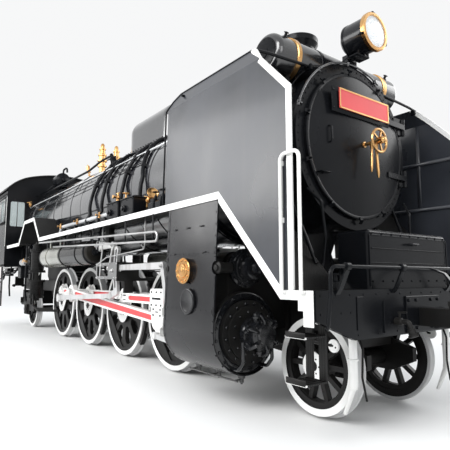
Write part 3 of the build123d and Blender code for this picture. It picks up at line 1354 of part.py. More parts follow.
# Ash pan below the firebox, between the frames
with BuildPart() as ash_pan:
    ash_front_x = FIREBOX_FRONT_X - ASH_FRONT_BACK
    ash_rear_x = ash_front_x - ASH_FLOOR_L - ASH_REAR_SLOPE
    with BuildSketch(side_plane(-ASH_HALF_W)):
        with BuildLine():
            Polyline(
                *spots([
                    (ash_front_x, FIREBOX_BOTTOM_Z),
                    (ash_front_x, ASH_LOW_Z),
                    (ash_front_x - ASH_FLOOR_L, ASH_LOW_Z),
                    (ash_rear_x, ASH_LOW_Z + ASH_REAR_SLOPE),
                    (ash_rear_x, FIREBOX_BOTTOM_Z),
                ]),
                close=True,
            )
        make_face()
    extrude(amount=2 * ASH_HALF_W)
save(ash_pan, "ash_pan")

# Long dome for steam and sand
with BuildPart() as dome:
    dome_low_z = BOILER_Z + sqrt(BOILER_R**2 - (DOME_W / 2) ** 2)
    with BuildSketch(level_plane(dome_low_z)):
        with Locations((along(DOME_X), 0)):
            SlotOverall(DOME_L, DOME_W)
    extrude(amount=DOME_TOP_Z - dome_low_z)
    fillet(dome.edges().group_by(Axis.Z)[-1], DOME_EDGE_R)
    with BuildSketch(cross_plane(DOME_X - DOME_L, height(BOILER_Z))):
        Circle(BOILER_R + BAND_T + SEAT_GAP)
    extrude(amount=2 * DOME_L, mode=Mode.SUBTRACT)
save(dome, "dome")

# Chimney with its lip, bore and flared foot
with BuildPart() as chimney:
    foot_top_z = BOILER_Z + SMOKEBOX_R + CHIMNEY_FOOT_H
    foot_low_z = BOILER_Z + sqrt(SMOKEBOX_R**2 - CHIMNEY_FOOT_R**2)
    with BuildSketch(Plane.XZ):
        with BuildLine():
            Polyline(
                *spots([
                    (CHIMNEY_X, CHIMNEY_TOP_Z - CHIMNEY_BORE_H),
                    (CHIMNEY_X + CHIMNEY_BORE_R, CHIMNEY_TOP_Z - CHIMNEY_BORE_H),
                    (CHIMNEY_X + CHIMNEY_BORE_R, CHIMNEY_TOP_Z),
                    (CHIMNEY_X + CHIMNEY_LIP_R, CHIMNEY_TOP_Z),
                    (CHIMNEY_X + CHIMNEY_LIP_R, CHIMNEY_TOP_Z - CHIMNEY_LIP_H),
                    (CHIMNEY_X + CHIMNEY_R, CHIMNEY_TOP_Z - 2 * CHIMNEY_LIP_H),
                    (CHIMNEY_X + CHIMNEY_R, foot_top_z),
                ])
            )
            flare_end = spot(CHIMNEY_X + CHIMNEY_FOOT_R, foot_low_z)
            TangentArc(spot(CHIMNEY_X + CHIMNEY_R, foot_top_z), flare_end, tangent=(0, -1))
            Polyline(
                flare_end,
                spot(CHIMNEY_X + CHIMNEY_FOOT_R, foot_low_z - CHIMNEY_LIP_H),
                spot(CHIMNEY_X, foot_low_z - CHIMNEY_LIP_H),
                spot(CHIMNEY_X, CHIMNEY_TOP_Z - CHIMNEY_BORE_H),
            )
        make_face()
    revolve(axis=Axis((along(CHIMNEY_X), 0, 0), (0, 0, 1)))
    with BuildSketch(cross_plane(CHIMNEY_X - 2 * CHIMNEY_FOOT_R, height(BOILER_Z))):
        Circle(SMOKEBOX_R + SEAT_GAP)
    extrude(amount=4 * CHIMNEY_FOOT_R, mode=Mode.SUBTRACT)
    with Locations((along(HEATER_X), 0, height(HEATER_Z))):
        Cylinder(HEATER_R + HEATER_SEAT, 2 * SMOKEBOX_R, rotation=(90, 0, 0), mode=Mode.SUBTRACT)
save(chimney, "chimney")

# Feedwater heater across the smokebox: a drum with two bands and rounded ends
with BuildPart() as feedwater_heater:
    with Locations((along(HEATER_X), 0, height(HEATER_Z))):
        Cylinder(HEATER_R, 2 * HEATER_HALF_L, rotation=(90, 0, 0))
    fillet(feedwater_heater.edges().filter_by(GeomType.CIRCLE), HEATER_END_R)
    for y in (-HEATER_BAND_Y, HEATER_BAND_Y):
        with Locations((along(HEATER_X), y, height(HEATER_Z))):
            Cylinder(HEATER_R + HEATER_BAND_T, HEATER_BAND_W, rotation=(90, 0, 0))
save(feedwater_heater, "feedwater_heater")

# Headlamp: drum, rim, bowl for the lamp glass and its stand on the smokebox
with BuildPart() as headlamp:
    with BuildSketch(cross_plane(LAMP_X, height(LAMP_Z))):
        Circle(LAMP_R)
    extrude(amount=LAMP_L)
    chamfer(headlamp.edges().group_by(Axis.X)[0], LAMP_BACK_R)
    with BuildSketch(cross_plane(LAMP_X + LAMP_L - LAMP_RIM_L, height(LAMP_Z))):
        Circle(LAMP_RIM_R)
    extrude(amount=LAMP_RIM_L)
    with BuildSketch(cross_plane(LAMP_X + LAMP_L - LAMP_BOWL_DEPTH, height(LAMP_Z))):
        Circle(LAMP_BOWL_R)
    extrude(amount=LAMP_BOWL_DEPTH, mode=Mode.SUBTRACT)
    stand_low_z = BOILER_Z + SMOKEBOX_R
    stand_high_z = LAMP_Z - LAMP_R + LAMP_BACK_R / 2
    with Locations((along(SMOKEBOX_FRONT_X - LAMP_STAND_L / 2), 0, height((stand_low_z + stand_high_z) / 2))):
        Box(LAMP_STAND_L, LAMP_STAND_W, stand_high_z - stand_low_z)
    with BuildSketch(cross_plane(LAMP_X - LAMP_STAND_L, height(BOILER_Z))):
        Circle(SMOKEBOX_R + SMOKEBOX_RING_PROUD)
    extrude(amount=2 * LAMP_STAND_L, mode=Mode.SUBTRACT)
save(headlamp, "headlamp")

# Safety valves on the boiler, behind the dome
with BuildPart() as safety_valves:
    for y in SAFETY_Y:
        # columns: low edge, radius, high edge
        for z_low, radius, z_high in SAFETY_STEPS:
            with BuildSketch(level_plane(z_low)):
                with Locations((along(SAFETY_X), y)):
                    Circle(radius)
            extrude(amount=z_high - z_low)
    with BuildSketch(cross_plane(SAFETY_X - 2 * BAND_W, height(BOILER_Z))):
        Circle(BOILER_R)
    extrude(amount=4 * BAND_W, mode=Mode.SUBTRACT)
save(safety_valves, "safety_valves")

# Smokebox door, dished, with straps and hinge eyes; its plate and hand wheel
DOOR_BACK_X = SMOKEBOX_FRONT_X + DOOR_GAP
DOOR_FRONT_X = DOOR_BACK_X + DOOR_RIM_T
DISH_R = (DOOR_R**2 + DOOR_DISH**2) / (2 * DOOR_DISH)


def dish_x(radius):
    """Front of the dished door at a radius: a shallow part of a sphere."""
    return DOOR_FRONT_X + DOOR_DISH - DISH_R + sqrt(DISH_R**2 - radius**2)


with BuildPart() as smokebox_door:
    with BuildSketch(Plane.XZ):
        with BuildLine():
            Polyline(
                *spots([
                    (DOOR_BACK_X, BOILER_Z),
                    (DOOR_BACK_X, BOILER_Z + DOOR_R),
                    (DOOR_FRONT_X, BOILER_Z + DOOR_R),
                ])
            )
            ThreePointArc(
                spot(DOOR_FRONT_X, BOILER_Z + DOOR_R),
                spot(dish_x(DOOR_R / 2), BOILER_Z + DOOR_R / 2),
                spot(dish_x(DOOR_BOSS_R), BOILER_Z + DOOR_BOSS_R),
            )
            Polyline(
                *spots([
                    (dish_x(DOOR_BOSS_R), BOILER_Z + DOOR_BOSS_R),
                    (dish_x(0), BOILER_Z + DOOR_BOSS_R),
                    (dish_x(0), BOILER_Z),
                    (DOOR_BACK_X, BOILER_Z),
                ])
            )
        make_face()
    revolve(axis=Axis((0, 0, height(BOILER_Z)), (1, 0, 0)))
    for z in HINGE_Z:
        strap_x = dish_x(sqrt(STRAP_IN_Y**2 + (z - BOILER_Z) ** 2)) + STRAP_T
        with BuildSketch(level_plane(z - STRAP_H / 2)):
            with BuildLine():
                Polyline(
                    (along(DOOR_FRONT_X), STRAP_IN_Y),
                    (along(strap_x), STRAP_IN_Y),
                    (along(HINGE_X + HINGE_R), HINGE_Y),
                    (along(DOOR_FRONT_X - DOOR_GAP), HINGE_Y),
                    close=True,
                )
            make_face()
        extrude(amount=STRAP_H)
        with BuildSketch(level_plane(z - HINGE_EYE_H / 2)):
            with Locations((along(HINGE_X), HINGE_Y)):
                Circle(HINGE_R)
        extrude(amount=HINGE_EYE_H)
        with Locations((along(HINGE_X), HINGE_Y, height(z))):
            Cylinder(HINGE_PIN_R + PIN_FIT, 2 * HINGE_EYE_H, mode=Mode.SUBTRACT)
save(smokebox_door, "smokebox_door")

PLATE_X = dish_x(PLATE_Z - BOILER_Z) + PLATE_STAND
with BuildPart() as number_plate:
    with Locations((along(PLATE_X + PLATE_T / 2), 0, height(PLATE_Z))):
        Box(PLATE_T, PLATE_L, PLATE_H)
    with Locations((along(PLATE_X + PLATE_T), 0, height(PLATE_Z))):
        Box(2 * PLATE_RELIEF, PLATE_L - 2 * PLATE_BORDER, PLATE_H - 2 * PLATE_BORDER, mode=Mode.SUBTRACT)
    for y in (-PLATE_FOOT_Y, PLATE_FOOT_Y):
        foot_x = dish_x(sqrt(y**2 + (PLATE_Z - BOILER_Z) ** 2) - PLATE_FOOT_R) + SEAT_GAP
        with Locations((along((PLATE_X + foot_x) / 2), y, height(PLATE_Z))):
            Cylinder(PLATE_FOOT_R, PLATE_X - foot_x, rotation=(0, 90, 0))
save(number_plate, "number_plate")

HANDWHEEL_X = dish_x(0) + HANDWHEEL_STAND
with BuildPart() as hand_wheel:
    with BuildSketch(Plane.XZ):
        with Locations(spot(HANDWHEEL_X, BOILER_Z + HANDWHEEL_R - HANDWHEEL_RIM / 2)):
            RegularPolygon(HANDWHEEL_RIM / 2, 8)
    revolve(axis=Axis((0, 0, height(BOILER_Z)), (1, 0, 0)))
    with BuildSketch(cross_plane(HANDWHEEL_X - HANDWHEEL_RIM / 4, height(BOILER_Z))):
        with PolarLocations((HANDWHEEL_R - HANDWHEEL_RIM / 2) / 2, HANDWHEEL_SPOKES):
            Rectangle(HANDWHEEL_R - HANDWHEEL_RIM / 2, HANDWHEEL_SPOKE_W)
    extrude(amount=HANDWHEEL_RIM / 2)
    # columns: rear, radius, front
    for x_rear, radius, x_front in (
        (dish_x(0) + SEAT_GAP, HANDWHEEL_SPINDLE_R, HANDWHEEL_X),
        (HANDWHEEL_X - HANDWHEEL_HUB_R, HANDWHEEL_HUB_R, HANDWHEEL_X + HANDWHEEL_HUB_R),
    ):
        with BuildSketch(cross_plane(x_rear, height(BOILER_Z))):
            Circle(radius)
        extrude(amount=x_front - x_rear)
save(hand_wheel, "hand_wheel")

# Running boards, raised over the pumps, with a deep edge strip outside
notch_rise = NOTCH_TOP_Z - BOARD_Z
notch_run = NOTCH_X[0] - NOTCH_X[1]
notch_shift = (sqrt(notch_run**2 + notch_rise**2) - notch_run) / notch_rise


def board_line(depth):
    """Line of the running board at a depth below its top, from the front to the cab."""
    shift = notch_shift * depth
    return spots([
        (SLOPE_TOP_X, BOARD_Z - depth),
        (NOTCH_X[0] - shift, BOARD_Z - depth),
        (NOTCH_X[1] - shift, NOTCH_TOP_Z - depth),
        (NOTCH_X[2] + shift, NOTCH_TOP_Z - depth),
        (NOTCH_X[3] + shift, BOARD_Z - depth),
        (CAB_FRONT_X, BOARD_Z - depth),
    ])


with BuildPart() as running_board:
    for y_in, depth in ((BOARD_INNER_Y, BOARD_T), (BOARD_Y - VALANCE_T, VALANCE_H)):
        with BuildSketch(side_plane(y_in)):
            with BuildLine():
                Polyline(*board_line(0.0), *reversed(board_line(depth)), close=True)
            make_face()
        extrude(amount=BOARD_Y - y_in)
save_pair(running_board, "running_board")

# Smoke deflectors: an upright panel and a panel that leans inwards above the fold
fold_angle = atan2(BOARD_Y - DEFLECTOR_TOP_Y, DEFLECTOR_TOP_Z - DEFLECTOR_FOLD_Z)
upper_h = (DEFLECTOR_TOP_Z - DEFLECTOR_FOLD_Z) / cos(fold_angle)
deflector_front_x = BEAM_X - DEFLECTOR_FRONT_BACK
rear_fold_x = DEFLECTOR_REAR_X + DEFLECTOR_REAR_LEAN
nose_share = (DEFLECTOR_TOP_Z - DEFLECTOR_FOLD_Z) / (DEFLECTOR_TOP_Z - DEFLECTOR_NOSE_Z)
front_fold_x = DEFLECTOR_APEX_X + nose_share * (deflector_front_x - DEFLECTOR_APEX_X)
fold_plane = Plane(
    origin=(0, -BOARD_Y, height(DEFLECTOR_FOLD_Z)),
    x_dir=(1, 0, 0),
    z_dir=(0, -cos(fold_angle), sin(fold_angle)),
)
with BuildPart() as deflector:
    with BuildSketch(side_plane(BOARD_Y - DEFLECTOR_T)):
        with BuildLine():
            Polyline(
                *spots([
                    (DEFLECTOR_REAR_X, BOARD_Z),
                    (rear_fold_x, DEFLECTOR_FOLD_Z),
                    (front_fold_x, DEFLECTOR_FOLD_Z),
                    (deflector_front_x, DEFLECTOR_NOSE_Z),
                    (deflector_front_x, DECK_Z),
                    (SLOPE_FOOT_X, DECK_Z),
                    (SLOPE_TOP_X, BOARD_Z),
                ]),
                close=True,
            )
        make_face()
    extrude(amount=DEFLECTOR_T)
    with BuildSketch(fold_plane):
        with BuildLine():
            Polyline(
                (along(rear_fold_x), 0),
                (along(rear_fold_x), upper_h - DEFLECTOR_CORNER),
                (along(rear_fold_x + DEFLECTOR_CORNER / 3), upper_h - DEFLECTOR_CORNER / 3),
                (along(rear_fold_x + DEFLECTOR_CORNER), upper_h),
                (along(DEFLECTOR_APEX_X), upper_h),
                (along(front_fold_x), 0),
                close=True,
            )
        make_face()
    extrude(amount=-DEFLECTOR_T)
save_pair(deflector, "deflector")

# Footsteps below the front deck and the cab
with BuildPart() as footsteps:
    strap_y = (STEP_W - STEP_STRAP_T) / 2 - STEP_Y
    # columns: place along, height of the top, heights of the treads
    for x, top_z, treads in (
        (BEAM_X - FRONT_STEP_BACK, DECK_Z - DECK_T, FRONT_STEP_Z),
        (CAB_REAR_X + CAB_STEP_AHEAD, CAB_FLOOR_Z - CAB_FLOOR_T / 2, CAB_STEP_Z),
    ):
        for end in (-1, 1):
            strap_x = x + end * (STEP_L - STEP_STRAP_W) / 2
            with Locations((along(strap_x), strap_y, height((top_z + treads[-1]) / 2))):
                Box(STEP_STRAP_W, STEP_STRAP_T, top_z - treads[-1])
        for z in treads:
            with Locations((along(x), -STEP_Y, height(z + STEP_T / 2))):
                Box(STEP_L, STEP_W, STEP_T)
    mirror(about=Plane.XZ)
save(footsteps, "footsteps")


def roof_z(y, inset):
    """Height of the roof at a distance from the middle, inset from its outer face."""
    crown_centre_z = ROOF_CROWN_Z - ROOF_R
    shoulder_rise = sqrt(ROOF_R**2 - ROOF_SHOULDER_Y**2)
    if abs(y) <= ROOF_SHOULDER_Y * (ROOF_R - inset) / ROOF_R:
        return crown_centre_z + sqrt((ROOF_R - inset) ** 2 - y**2)
    side_y = ROOF_SHOULDER_Y * (1 - ROOF_SIDE_R / ROOF_R)
    side_z = crown_centre_z + shoulder_rise * (1 - ROOF_SIDE_R / ROOF_R)
    return side_z + sqrt((ROOF_SIDE_R - inset) ** 2 - (abs(y) - side_y) ** 2)


def roof_arcs(inset, half_w):
    """Three tangent arcs of the roof across the cab; gives their two ends."""
    joint = ROOF_SHOULDER_Y * (ROOF_R - inset) / ROOF_R
    middle = (half_w + joint) / 2
    places = [-half_w, -middle, -joint, 0, joint, middle, half_w]
    points = [(y, height(roof_z(y, inset))) for y in places]
    for n in (0, 2, 4):
        ThreePointArc(*points[n:n + 3])
    return points[0], points[-1]


# Cab: sides with two windows and an entrance behind them, front wall, roof and floor
CAB_EAVES_Z = roof_z(CAB_Y, ROOF_T) - SEAT_GAP
window_x = [CAB_FRONT_X - WINDOW_FRONT_BACK - WINDOW_W / 2]
window_x.append(window_x[0] - WINDOW_W - WINDOW_PILLAR)
with BuildPart() as cab_side:
    with BuildSketch(side_plane(CAB_Y - WALL_T)):
        with Locations(spot((CAB_FRONT_X + CAB_REAR_X) / 2, (CAB_SKIRT_Z + CAB_EAVES_Z) / 2)):
            Rectangle(CAB_L, CAB_EAVES_Z - CAB_SKIRT_Z)
        with Locations(spot(CAB_REAR_X + CAB_ENTRANCE_L / 2, (CAB_FLOOR_Z + CAB_ENTRANCE_TOP_Z) / 2)):
            Rectangle(CAB_ENTRANCE_L, CAB_ENTRANCE_TOP_Z - CAB_FLOOR_Z, mode=Mode.SUBTRACT)
        with Locations([spot(x, WINDOW_Z) for x in window_x]):
            RectangleRounded(WINDOW_W, WINDOW_H, WINDOW_CORNER, mode=Mode.SUBTRACT)
    extrude(amount=WALL_T)
    with BuildSketch(side_plane(CAB_Y)):
        with Locations([spot(x, WINDOW_Z) for x in window_x]):
            RectangleRounded(
                WINDOW_W + 2 * WINDOW_RIM, WINDOW_H + 2 * WINDOW_RIM, WINDOW_CORNER + WINDOW_RIM
            )
            RectangleRounded(WINDOW_W, WINDOW_H, WINDOW_CORNER, mode=Mode.SUBTRACT)
    extrude(amount=WINDOW_RIM_T)
save_pair(cab_side, "cab_side")

with BuildPart() as cab_roof:
    with BuildSketch(cross_plane(ROOF_REAR_X)):
        with BuildLine():
            outer = roof_arcs(0.0, ROOF_Y)
            inner = roof_arcs(ROOF_T, ROOF_Y)
            for above, below in zip(outer, inner):
                Line(above, below)
        make_face()
    extrude(amount=CAB_FRONT_X + ROOF_FRONT_LAP - ROOF_REAR_X)
    with Locations((along((CAB_FRONT_X + CAB_REAR_X) / 2), 0, height(ROOF_CROWN_Z + (VENT_H - ROOF_T) / 2))):
        Box(VENT_L, VENT_W, VENT_H + ROOF_T)
    chamfer(cab_roof.edges().group_by(Axis.Z)[-1], VENT_H / 3)
save(cab_roof, "cab_roof")

with BuildPart() as cab_front:
    wall_half_w = CAB_Y - WALL_T - SEAT_GAP
    with BuildSketch(cross_plane(CAB_FRONT_X - WALL_T)):
        with BuildLine():
            left_top, right_top = roof_arcs(ROOF_T + SEAT_GAP, wall_half_w)
            Polyline(
                left_top,
                (left_top[0], height(CAB_SKIRT_Z)),
                (right_top[0], height(CAB_SKIRT_Z)),
                right_top,
            )
        make_face()
        with Locations((0, height(BOILER_Z))):
            Circle(BOILER_R + HEATER_SEAT, mode=Mode.SUBTRACT)
        with Locations((0, height((CAB_SKIRT_Z + BOILER_Z) / 2))):
            Rectangle(2 * (BOILER_R + HEATER_SEAT), BOILER_Z - CAB_SKIRT_Z, mode=Mode.SUBTRACT)
        with Locations((-SPECTACLE_Y, height(SPECTACLE_Z)), (SPECTACLE_Y, height(SPECTACLE_Z))):
            RectangleRounded(SPECTACLE_W, SPECTACLE_H, WINDOW_CORNER, mode=Mode.SUBTRACT)
    extrude(amount=WALL_T)
    with BuildSketch(cross_plane(CAB_FRONT_X)):
        with Locations((-SPECTACLE_Y, height(SPECTACLE_Z)), (SPECTACLE_Y, height(SPECTACLE_Z))):
            RectangleRounded(
                SPECTACLE_W + 2 * WINDOW_RIM, SPECTACLE_H + 2 * WINDOW_RIM, WINDOW_CORNER + WINDOW_RIM
            )
            RectangleRounded(SPECTACLE_W, SPECTACLE_H, WINDOW_CORNER, mode=Mode.SUBTRACT)
    extrude(amount=WINDOW_RIM_T)
save(cab_front, "cab_front")

with BuildPart() as cab_floor:
    floor_front_x = FIREBOX_REAR_X - BACKHEAD_T - SEAT_GAP
    floor_low_z = CAB_FLOOR_Z - CAB_FLOOR_T / 2
    with Locations((along((CAB_REAR_X + floor_front_x) / 2), 0, height(CAB_FLOOR_Z))):
        Box(floor_front_x - CAB_REAR_X, 2 * (CAB_Y - WALL_T), CAB_FLOOR_T)
    for y in (-SPRING_MID_Y, SPRING_MID_Y):
        with Locations((along(CAB_REAR_X + STRETCHER_L), y, height((floor_low_z + FRAME_TOP_Z) / 2))):
            Box(2 * STRETCHER_L, FRAME_T, floor_low_z - FRAME_TOP_Z)
save(cab_floor, "cab_floor")

# Leading truck: inside frames, bolster and the tongue to its pivot
with BuildPart() as leading_truck:
    truck_end_x = LEADING_X - TRUCK_L / 2
    bolster_low_z = TRUCK_TOP_Z - TONGUE_T
    bolster_high_z = NOSE_BOTTOM_Z - SLIDE_GAP
    with BuildSketch(side_plane(TRUCK_Y - TRUCK_T)):
        with BuildLine():
            Polyline(
                *spots([
                    (truck_end_x, TONGUE_Z - TONGUE_T),
                    (truck_end_x, TONGUE_Z + TONGUE_T),
                    (LEADING_X - BOLSTER_L / 2, TRUCK_TOP_Z),
                    (LEADING_X + BOLSTER_L / 2, TRUCK_TOP_Z),
                    (LEADING_X + TRUCK_L / 2, TONGUE_Z + TONGUE_T),
                    (LEADING_X + TRUCK_L / 2, TONGUE_Z - TONGUE_T),
                    (LEADING_X + BOLSTER_L / 2, TRUCK_LOW_Z),
                    (LEADING_X - BOLSTER_L / 2, TRUCK_LOW_Z),
                ]),
                close=True,
            )
        make_face()
        with Locations(spot(LEADING_X, SMALL_R)):
            Circle(SMALL_AXLE_R + RUNNING_FIT, mode=Mode.SUBTRACT)
    extrude(amount=TRUCK_T)
    mirror(about=Plane.XZ)
    with Locations((along(LEADING_X), 0, height((bolster_low_z + bolster_high_z) / 2))):
        Box(BOLSTER_L, 2 * TRUCK_Y - TRUCK_T, bolster_high_z - bolster_low_z)
    with BuildSketch(level_plane(TONGUE_Z - TONGUE_T)):
        with BuildLine():
            Polyline(
                (along(truck_end_x + TRUCK_T), TRUCK_Y - TRUCK_T / 2),
                (along(truck_end_x), TRUCK_Y - TRUCK_T / 2),
                (along(LEADING_PIVOT_X), PIVOT_EYE_R),
                (along(LEADING_PIVOT_X), -PIVOT_EYE_R),
                (along(truck_end_x), TRUCK_T / 2 - TRUCK_Y),
                (along(truck_end_x + TRUCK_T), TRUCK_T / 2 - TRUCK_Y),
                close=True,
            )
        make_face()
        with Locations((along(LEADING_PIVOT_X), 0)):
            Circle(PIVOT_EYE_R)
            Circle(PIVOT_PIN_R + PIN_FIT, mode=Mode.SUBTRACT)
    extrude(amount=TONGUE_T)
save(leading_truck, "leading_truck")

# Trailing truck: outside frames with axle boxes and leaf springs, rear bolster, tongue to its pivot
with BuildPart() as trailing_truck:
    with BuildSketch(side_plane(OUTER_TRUCK_Y - TRUCK_T)):
        with BuildLine():
            Polyline(
                *spots([(TRAILING_X + dx, z) for dx, z in TRAILING_OUTLINE]),
                close=True,
            )
        make_face()
        with Locations(spot(TRAILING_X, SMALL_R)):
            Circle(SMALL_AXLE_R + RUNNING_FIT, mode=Mode.SUBTRACT)
    extrude(amount=TRUCK_T)
    with BuildSketch(side_plane(OUTER_TRUCK_Y)):
        with Locations(spot(TRAILING_X, SMALL_R)):
            RectangleRounded(TRAILING_BOX_W, TRAILING_BOX_H, DECK_BOX_EDGE_R)
    extrude(amount=AXLE_BOX_T)
    spring_low_z = TRAILING_OUTLINE[2][1] + SPRING_LIFT
    with BuildSketch(side_plane(OUTER_TRUCK_Y - TRUCK_T)):
        for n in range(SPRING_LEAVES):
            with Locations(spot(TRAILING_X, spring_low_z + (SPRING_LEAVES - n - 0.5) * LEAF_T)):
                Rectangle(SPRING_L - n * LEAF_STEP, LEAF_T)
        with Locations(spot(TRAILING_X, spring_low_z + (SPRING_LEAVES * LEAF_T - SPRING_LIFT) / 2)):
            Rectangle(BUCKLE_L, SPRING_LEAVES * LEAF_T + SPRING_LIFT)
        for end in (-1, 1):
            with Locations(spot(TRAILING_X + end * (SPRING_L - LEAF_T) / 2, spring_low_z)):
                Rectangle(2 * LEAF_T, 2 * SPRING_LEAVES * LEAF_T)
    extrude(amount=TRUCK_T)
    mirror(about=Plane.XZ)
    rear_x = TRAILING_X + TRAILING_OUTLINE[0][0]
    rear_low_z = TRAILING_OUTLINE[0][1]
    rear_high_z = REAR_FRAME_BOTTOM_Z - SLIDE_GAP
    with Locations((along(rear_x + TRUCK_T), 0, height((rear_low_z + rear_high_z) / 2))):
        Box(2 * TRUCK_T, 2 * OUTER_TRUCK_Y - TRUCK_T, rear_high_z - rear_low_z)
    front_x = TRAILING_X + TRAILING_OUTLINE[4][0]
    with BuildSketch(level_plane(TONGUE_Z - TONGUE_T)):
        with BuildLine():
            Polyline(
                (along(front_x), OUTER_TRUCK_Y - TRUCK_T / 2),
                (along(TRAILING_PIVOT_X), PIVOT_EYE_R),
                (along(TRAILING_PIVOT_X), -PIVOT_EYE_R),
                (along(front_x), TRUCK_T / 2 - OUTER_TRUCK_Y),
                (along(front_x - 2 * TRUCK_T), TRUCK_T / 2 - OUTER_TRUCK_Y),
                (along(front_x - 2 * TRUCK_T), OUTER_TRUCK_Y - TRUCK_T / 2),
                close=True,
            )
        make_face()
        with Locations((along(TRAILING_PIVOT_X), 0)):
            Circle(PIVOT_EYE_R)
            Circle(PIVOT_PIN_R + PIN_FIT, mode=Mode.SUBTRACT)
    extrude(amount=TONGUE_T)
save(trailing_truck, "trailing_truck")

# Pivot pins of both trucks, hung from the frames
with BuildPart() as truck_pivots:
    for x in (LEADING_PIVOT_X, TRAILING_PIVOT_X):
        with Locations((along(x), 0, height((TONGUE_Z - TONGUE_T + FRAME_BOTTOM_Z) / 2))):
            Cylinder(PIVOT_PIN_R, FRAME_BOTTOM_Z - TONGUE_Z + TONGUE_T)
        with Locations((along(x), 0, height(FRAME_BOTTOM_Z + TONGUE_T / 2))):
            Box(PIVOT_CARRIER_L, 2 * (FRAME_Y - FRAME_T), TONGUE_T)
save(truck_pivots, "truck_pivots")

# Air reservoirs below the running boards, hung in straps
with BuildPart() as air_reservoir:
    with Locations((along(sum(RESERVOIR_X) / 2), -RESERVOIR_Y, height(RESERVOIR_Z))):
        Cylinder(RESERVOIR_R, RESERVOIR_X[1] - RESERVOIR_X[0], rotation=(0, 90, 0))
    fillet(air_reservoir.edges().filter_by(GeomType.CIRCLE), RESERVOIR_END_R)
    strap_half_w = RESERVOIR_R + RESERVOIR_STRAP_T
    for x in (RESERVOIR_X[0] + RESERVOIR_STRAP_IN, sum(RESERVOIR_X) / 2, RESERVOIR_X[1] - RESERVOIR_STRAP_IN):
        with BuildSketch(cross_plane(x - RESERVOIR_STRAP_W / 2)):
            with Locations((-RESERVOIR_Y, height(RESERVOIR_Z))):
                Circle(strap_half_w)
            for y in (-RESERVOIR_HANGER_L, RESERVOIR_HANGER_L):
                with Locations((y - RESERVOIR_Y, height((RESERVOIR_Z + BOARD_LOW_Z) / 2))):
                    Rectangle(2 * RESERVOIR_STRAP_T, BOARD_LOW_Z - RESERVOIR_Z)
        extrude(amount=RESERVOIR_STRAP_W)
save_pair(air_reservoir, "air_reservoir")

# Air compressor on the right and feed pump on the left, each on a bracket from the boiler
for side, name, steps in ((1, "air_compressor", COMPRESSOR_STEPS), (-1, "feed_pump", PUMP_STEPS)):
    with BuildPart() as pump_right:
        # columns: low edge, radius, high edge
        for z_low, radius, z_high in steps:
            with BuildSketch(level_plane(z_low)):
                with Locations((along(PUMP_X), -PUMP_Y)):
                    Circle(radius)
            extrude(amount=z_high - z_low)
        bracket_low_z, bracket_high_z = PUMP_BRACKET_Z
        bracket_y = (PUMP_BRACKET_IN_Y + PUMP_Y) / 2
        with Locations((along(PUMP_X), -bracket_y, height((bracket_low_z + bracket_high_z) / 2))):
            Box(PUMP_BRACKET_L, PUMP_Y - PUMP_BRACKET_IN_Y, bracket_high_z - bracket_low_z)
        with BuildSketch(cross_plane(PUMP_X - PUMP_BRACKET_L, height(BOILER_Z))):
            Circle(BOILER_R + BAND_T + SEAT_GAP)
        extrude(amount=2 * PUMP_BRACKET_L, mode=Mode.SUBTRACT)
    with BuildPart() as pump:
        if side > 0:
            add(pump_right.part)
        else:
            mirror(pump_right.part, about=Plane.XZ)
    save(pump, name)

# Automatic coupler in front: head with its guard arm, and the knuckle that swings on a pin
KNUCKLE_LOW_Z = COUPLER_Z - COUPLER_H / 2
with BuildPart() as front_coupler:
    with Locations((along((BEAM_X + COUPLER_HEAD_X) / 2), 0, height(COUPLER_Z))):
        Box(COUPLER_HEAD_X - BEAM_X, COUPLER_SHANK_W, COUPLER_SHANK_H)
    with BuildSketch(level_plane(KNUCKLE_LOW_Z)):
        with BuildLine():
            Polyline(*[(along(COUPLER_HEAD_X + ahead), y) for ahead, y in HEAD_OUTLINE], close=True)
        make_face()
    extrude(amount=COUPLER_H)
    for z in (KNUCKLE_LOW_Z, COUPLER_Z + COUPLER_H / 2 - KNUCKLE_LUG_T):
        with BuildSketch(level_plane(z)):
            with Locations((along(KNUCKLE_PIN_X), KNUCKLE_PIN_Y)):
                Circle(KNUCKLE_R + KNUCKLE_LUG_MARGIN)
            with Locations((along((COUPLER_HEAD_X + KNUCKLE_PIN_X) / 2), KNUCKLE_PIN_Y)):
                Rectangle(KNUCKLE_PIN_X - COUPLER_HEAD_X, 1.5 * KNUCKLE_R)
        extrude(amount=KNUCKLE_LUG_T)
    with Locations((along(KNUCKLE_PIN_X), KNUCKLE_PIN_Y, height(COUPLER_Z))):
        Cylinder(KNUCKLE_PIN_R, COUPLER_H)
save(front_coupler, "front_coupler")

with BuildPart() as knuckle:
    with BuildSketch(level_plane(KNUCKLE_LOW_Z + KNUCKLE_LUG_T + KNUCKLE_FIT)):
        with Locations((along(KNUCKLE_PIN_X), KNUCKLE_PIN_Y)):
            Circle(KNUCKLE_R)
        with BuildLine():
            Polyline(
                *[(along(KNUCKLE_PIN_X + ahead), KNUCKLE_PIN_Y + y) for ahead, y in KNUCKLE_OUTLINE],
                close=True,
            )
        make_face()
        with Locations((along(KNUCKLE_PIN_X), KNUCKLE_PIN_Y)):
            Circle(KNUCKLE_PIN_R + PIN_FIT, mode=Mode.SUBTRACT)
    extrude(amount=COUPLER_H - 2 * (KNUCKLE_LUG_T + KNUCKLE_FIT))
save(knuckle, "knuckle")

with BuildPart() as drawbar:
    with Locations((along((FRAME_REAR_X + ROOF_REAR_X) / 2), 0, height(DRAWBAR_Z))):
        Box(FRAME_REAR_X - ROOF_REAR_X, DRAWBAR_W, DRAWBAR_H)
save(drawbar, "drawbar")
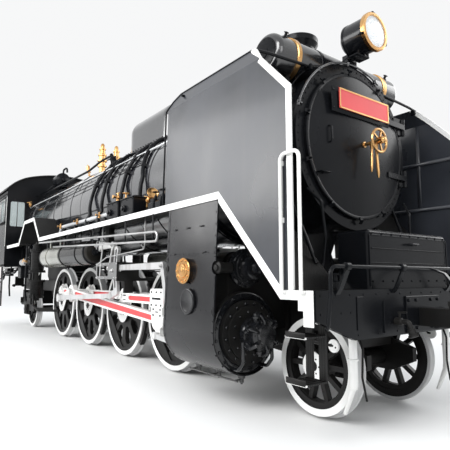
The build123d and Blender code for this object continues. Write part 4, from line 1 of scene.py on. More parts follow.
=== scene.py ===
"""Looks of the steam locomotive. Engine measures are in millimetres: x forwards from the first coupled
axle, y to the engine's left, z above the rail head; place() turns them into metres in the shared frame."""
import bpy
import bmesh
import numpy as np
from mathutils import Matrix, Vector


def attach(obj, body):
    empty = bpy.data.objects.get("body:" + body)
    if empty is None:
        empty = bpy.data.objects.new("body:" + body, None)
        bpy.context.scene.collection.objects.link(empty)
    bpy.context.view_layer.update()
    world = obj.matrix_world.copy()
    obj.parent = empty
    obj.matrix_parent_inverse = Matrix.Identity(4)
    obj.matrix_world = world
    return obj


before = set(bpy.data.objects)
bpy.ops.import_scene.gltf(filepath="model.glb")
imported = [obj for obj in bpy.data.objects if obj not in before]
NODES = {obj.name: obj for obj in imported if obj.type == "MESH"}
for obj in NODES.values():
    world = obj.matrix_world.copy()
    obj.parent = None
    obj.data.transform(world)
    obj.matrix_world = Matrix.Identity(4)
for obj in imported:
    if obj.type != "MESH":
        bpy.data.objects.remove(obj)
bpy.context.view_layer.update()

# Engine measures that the source also names
DATUM_X, FLANGE_H = 2590.0, 28.0
BOILER_Z, SMOKEBOX_R, SMOKEBOX_FRONT_X = 2525.0, 835.0, 2560.0
BOARD_Y, DECK_Z, BEAM_X = 1350.0, 1117.0, 3205.0
DRIVER_R, DRIVER_PITCH, THROW = 700.0, 1550.0, 330.0
LEADING_X, TRAILING_X, SMALL_R = 2520.0, -7050.0, 430.0
CYL_Y, CYL_Z, CYL_FRONT_X, CHEST_Z = 1000.0, 700.0, 2010.0, 1300.0
RIGHT, LEFT = -1.0, 1.0

# Further places on the engine that more than one fitting uses
BOARD_TOP_Z, BOARD_UNDER_Z = 1994.0, 1974.0
LAMP_Z, HEATER_X, HEATER_Z = 3641.0, 2270.0, 3360.0
PUMP_X, PUMP_Y, RESERVOIR_Y, RESERVOIR_Z = -4750.0, 1150.0, 1160.0, 1600.0
BACKHEAD_X, CAB_WINDOW_XS, CAB_WINDOW_Z = -7232.0, (-7300.0, -7860.0), 2890.0
JACKET_R, JACKET_SIDE_Z, JACKET_SIDE_Y, JACKET_LEAN = 390.3, 717.0, 1389.9, 0.04366
DEFLECTOR_FOLD_Z, DEFLECTOR_TOP_Z, DEFLECTOR_LEAN = 3040.0, 3219.0, 90.0
TYRE_FACE_Y, WEB_FACE_Y, HUB_FACE_Y = 619.2, 641.0, 643.5
AHEAD, REARWARD, OUTWARD, ACROSS, UPWARD = (1, 0, 0), (-1, 0, 0), (0, -1, 0), (0, 1, 0), (0, 0, 1)


def place(points):
    """Engine millimetres to metres of the shared frame."""
    return (np.asarray(points, float).reshape(-1, 3) + [DATUM_X, 0.0, FLANGE_H]) / 1000.0


# Meshes from arrays


def unit(v):
    """Vectors divided by their own length."""
    return v / np.maximum(np.linalg.norm(v, axis=-1, keepdims=True), 1e-9)


def grid_quads(rows, cols, wrap_rows, wrap_cols):
    """Quads of a grid of points: each point with its neighbours to the right and below."""
    r, c = np.meshgrid(np.arange(rows - (not wrap_rows)), np.arange(cols - (not wrap_cols)), indexing="ij")
    r1, c1 = (r + 1) % rows, (c + 1) % cols
    return np.stack([r * cols + c, r * cols + c1, r1 * cols + c1, r1 * cols + c], axis=-1).reshape(-1, 4)


def frames(path, ref, closed=False):
    """Two vectors across a path at each point: v is ref made square to the path, u is square to both."""
    ahead = np.roll(path, -1, axis=0) if closed else np.vstack([path[1:], path[-1:]])
    behind = np.roll(path, 1, axis=0) if closed else np.vstack([path[:1], path[:-1]])
    t = unit(ahead - behind)
    v = unit(np.asarray(ref, float) - (t @ np.asarray(ref, float))[:, None] * t)
    return np.cross(v, t), v


def tube(path, r, sides=10, ref=(0.31, 0.52, 0.79), rv=None, closed=False):
    """Surface at (r cos a, rv sin a) across each point of a path; ends are closed by flat caps."""
    path = np.asarray(path, float)
    u, v = frames(path, ref, closed)
    a = np.arange(sides) * 2 * np.pi / sides
    ru = np.broadcast_to(np.asarray(r, float), len(path))[:, None, None]
    rw = ru if rv is None else np.broadcast_to(np.asarray(rv, float), len(path))[:, None, None]
    wide, high = ru * np.cos(a)[None, :, None] * u[:, None], rw * np.sin(a)[None, :, None] * v[:, None]
    points = path[:, None] + wide + high
    faces = grid_quads(len(path), sides, closed, True).tolist()
    if not closed:
        faces += [list(range(sides)), list(range((len(path) - 1) * sides, len(path) * sides))]
    return points.reshape(-1, 3), faces


def turned(profile, origin, axis, sides=28):
    """Surface of revolution: profile rows are (radius, distance along the axis); the ends are capped."""
    profile = np.asarray(profile, float)
    axis = unit(np.asarray(axis, float))
    ref = np.array([0.0, 0.0, 1.0]) if abs(axis[2]) < 0.9 else np.array([1.0, 0.0, 0.0])
    u = unit(np.cross(axis, ref))
    v = np.cross(axis, u)
    a = np.arange(sides) * 2 * np.pi / sides
    ring = np.cos(a)[:, None] * u + np.sin(a)[:, None] * v
    along, out = profile[:, 1][:, None, None] * axis, profile[:, 0][:, None, None] * ring[None]
    points = np.asarray(origin, float) + along + out
    faces = grid_quads(len(profile), sides, False, True).tolist()
    faces += [list(range(sides)), list(range((len(profile) - 1) * sides, len(profile) * sides))]
    return points.reshape(-1, 3), faces


def bent(path, radius, steps=7):
    """Straight runs whose corners are arcs, left and met at the arc's tangent points."""
    path = [np.asarray(p, float) for p in path]
    out = [path[0][None]]
    s = np.linspace(0.0, 1.0, steps)[:, None]
    for before, corner, after in zip(path, path[1:], path[2:]):
        a, b = unit(before - corner), unit(after - corner)
        half = np.arccos(np.clip(a @ b, -1.0, 1.0)) / 2
        reach = 0.49 * min(np.linalg.norm(before - corner), np.linalg.norm(after - corner))
        cut = min(radius / np.tan(half), reach)
        r = cut * np.tan(half)
        centre = corner + unit(a + b) * r / np.sin(half)
        start, end = corner + a * cut - centre, corner + b * cut - centre
        turn = np.arccos(np.clip(unit(start) @ unit(end), -1.0, 1.0))
        out.append(centre + (np.sin((1 - s) * turn) * start + np.sin(s * turn) * end) / np.sin(turn))
    out.append(path[-1][None])
    return np.vstack(out)


def boxes(rows, bevel=3.0):
    """Chamfered boxes; rows are centre and size. Each corner is three points, one on each face."""
    rows = np.asarray(rows, float).reshape(-1, 6)
    sign = np.array([[x, y, z] for x in (-1, 1) for y in (-1, 1) for z in (-1, 1)], float)
    half = rows[:, None, None, 3:] / 2
    cut = np.minimum(bevel, half.min(axis=-1, keepdims=True) * 0.45) * (1 - np.eye(3))[None, None]
    points = rows[:, None, None, :3] + sign[None, :, None] * (half - cut)
    n = lambda corner, face: corner * 3 + face
    faces = []
    index = lambda x, y, z: (x * 2 + y) * 2 + z
    for f in range(3):
        g, h = (f + 1) % 3, (f + 2) % 3
        for s in (0, 1):
            ring = []
            for a, b in ((0, 0), (1, 0), (1, 1), (0, 1)):
                c = [0, 0, 0]
                c[f], c[g], c[h] = s, a, b
                ring.append(n(index(*c), f))
            faces.append(ring)
        for a in (0, 1):
            for b in (0, 1):
                c0, c1 = [0, 0, 0], [0, 0, 0]
                c0[g], c0[h], c1[g], c1[h], c1[f] = a, b, a, b, 1
                faces.append([n(index(*c0), g), n(index(*c1), g), n(index(*c1), h), n(index(*c0), h)])
    faces += [[n(c, 0), n(c, 1), n(c, 2)] for c in range(8)]
    return points.reshape(-1, 3), [[24 * i + v for v in f] for i in range(len(rows)) for f in faces]


def heads(points, normals, r, h, sides=6):
    """Bolt heads: a prism with a chamfered top at each point, standing along its normal."""
    points = np.asarray(points, float).reshape(-1, 3)
    w = unit(np.broadcast_to(np.asarray(normals, float), points.shape))
    ref = np.where(np.abs(w[:, 2:]) < 0.9, [[0.0, 0.0, 1.0]], [[1.0, 0.0, 0.0]])
    u = unit(np.cross(w, ref))
    v = np.cross(w, u)
    a = np.arange(sides) * 2 * np.pi / sides
    prof = np.array([[1.0, -0.3], [1.0, 0.75], [0.82, 1.0]])
    radial = np.cos(a)[None, :, None] * u[:, None] + np.sin(a)[None, :, None] * v[:, None]
    out, rise = (prof * [r, h]).T[:, None, :, None, None]
    grid = points[:, None, None] + out * radial[:, None] + rise * w[:, None, None]
    base = grid_quads(3, sides, False, True).tolist() + [
        list(range(2 * sides, 3 * sides)),
        list(range(sides))
    ]
    return grid.reshape(-1, 3), [[3 * sides * i + k for k in f] for i in range(len(points)) for f in base]


def flip(chunk):
    """The same mesh on the other side of the engine: y becomes -y."""
    return chunk[0] * [1.0, -1.0, 1.0], chunk[1]


def both(chunks):
    """The chunks of the right side and their images on the left."""
    return chunks + [flip(c) for c in chunks]


def piece(name, chunks, material, body="root", smooth=35.0):
    """One object from chunks of points and faces, shaded smooth below an angle."""
    points, faces, at = [], [], 0
    for p, f in chunks:
        points.append(p)
        faces += [[at + i for i in face] for face in f]
        at += len(p)
    mesh = bpy.data.meshes.new(name)
    mesh.from_pydata(place(np.vstack(points)).tolist(), [], faces)
    bm = bmesh.new()
    bm.from_mesh(mesh)
    bmesh.ops.recalc_face_normals(bm, faces=bm.faces)
    for edge in bm.edges:
        edge.smooth = bool(len(edge.link_faces) == 2 and edge.calc_face_angle(4.0) < np.radians(smooth))
    bm.to_mesh(mesh)
    bm.free()
    mesh.polygons.foreach_set("use_smooth", [True] * len(mesh.polygons))
    mesh.materials.append(material)
    obj = bpy.data.objects.new(name, mesh)
    bpy.context.scene.collection.objects.link(obj)
    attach(obj, body)
    return obj


# Materials


def node(tree, kind, **values):
    """New shader node; each value goes to the input of that name, with _ for a space."""
    made = tree.nodes.new("ShaderNode" + kind)
    for key, value in values.items():
        made.inputs[key.replace("_", " ")].default_value = value
    return made


def wear_group():
    """Wear values on object coordinates: broad clouds, fine specks, runs down the sides, a bump height."""
    g = bpy.data.node_groups.new("paint_wear", "ShaderNodeTree")
    for name in ("Cloud", "Fine", "Streak", "Height"):
        g.interface.new_socket(name, in_out="OUTPUT", socket_type="NodeSocketFloat")
    out = g.nodes.new("NodeGroupOutput")
    coord, stretch = node(g, "TexCoord"), node(g, "Mapping", Scale=(7.0, 7.0, 0.5))
    g.links.new(coord.outputs["Object"], stretch.inputs["Vector"])
    found = {}
    for name, scale, detail in (
        ("Cloud", 1.3, 5.0), ("Fine", 55.0, 3.0), ("Streak", 1.0, 4.0), ("Wave", 2.2, 2.0)
    ):
        n = node(g, "TexNoise", Scale=scale, Detail=detail)
        g.links.new(stretch.outputs[0] if name == "Streak" else coord.outputs["Object"], n.inputs["Vector"])
        found[name] = n.outputs["Fac"]
        if name != "Wave":
            g.links.new(found[name], out.inputs[name])
    mul = node(g, "Math")
    mul.operation = "MULTIPLY_ADD"
    mul.inputs[1].default_value = 0.06
    g.links.new(found["Fine"], mul.inputs[0])
    g.links.new(found["Wave"], mul.inputs[2])
    g.links.new(mul.outputs[0], out.inputs["Height"])
    return g


WEAR = wear_group()


class Paint:
    """A Principled material whose colour and roughness vary with the shared wear values."""

    def __init__(
        self, name, dark, light, rough=(0.3, 0.5), metal=0.0, coat=0.0, spec=0.5, bump=0.02,
        bump_distance=0.01
    ):
        self.mat = bpy.data.materials.new(name)
        self.mat.use_nodes = True
        self.t = self.mat.node_tree
        self.bsdf = self.t.nodes["Principled BSDF"]
        self.wear = node(self.t, "Group")
        self.wear.node_tree = WEAR
        self.bsdf.inputs["Metallic"].default_value = metal
        self.bsdf.inputs["Coat Weight"].default_value = coat
        self.bsdf.inputs["Coat Roughness"].default_value = 0.12
        self.bsdf.inputs["Specular IOR Level"].default_value = spec
        self.mat.diffuse_color = (*light, 1.0)
        self.colour = self.blend(self.ramp(self.wear.outputs["Cloud"], 0.3, 0.7), dark, light)
        self.rough = self.ramp(self.wear.outputs["Cloud"], 0.3, 0.7, *rough)
        self.height = self.wear.outputs["Height"]
        self.bump, self.bump_distance = bump, bump_distance
        self._coords = None

    def put(self, socket, value):
        """Set a socket to a number or a colour, or link another socket to it."""
        if isinstance(value, (int, float)):
            socket.default_value = value
        elif isinstance(value, tuple):
            socket.default_value = (*value, 1.0) if len(value) == 3 else value
        else:
            self.t.links.new(value, socket)

    def math(self, op, a, b=0.0, c=0.0):
        """Result of one math operation on numbers or sockets."""
        n = node(self.t, "Math")
        n.operation = op
        for socket, value in zip(n.inputs, (a, b, c)):
            self.put(socket, value)
        return n.outputs[0]

    def above(self, a, b):
        """1 where a is greater than b, else 0."""
        return self.math("GREATER_THAN", a, b)

    def below(self, a, b):
        """1 where a is less than b, else 0."""
        return self.math("LESS_THAN", a, b)

    def times(self, a, b):
        return self.math("MULTIPLY", a, b)

    def ramp(self, value, low, high, to_low=0.0, to_high=1.0):
        """Linear step: low becomes to_low and high becomes to_high, clamped outside."""
        n = node(self.t, "MapRange")
        for key, v in zip(
            ("Value", "From Min", "From Max", "To Min", "To Max"), (value, low, high, to_low, to_high)
        ):
            self.put(n.inputs[key], v)
        return n.outputs[0]

    def blend(self, fac, a, b):
        """Colour a where the factor is 0 and b where it is 1."""
        n = node(self.t, "Mix")
        n.data_type = "RGBA"
        for key, v in ((0, fac), (6, a), (7, b)):
            self.put(n.inputs[key], v)
        return n.outputs[2]

    def xyz(self):
        """Engine millimetres at the shaded point, from object coordinates."""
        if self._coords is None:
            coord = node(self.t, "TexCoord")
            parts = node(self.t, "SeparateXYZ")
            self.t.links.new(coord.outputs["Object"], parts.inputs[0])
            self._coords = [
                self.math("MULTIPLY_ADD", parts.outputs[i], 1000.0, -off)
                for i, off in enumerate((DATUM_X, 0.0, FLANGE_H))
            ]
        return self._coords

    def between(self, value, low, high):
        """1 where the value lies between two bounds, else 0."""
        return self.times(self.above(value, low), self.below(value, high))

    def side(self):
        """Distance from the middle plane of the engine."""
        return self.math("ABSOLUTE", self.xyz()[1])

    def radius(self, a, b, a0, b0):
        """Distance of (a, b) from (a0, b0): root of the sum of the squared differences."""
        da, db = self.math("SUBTRACT", a, a0), self.math("SUBTRACT", b, b0)
        return self.math("SQRT", self.math("ADD", self.times(da, da), self.times(db, db)))

    def over(self, mask, dark, light, rough=None, metal=None):
        """Another finish where the mask is 1."""
        cloud = self.ramp(self.wear.outputs["Cloud"], 0.3, 0.7)
        self.colour = self.blend(mask, self.colour, self.blend(cloud, dark, light))
        if rough is not None:
            self.rough = self.ramp(mask, 0.0, 1.0, self.rough, rough)
        if metal is not None:
            socket = self.bsdf.inputs["Metallic"]
            self.put(socket, self.ramp(mask, 0.0, 1.0, socket.default_value, metal))
        return self

    def grime(self, amount=0.35, tint=(0.05, 0.042, 0.033)):
        """Thin dust and runs of dirt."""
        streak = self.ramp(self.wear.outputs["Streak"], 0.52, 0.75, 0.0, amount)
        self.colour = self.blend(streak, self.colour, tint)
        return self

    def done(self):
        """Link colour, roughness and bump, and return the material."""
        self.put(self.bsdf.inputs["Base Color"], self.colour)
        self.put(self.bsdf.inputs["Roughness"], self.rough)
        bump = node(self.t, "Bump")
        bump.inputs["Strength"].default_value = self.bump
        bump.inputs["Distance"].default_value = self.bump_distance
        self.put(bump.inputs["Height"], self.height)
        self.t.links.new(bump.outputs[0], self.bsdf.inputs["Normal"])
        return self.mat


BLACK_D, BLACK_L = (0.0035, 0.0040, 0.0050), (0.0085, 0.0090, 0.0105)
SATIN_D, SATIN_L = (0.0055, 0.0055, 0.0055), (0.0145, 0.0140, 0.0135)
WHITE_D, WHITE_L = (0.62, 0.62, 0.60), (0.83, 0.83, 0.82)
BRASS_D, BRASS_L = (0.50, 0.27, 0.10), (0.74, 0.46, 0.20)
STEEL_D, STEEL_L = (0.34, 0.34, 0.34), (0.60, 0.60, 0.60)
RED_D, RED_L = (0.52, 0.025, 0.030), (0.70, 0.055, 0.060)

m_black = Paint(
    "black_enamel", BLACK_D, BLACK_L, (0.16, 0.30), spec=0.13, bump=0.10, bump_distance=0.02
).grime(0.05, (0.02, 0.018, 0.015)).done()
m_gloss = Paint(
    "fitting_enamel", BLACK_D, BLACK_L, (0.14, 0.26), coat=0.2, spec=0.4, bump=0.05
).grime(0.08).done()
m_boiler = Paint(
    "boiler_enamel", (0.006, 0.007, 0.009), (0.014, 0.015, 0.019), (0.10, 0.20), coat=1.0, spec=1.0,
    bump=0.12, bump_distance=0.02
).grime(0.08).done()
m_jacket = Paint(
    "jacket_enamel", (0.005, 0.005, 0.006), (0.012, 0.012, 0.014), (0.18, 0.32), coat=0.10, spec=0.26,
    bump=0.14, bump_distance=0.02
).grime(0.10, (0.03, 0.027, 0.022)).done()
# Deflector black: black enamel whose base is lighter and bluer than the other blacks, a painted sky sheen
m_deflector_painted_sheen = Paint(
    "deflector_enamel_painted_sheen", (0.012, 0.0135, 0.017), (0.032, 0.035, 0.043), (0.24, 0.38), coat=0.2, spec=0.42,
    bump=0.16, bump_distance=0.025
).grime(0.2, (0.05, 0.051, 0.053)).done()
m_satin = Paint(
    "running_black", SATIN_D, SATIN_L, (0.30, 0.50), spec=0.14, bump=0.08
).grime(0.2, (0.022, 0.019, 0.015)).done()
m_roof = Paint(
    "roof_black", (0.010, 0.010, 0.011), (0.026, 0.026, 0.027), (0.45, 0.65), spec=0.35, bump=0.08
).grime(0.4, (0.06, 0.055, 0.048)).done()
m_white = Paint(
    "white_paint", WHITE_D, WHITE_L, (0.30, 0.45), bump=0.03
).grime(0.25, (0.42, 0.40, 0.36)).done()
m_brass = Paint("polished_brass", BRASS_D, BRASS_L, (0.20, 0.38), metal=1.0, bump=0.03).done()
m_steel = Paint(
    "bright_steel", STEEL_D, STEEL_L, (0.25, 0.42), metal=1.0, bump=0.05
).grime(0.35, (0.10, 0.08, 0.06)).done()
m_silver = Paint(
    "silver_paint", (0.46, 0.47, 0.48), (0.66, 0.67, 0.68), (0.28, 0.44), metal=0.25, bump=0.04
).grime(0.3, (0.20, 0.19, 0.17)).done()
m_dark_steel = Paint(
    "oiled_steel", (0.06, 0.06, 0.06), (0.16, 0.16, 0.16), (0.3, 0.5), metal=0.9, bump=0.05
).grime(0.4).done()


def wheel_paint(name, first_x, pitch, tread_r, hub_face_white):
    """Satin black with white on the tyre's outer face, and on the crank web or hub; the wheel's centre is
    found from the pitch, as the distance to the nearest axle."""
    p = Paint(name, SATIN_D, SATIN_L, (0.28, 0.5), spec=0.16, bump=0.08).grime(0.2, (0.022, 0.019, 0.015))
    x, y, z = p.xyz()
    if pitch:
        shifted = p.math("ADD", p.math("SUBTRACT", x, first_x), pitch / 2 + 10 * pitch)
        x = p.math("SUBTRACT", p.math("MODULO", shifted, pitch), pitch / 2)
        first_x = 0.0
    r = p.radius(x, z, first_x, tread_r)
    outside = p.above(p.side(), TYRE_FACE_Y)
    tyre = p.between(r, tread_r - 63.0, tread_r + 2.0)
    worn = p.above(r, tread_r - 8.0)
    tread = p.times(worn, p.below(p.side(), TYRE_FACE_Y + 0.1))
    p.over(tread, STEEL_D, STEEL_L, 0.35)
    p.over(p.times(tyre, outside), WHITE_D, WHITE_L, 0.4)
    if hub_face_white:
        web = p.between(p.side(), WEB_FACE_Y, WEB_FACE_Y + 2.0)
        p.over(p.times(web, p.below(r, 600.0)), WHITE_D, WHITE_L, 0.4)
    p.over(p.above(p.side(), HUB_FACE_Y), STEEL_D, STEEL_L, 0.35, 0.8)
    return p.done()


def rod_paint(name, floor_y):
    """White enamel, with red on the floor of the flutes."""
    p = Paint(name, WHITE_D, WHITE_L, (0.28, 0.42), bump=0.03).grime(0.3, (0.40, 0.38, 0.34))
    p.over(p.between(p.side(), floor_y - 0.8, floor_y + 0.8), RED_D, RED_L, 0.35)
    return p.done()


def board_paint():
    """Black boards and deck with a fine raised diamond pattern on top, and a white outer edge."""
    p = Paint(
        "board_black", SATIN_D, SATIN_L, (0.26, 0.44), spec=0.16, bump=0.5, bump_distance=0.004
    ).grime(0.2, (0.022, 0.019, 0.015))
    x, y, z = p.xyz()
    a = p.math("SINE", p.times(p.math("ADD", x, y), 0.14))
    b = p.math("SINE", p.times(p.math("SUBTRACT", x, y), 0.14))
    diamonds = p.ramp(p.math("ABSOLUTE", p.times(a, b)), 0.2, 0.55)
    flat = p.below(p.side(), BOARD_Y - 1.0)
    p.height = p.times(diamonds, flat)
    p.over(p.math("SUBTRACT", 1.0, flat), WHITE_D, WHITE_L, 0.38)
    return p.done()


def heater_paint():
    """Gloss black drum, with brass on the raised band round each end."""
    p = Paint(
        "heater_enamel", BLACK_D, BLACK_L, (0.16, 0.28), coat=0.5, spec=0.85, bump=0.08, bump_distance=0.02
    ).grime(0.08)
    x, y, z = p.xyz()
    drum = p.between(p.side(), 658.0, 708.0)
    band = p.times(drum, p.above(p.radius(x, z, HEATER_X, HEATER_Z), 207.0))
    return p.over(band, BRASS_D, BRASS_L, 0.3, 1.0).done()


def lamp_paint():
    """Black body with a brass rim and a bright bowl round the lens."""
    p = Paint("lamp_enamel", BLACK_D, BLACK_L, (0.16, 0.28), coat=0.15, spec=0.35, bump=0.05)
    x, y, z = p.xyz()
    r = p.radius(y, z, 0.0, LAMP_Z)
    rim = p.times(p.above(x, 2812.0), p.above(r, 158.0))
    p.over(rim, BRASS_D, BRASS_L, 0.25, 1.0)
    bowl = p.times(p.above(x, 2817.0), p.below(r, 158.0))
    return p.over(bowl, (0.7, 0.7, 0.7), (0.85, 0.85, 0.85), 0.15, 1.0).done()


def plate_paint(front_x):
    """Red floor inside a raised brass border; black behind."""
    p = Paint("red_plate", RED_D, RED_L, (0.3, 0.42), bump=0.03)
    x, y, z = p.xyz()
    p.over(p.above(x, front_x - 1.5), BRASS_D, BRASS_L, 0.3, 1.0)
    return p.over(p.below(x, front_x - 13.0), BLACK_D, BLACK_L, 0.4).done()


def reservoir_paint():
    """Black front half and bright rear half."""
    p = Paint(
        "reservoir_enamel", BLACK_D, (0.020, 0.018, 0.015), (0.14, 0.26), coat=0.05, spec=0.25, bump=0.04
    )
    x, y, z = p.xyz()
    return p.over(p.between(x, -3850.0, -2705.0), (0.30, 0.30, 0.27), (0.46, 0.46, 0.42), 0.24, 0.8).done()


def bracket_paint():
    """Satin black, with a lighter grey on the outermost face."""
    p = Paint(
        "bracket_enamel", SATIN_D, SATIN_L, (0.3, 0.5), spec=0.35, bump=0.06
    ).grime(0.25, (0.035, 0.030, 0.024))
    return p.over(p.above(p.side(), 1187.0), (0.10, 0.10, 0.10), (0.20, 0.20, 0.20), 0.35).done()


def gear_paint():
    """Bright steel, with white enamel on the return crank, the lifting arm and the union link."""
    p = Paint(
        "gear_steel", (0.42, 0.42, 0.42), (0.62, 0.62, 0.62), (0.25, 0.42), metal=0.55, bump=0.05
    ).grime(0.45, (0.10, 0.08, 0.06))
    x, y, z = p.xyz()
    white = p.math("MAXIMUM", p.above(z, 1600.0), p.below(p.side(), 1100.0))
    return p.over(white, WHITE_D, WHITE_L, 0.35).done()


def glass():
    """Clear pane whose dust shows as roughness."""
    mat = bpy.data.materials.new("clear_glass")
    mat.use_nodes = True
    t, bsdf = mat.node_tree, mat.node_tree.nodes["Principled BSDF"]
    for key, value in (
        ("Base Color", (0.50, 0.56, 0.56, 1.0)), ("Transmission Weight", 0.85), ("IOR", 1.2)
    ):
        bsdf.inputs[key].default_value = value
    wear = node(t, "Group")
    wear.node_tree = WEAR
    dust = node(t, "MapRange", From_Min=0.4, From_Max=0.7, To_Min=0.04, To_Max=0.2)
    t.links.new(wear.outputs["Cloud"], dust.inputs["Value"])
    t.links.new(dust.outputs[0], bsdf.inputs["Roughness"])
    return mat


m_glass = glass()
m_wood = Paint(
    "oiled_wood", (0.085, 0.045, 0.022), (0.150, 0.085, 0.042), (0.45, 0.65), bump=0.2
).grime(0.4).done()


def lens_paint():
    """Pale ribbed lamp glass: thin upright ribs in the bump, a light core."""
    p = Paint(
        "lamp_glass", (0.62, 0.66, 0.68), (0.80, 0.83, 0.84), (0.06, 0.16), coat=1.0, bump=0.35,
        bump_distance=0.004
    )
    x, y, z = p.xyz()
    ribs = p.math("SINE", p.times(y, 0.42))
    rings = p.math("SINE", p.times(p.radius(y, z, 0.0, LAMP_Z), 0.16))
    p.height = p.math("ADD", ribs, rings)
    shade = p.ramp(p.radius(y, z, 0.0, LAMP_Z), 40.0, 165.0, 0.0, 0.45)
    p.colour = p.blend(shade, p.colour, (0.36, 0.38, 0.40))
    return p.done()


m_lens = lens_paint()
m_driver = wheel_paint("coupled_wheel_paint", 0.0, DRIVER_PITCH, DRIVER_R, True)
m_leading = wheel_paint("leading_wheel_paint", LEADING_X, 0.0, SMALL_R, True)
m_trailing = wheel_paint("trailing_wheel_paint", TRAILING_X, 0.0, SMALL_R, False)
m_side_rod = rod_paint("side_rod_paint", 712.0)
m_main_rod = rod_paint("main_rod_paint", 1028.0)
m_bar = rod_paint("slide_bar_paint", 1051.0)
m_board = board_paint()
m_bracket = bracket_paint()
m_gear = gear_paint()

NODE_PAINT = {
    "front_deck": m_board, "running_board": m_board, "footsteps": m_board,
    "coupled_wheels": m_driver, "leading_wheels": m_leading, "trailing_wheels": m_trailing,
    "side_rod": m_side_rod, "main_rod": m_main_rod, "slide_bars": m_bar, "crosshead": m_white,
    "valve_gear": m_gear, "motion_bracket": m_bracket, "feedwater_heater": heater_paint(),
    "headlamp": lamp_paint(), "number_plate": plate_paint(2703.7), "hand_wheel": m_brass,
    "safety_valves": m_brass, "air_reservoir": reservoir_paint(), "air_compressor": m_satin,
    "feed_pump": m_satin, "deflector": m_deflector_painted_sheen, "cylinder_jacket": m_jacket, "cab_roof": m_roof,
    "boiler": m_boiler, "dome": m_boiler,
    "cab_floor": m_roof, "main_frame": m_satin, "brake_gear": m_satin, "leading_truck": m_satin,
    "trailing_truck": m_satin, "truck_pivots": m_satin, "front_coupler": m_satin, "knuckle": m_satin,
    "drawbar": m_satin, "ash_pan": m_satin, "cylinder_r": m_satin, "cylinder_l": m_satin,
}
for name, obj in NODES.items():
    fits = [key for key in NODE_PAINT if name.startswith(key)]
    paint = NODE_PAINT[max(fits, key=len)] if fits else m_black
    obj.data.materials.clear()
    obj.data.materials.append(paint)


# Engine surfaces that the fittings stand on


def on_boiler(x, angle, r):
    """Point beside the boiler: angle in degrees from the top towards the right side."""
    a = np.radians(angle)
    x, a, r = np.broadcast_arrays(np.asarray(x, float), a, np.asarray(r, float))
    return np.column_stack([x.ravel(), (-r * np.sin(a)).ravel(), (BOILER_Z + r * np.cos(a)).ravel()])


def boiler_normal(points):
    """Unit vectors straight out from the boiler's centre line."""
    return unit(np.asarray(points, float) * [0.0, 1.0, 1.0] - [0.0, 0.0, BOILER_Z])


def jacket_y(z):
    """Outer face of the jacket: the circle about the cylinder, then its tangent leaning inwards."""
    z = np.asarray(z, float)
    curve = CYL_Y + np.sqrt(np.maximum(JACKET_R ** 2 - (z - CYL_Z) ** 2, 0.0))
    return np.where(z > JACKET_SIDE_Z, JACKET_SIDE_Y - JACKET_LEAN * (z - JACKET_SIDE_Z), curve)


def jacket_normal(z):
    """Outward unit vectors of the jacket's right side: square to the circle, then to the tangent."""
    z = np.asarray(z, float)
    curve = (z - CYL_Z) / np.sqrt(np.maximum(JACKET_R ** 2 - (z - CYL_Z) ** 2, 1.0))
    slope = np.where(z > JACKET_SIDE_Z, JACKET_LEAN, curve)
    return unit(np.column_stack([np.zeros(len(z)), -np.ones(len(z)), slope]))


def spread(start, end, count):
    """Points at even steps on a straight line."""
    return np.linspace(np.asarray(start, float), np.asarray(end, float), count)


def ring_points(x, y0, z0, r, count, turn=0.0):
    """Points on a circle across the engine."""
    a = np.radians(turn) + np.arange(count) * 2 * np.pi / count
    return np.column_stack([np.full(count, float(x)), y0 + r * np.cos(a), z0 + r * np.sin(a)])


def side_ring(x0, y, z0, r, count, turn=0.0):
    """Points on a circle in a side view."""
    a = np.radians(turn) + np.arange(count) * 2 * np.pi / count
    return np.column_stack([x0 + r * np.cos(a), np.full(count, float(y)), z0 + r * np.sin(a)])


def top_ring(x0, y0, z, r, count):
    """Points on a level circle."""
    a = np.arange(count) * 2 * np.pi / count
    return np.column_stack([x0 + r * np.cos(a), y0 + r * np.sin(a), np.full(count, float(z))])


def pipe(path, r, bend=80.0, sides=10):
    """Tube of radius r along straight runs joined by arcs."""
    return tube(bent(path, bend), r, sides)


def collar(r, rim, half, flat, at, axis, sides):
    """Ring round a bar: radius r at both ends, rim over the flat middle, lengths from the centre."""
    return turned([(r, -half), (rim, -flat), (rim, flat), (r, half)], at, axis, sides)


def union(at, axis, r):
    """Pipe nut: a turned profile with six sides."""
    return collar(r, 1.5 * r, 0.9 * r, 0.8 * r, at, axis, 6)


def ribbon(path, across, width, thickness):
    """Flat bar along a path: its section is width along `across` and thickness square to it."""
    path = np.asarray(path, float)
    u, v = frames(path, across)
    corners = [(-1, -1), (1, -1), (1, 1), (-1, 1)]
    points = np.stack([path + v * width / 2 * a + u * thickness / 2 * b for a, b in corners], axis=1)
    faces = grid_quads(len(path), 4, False, True).tolist()
    return points.reshape(-1, 3), faces + [[0, 1, 2, 3], [4 * (len(path) - 1) + i for i in range(4)]]


def tap(at, up, out, r=14.0):
    """Brass cock: turned body along `up`, a side spout along `out` and a cross handle on top."""
    at, up, out = np.asarray(at, float), unit(np.asarray(up, float)), unit(np.asarray(out, float))
    profile = [
        (0.8, 0), (1.3, 0.3), (1.3, 1.4), (0.9, 1.8), (1.6, 2.6), (1.6, 3.8), (0.7, 4.6), (0.7, 6.4),
        (0.2, 6.5)
    ]
    top, reach = at + up * 6.2 * r, np.cross(up, out) * 3 * r
    return [
        turned(np.array(profile) * r, at, up, 14),
        turned(
            np.array([(0.9, 0.0), (0.9, 3.0), (1.3, 3.1), (1.3, 4.2), (0.5, 4.3)]) * r, at + up * 3.2 * r,
            out, 12
        ),
        tube([top - reach, top + reach], 0.5 * r, 8),
    ]


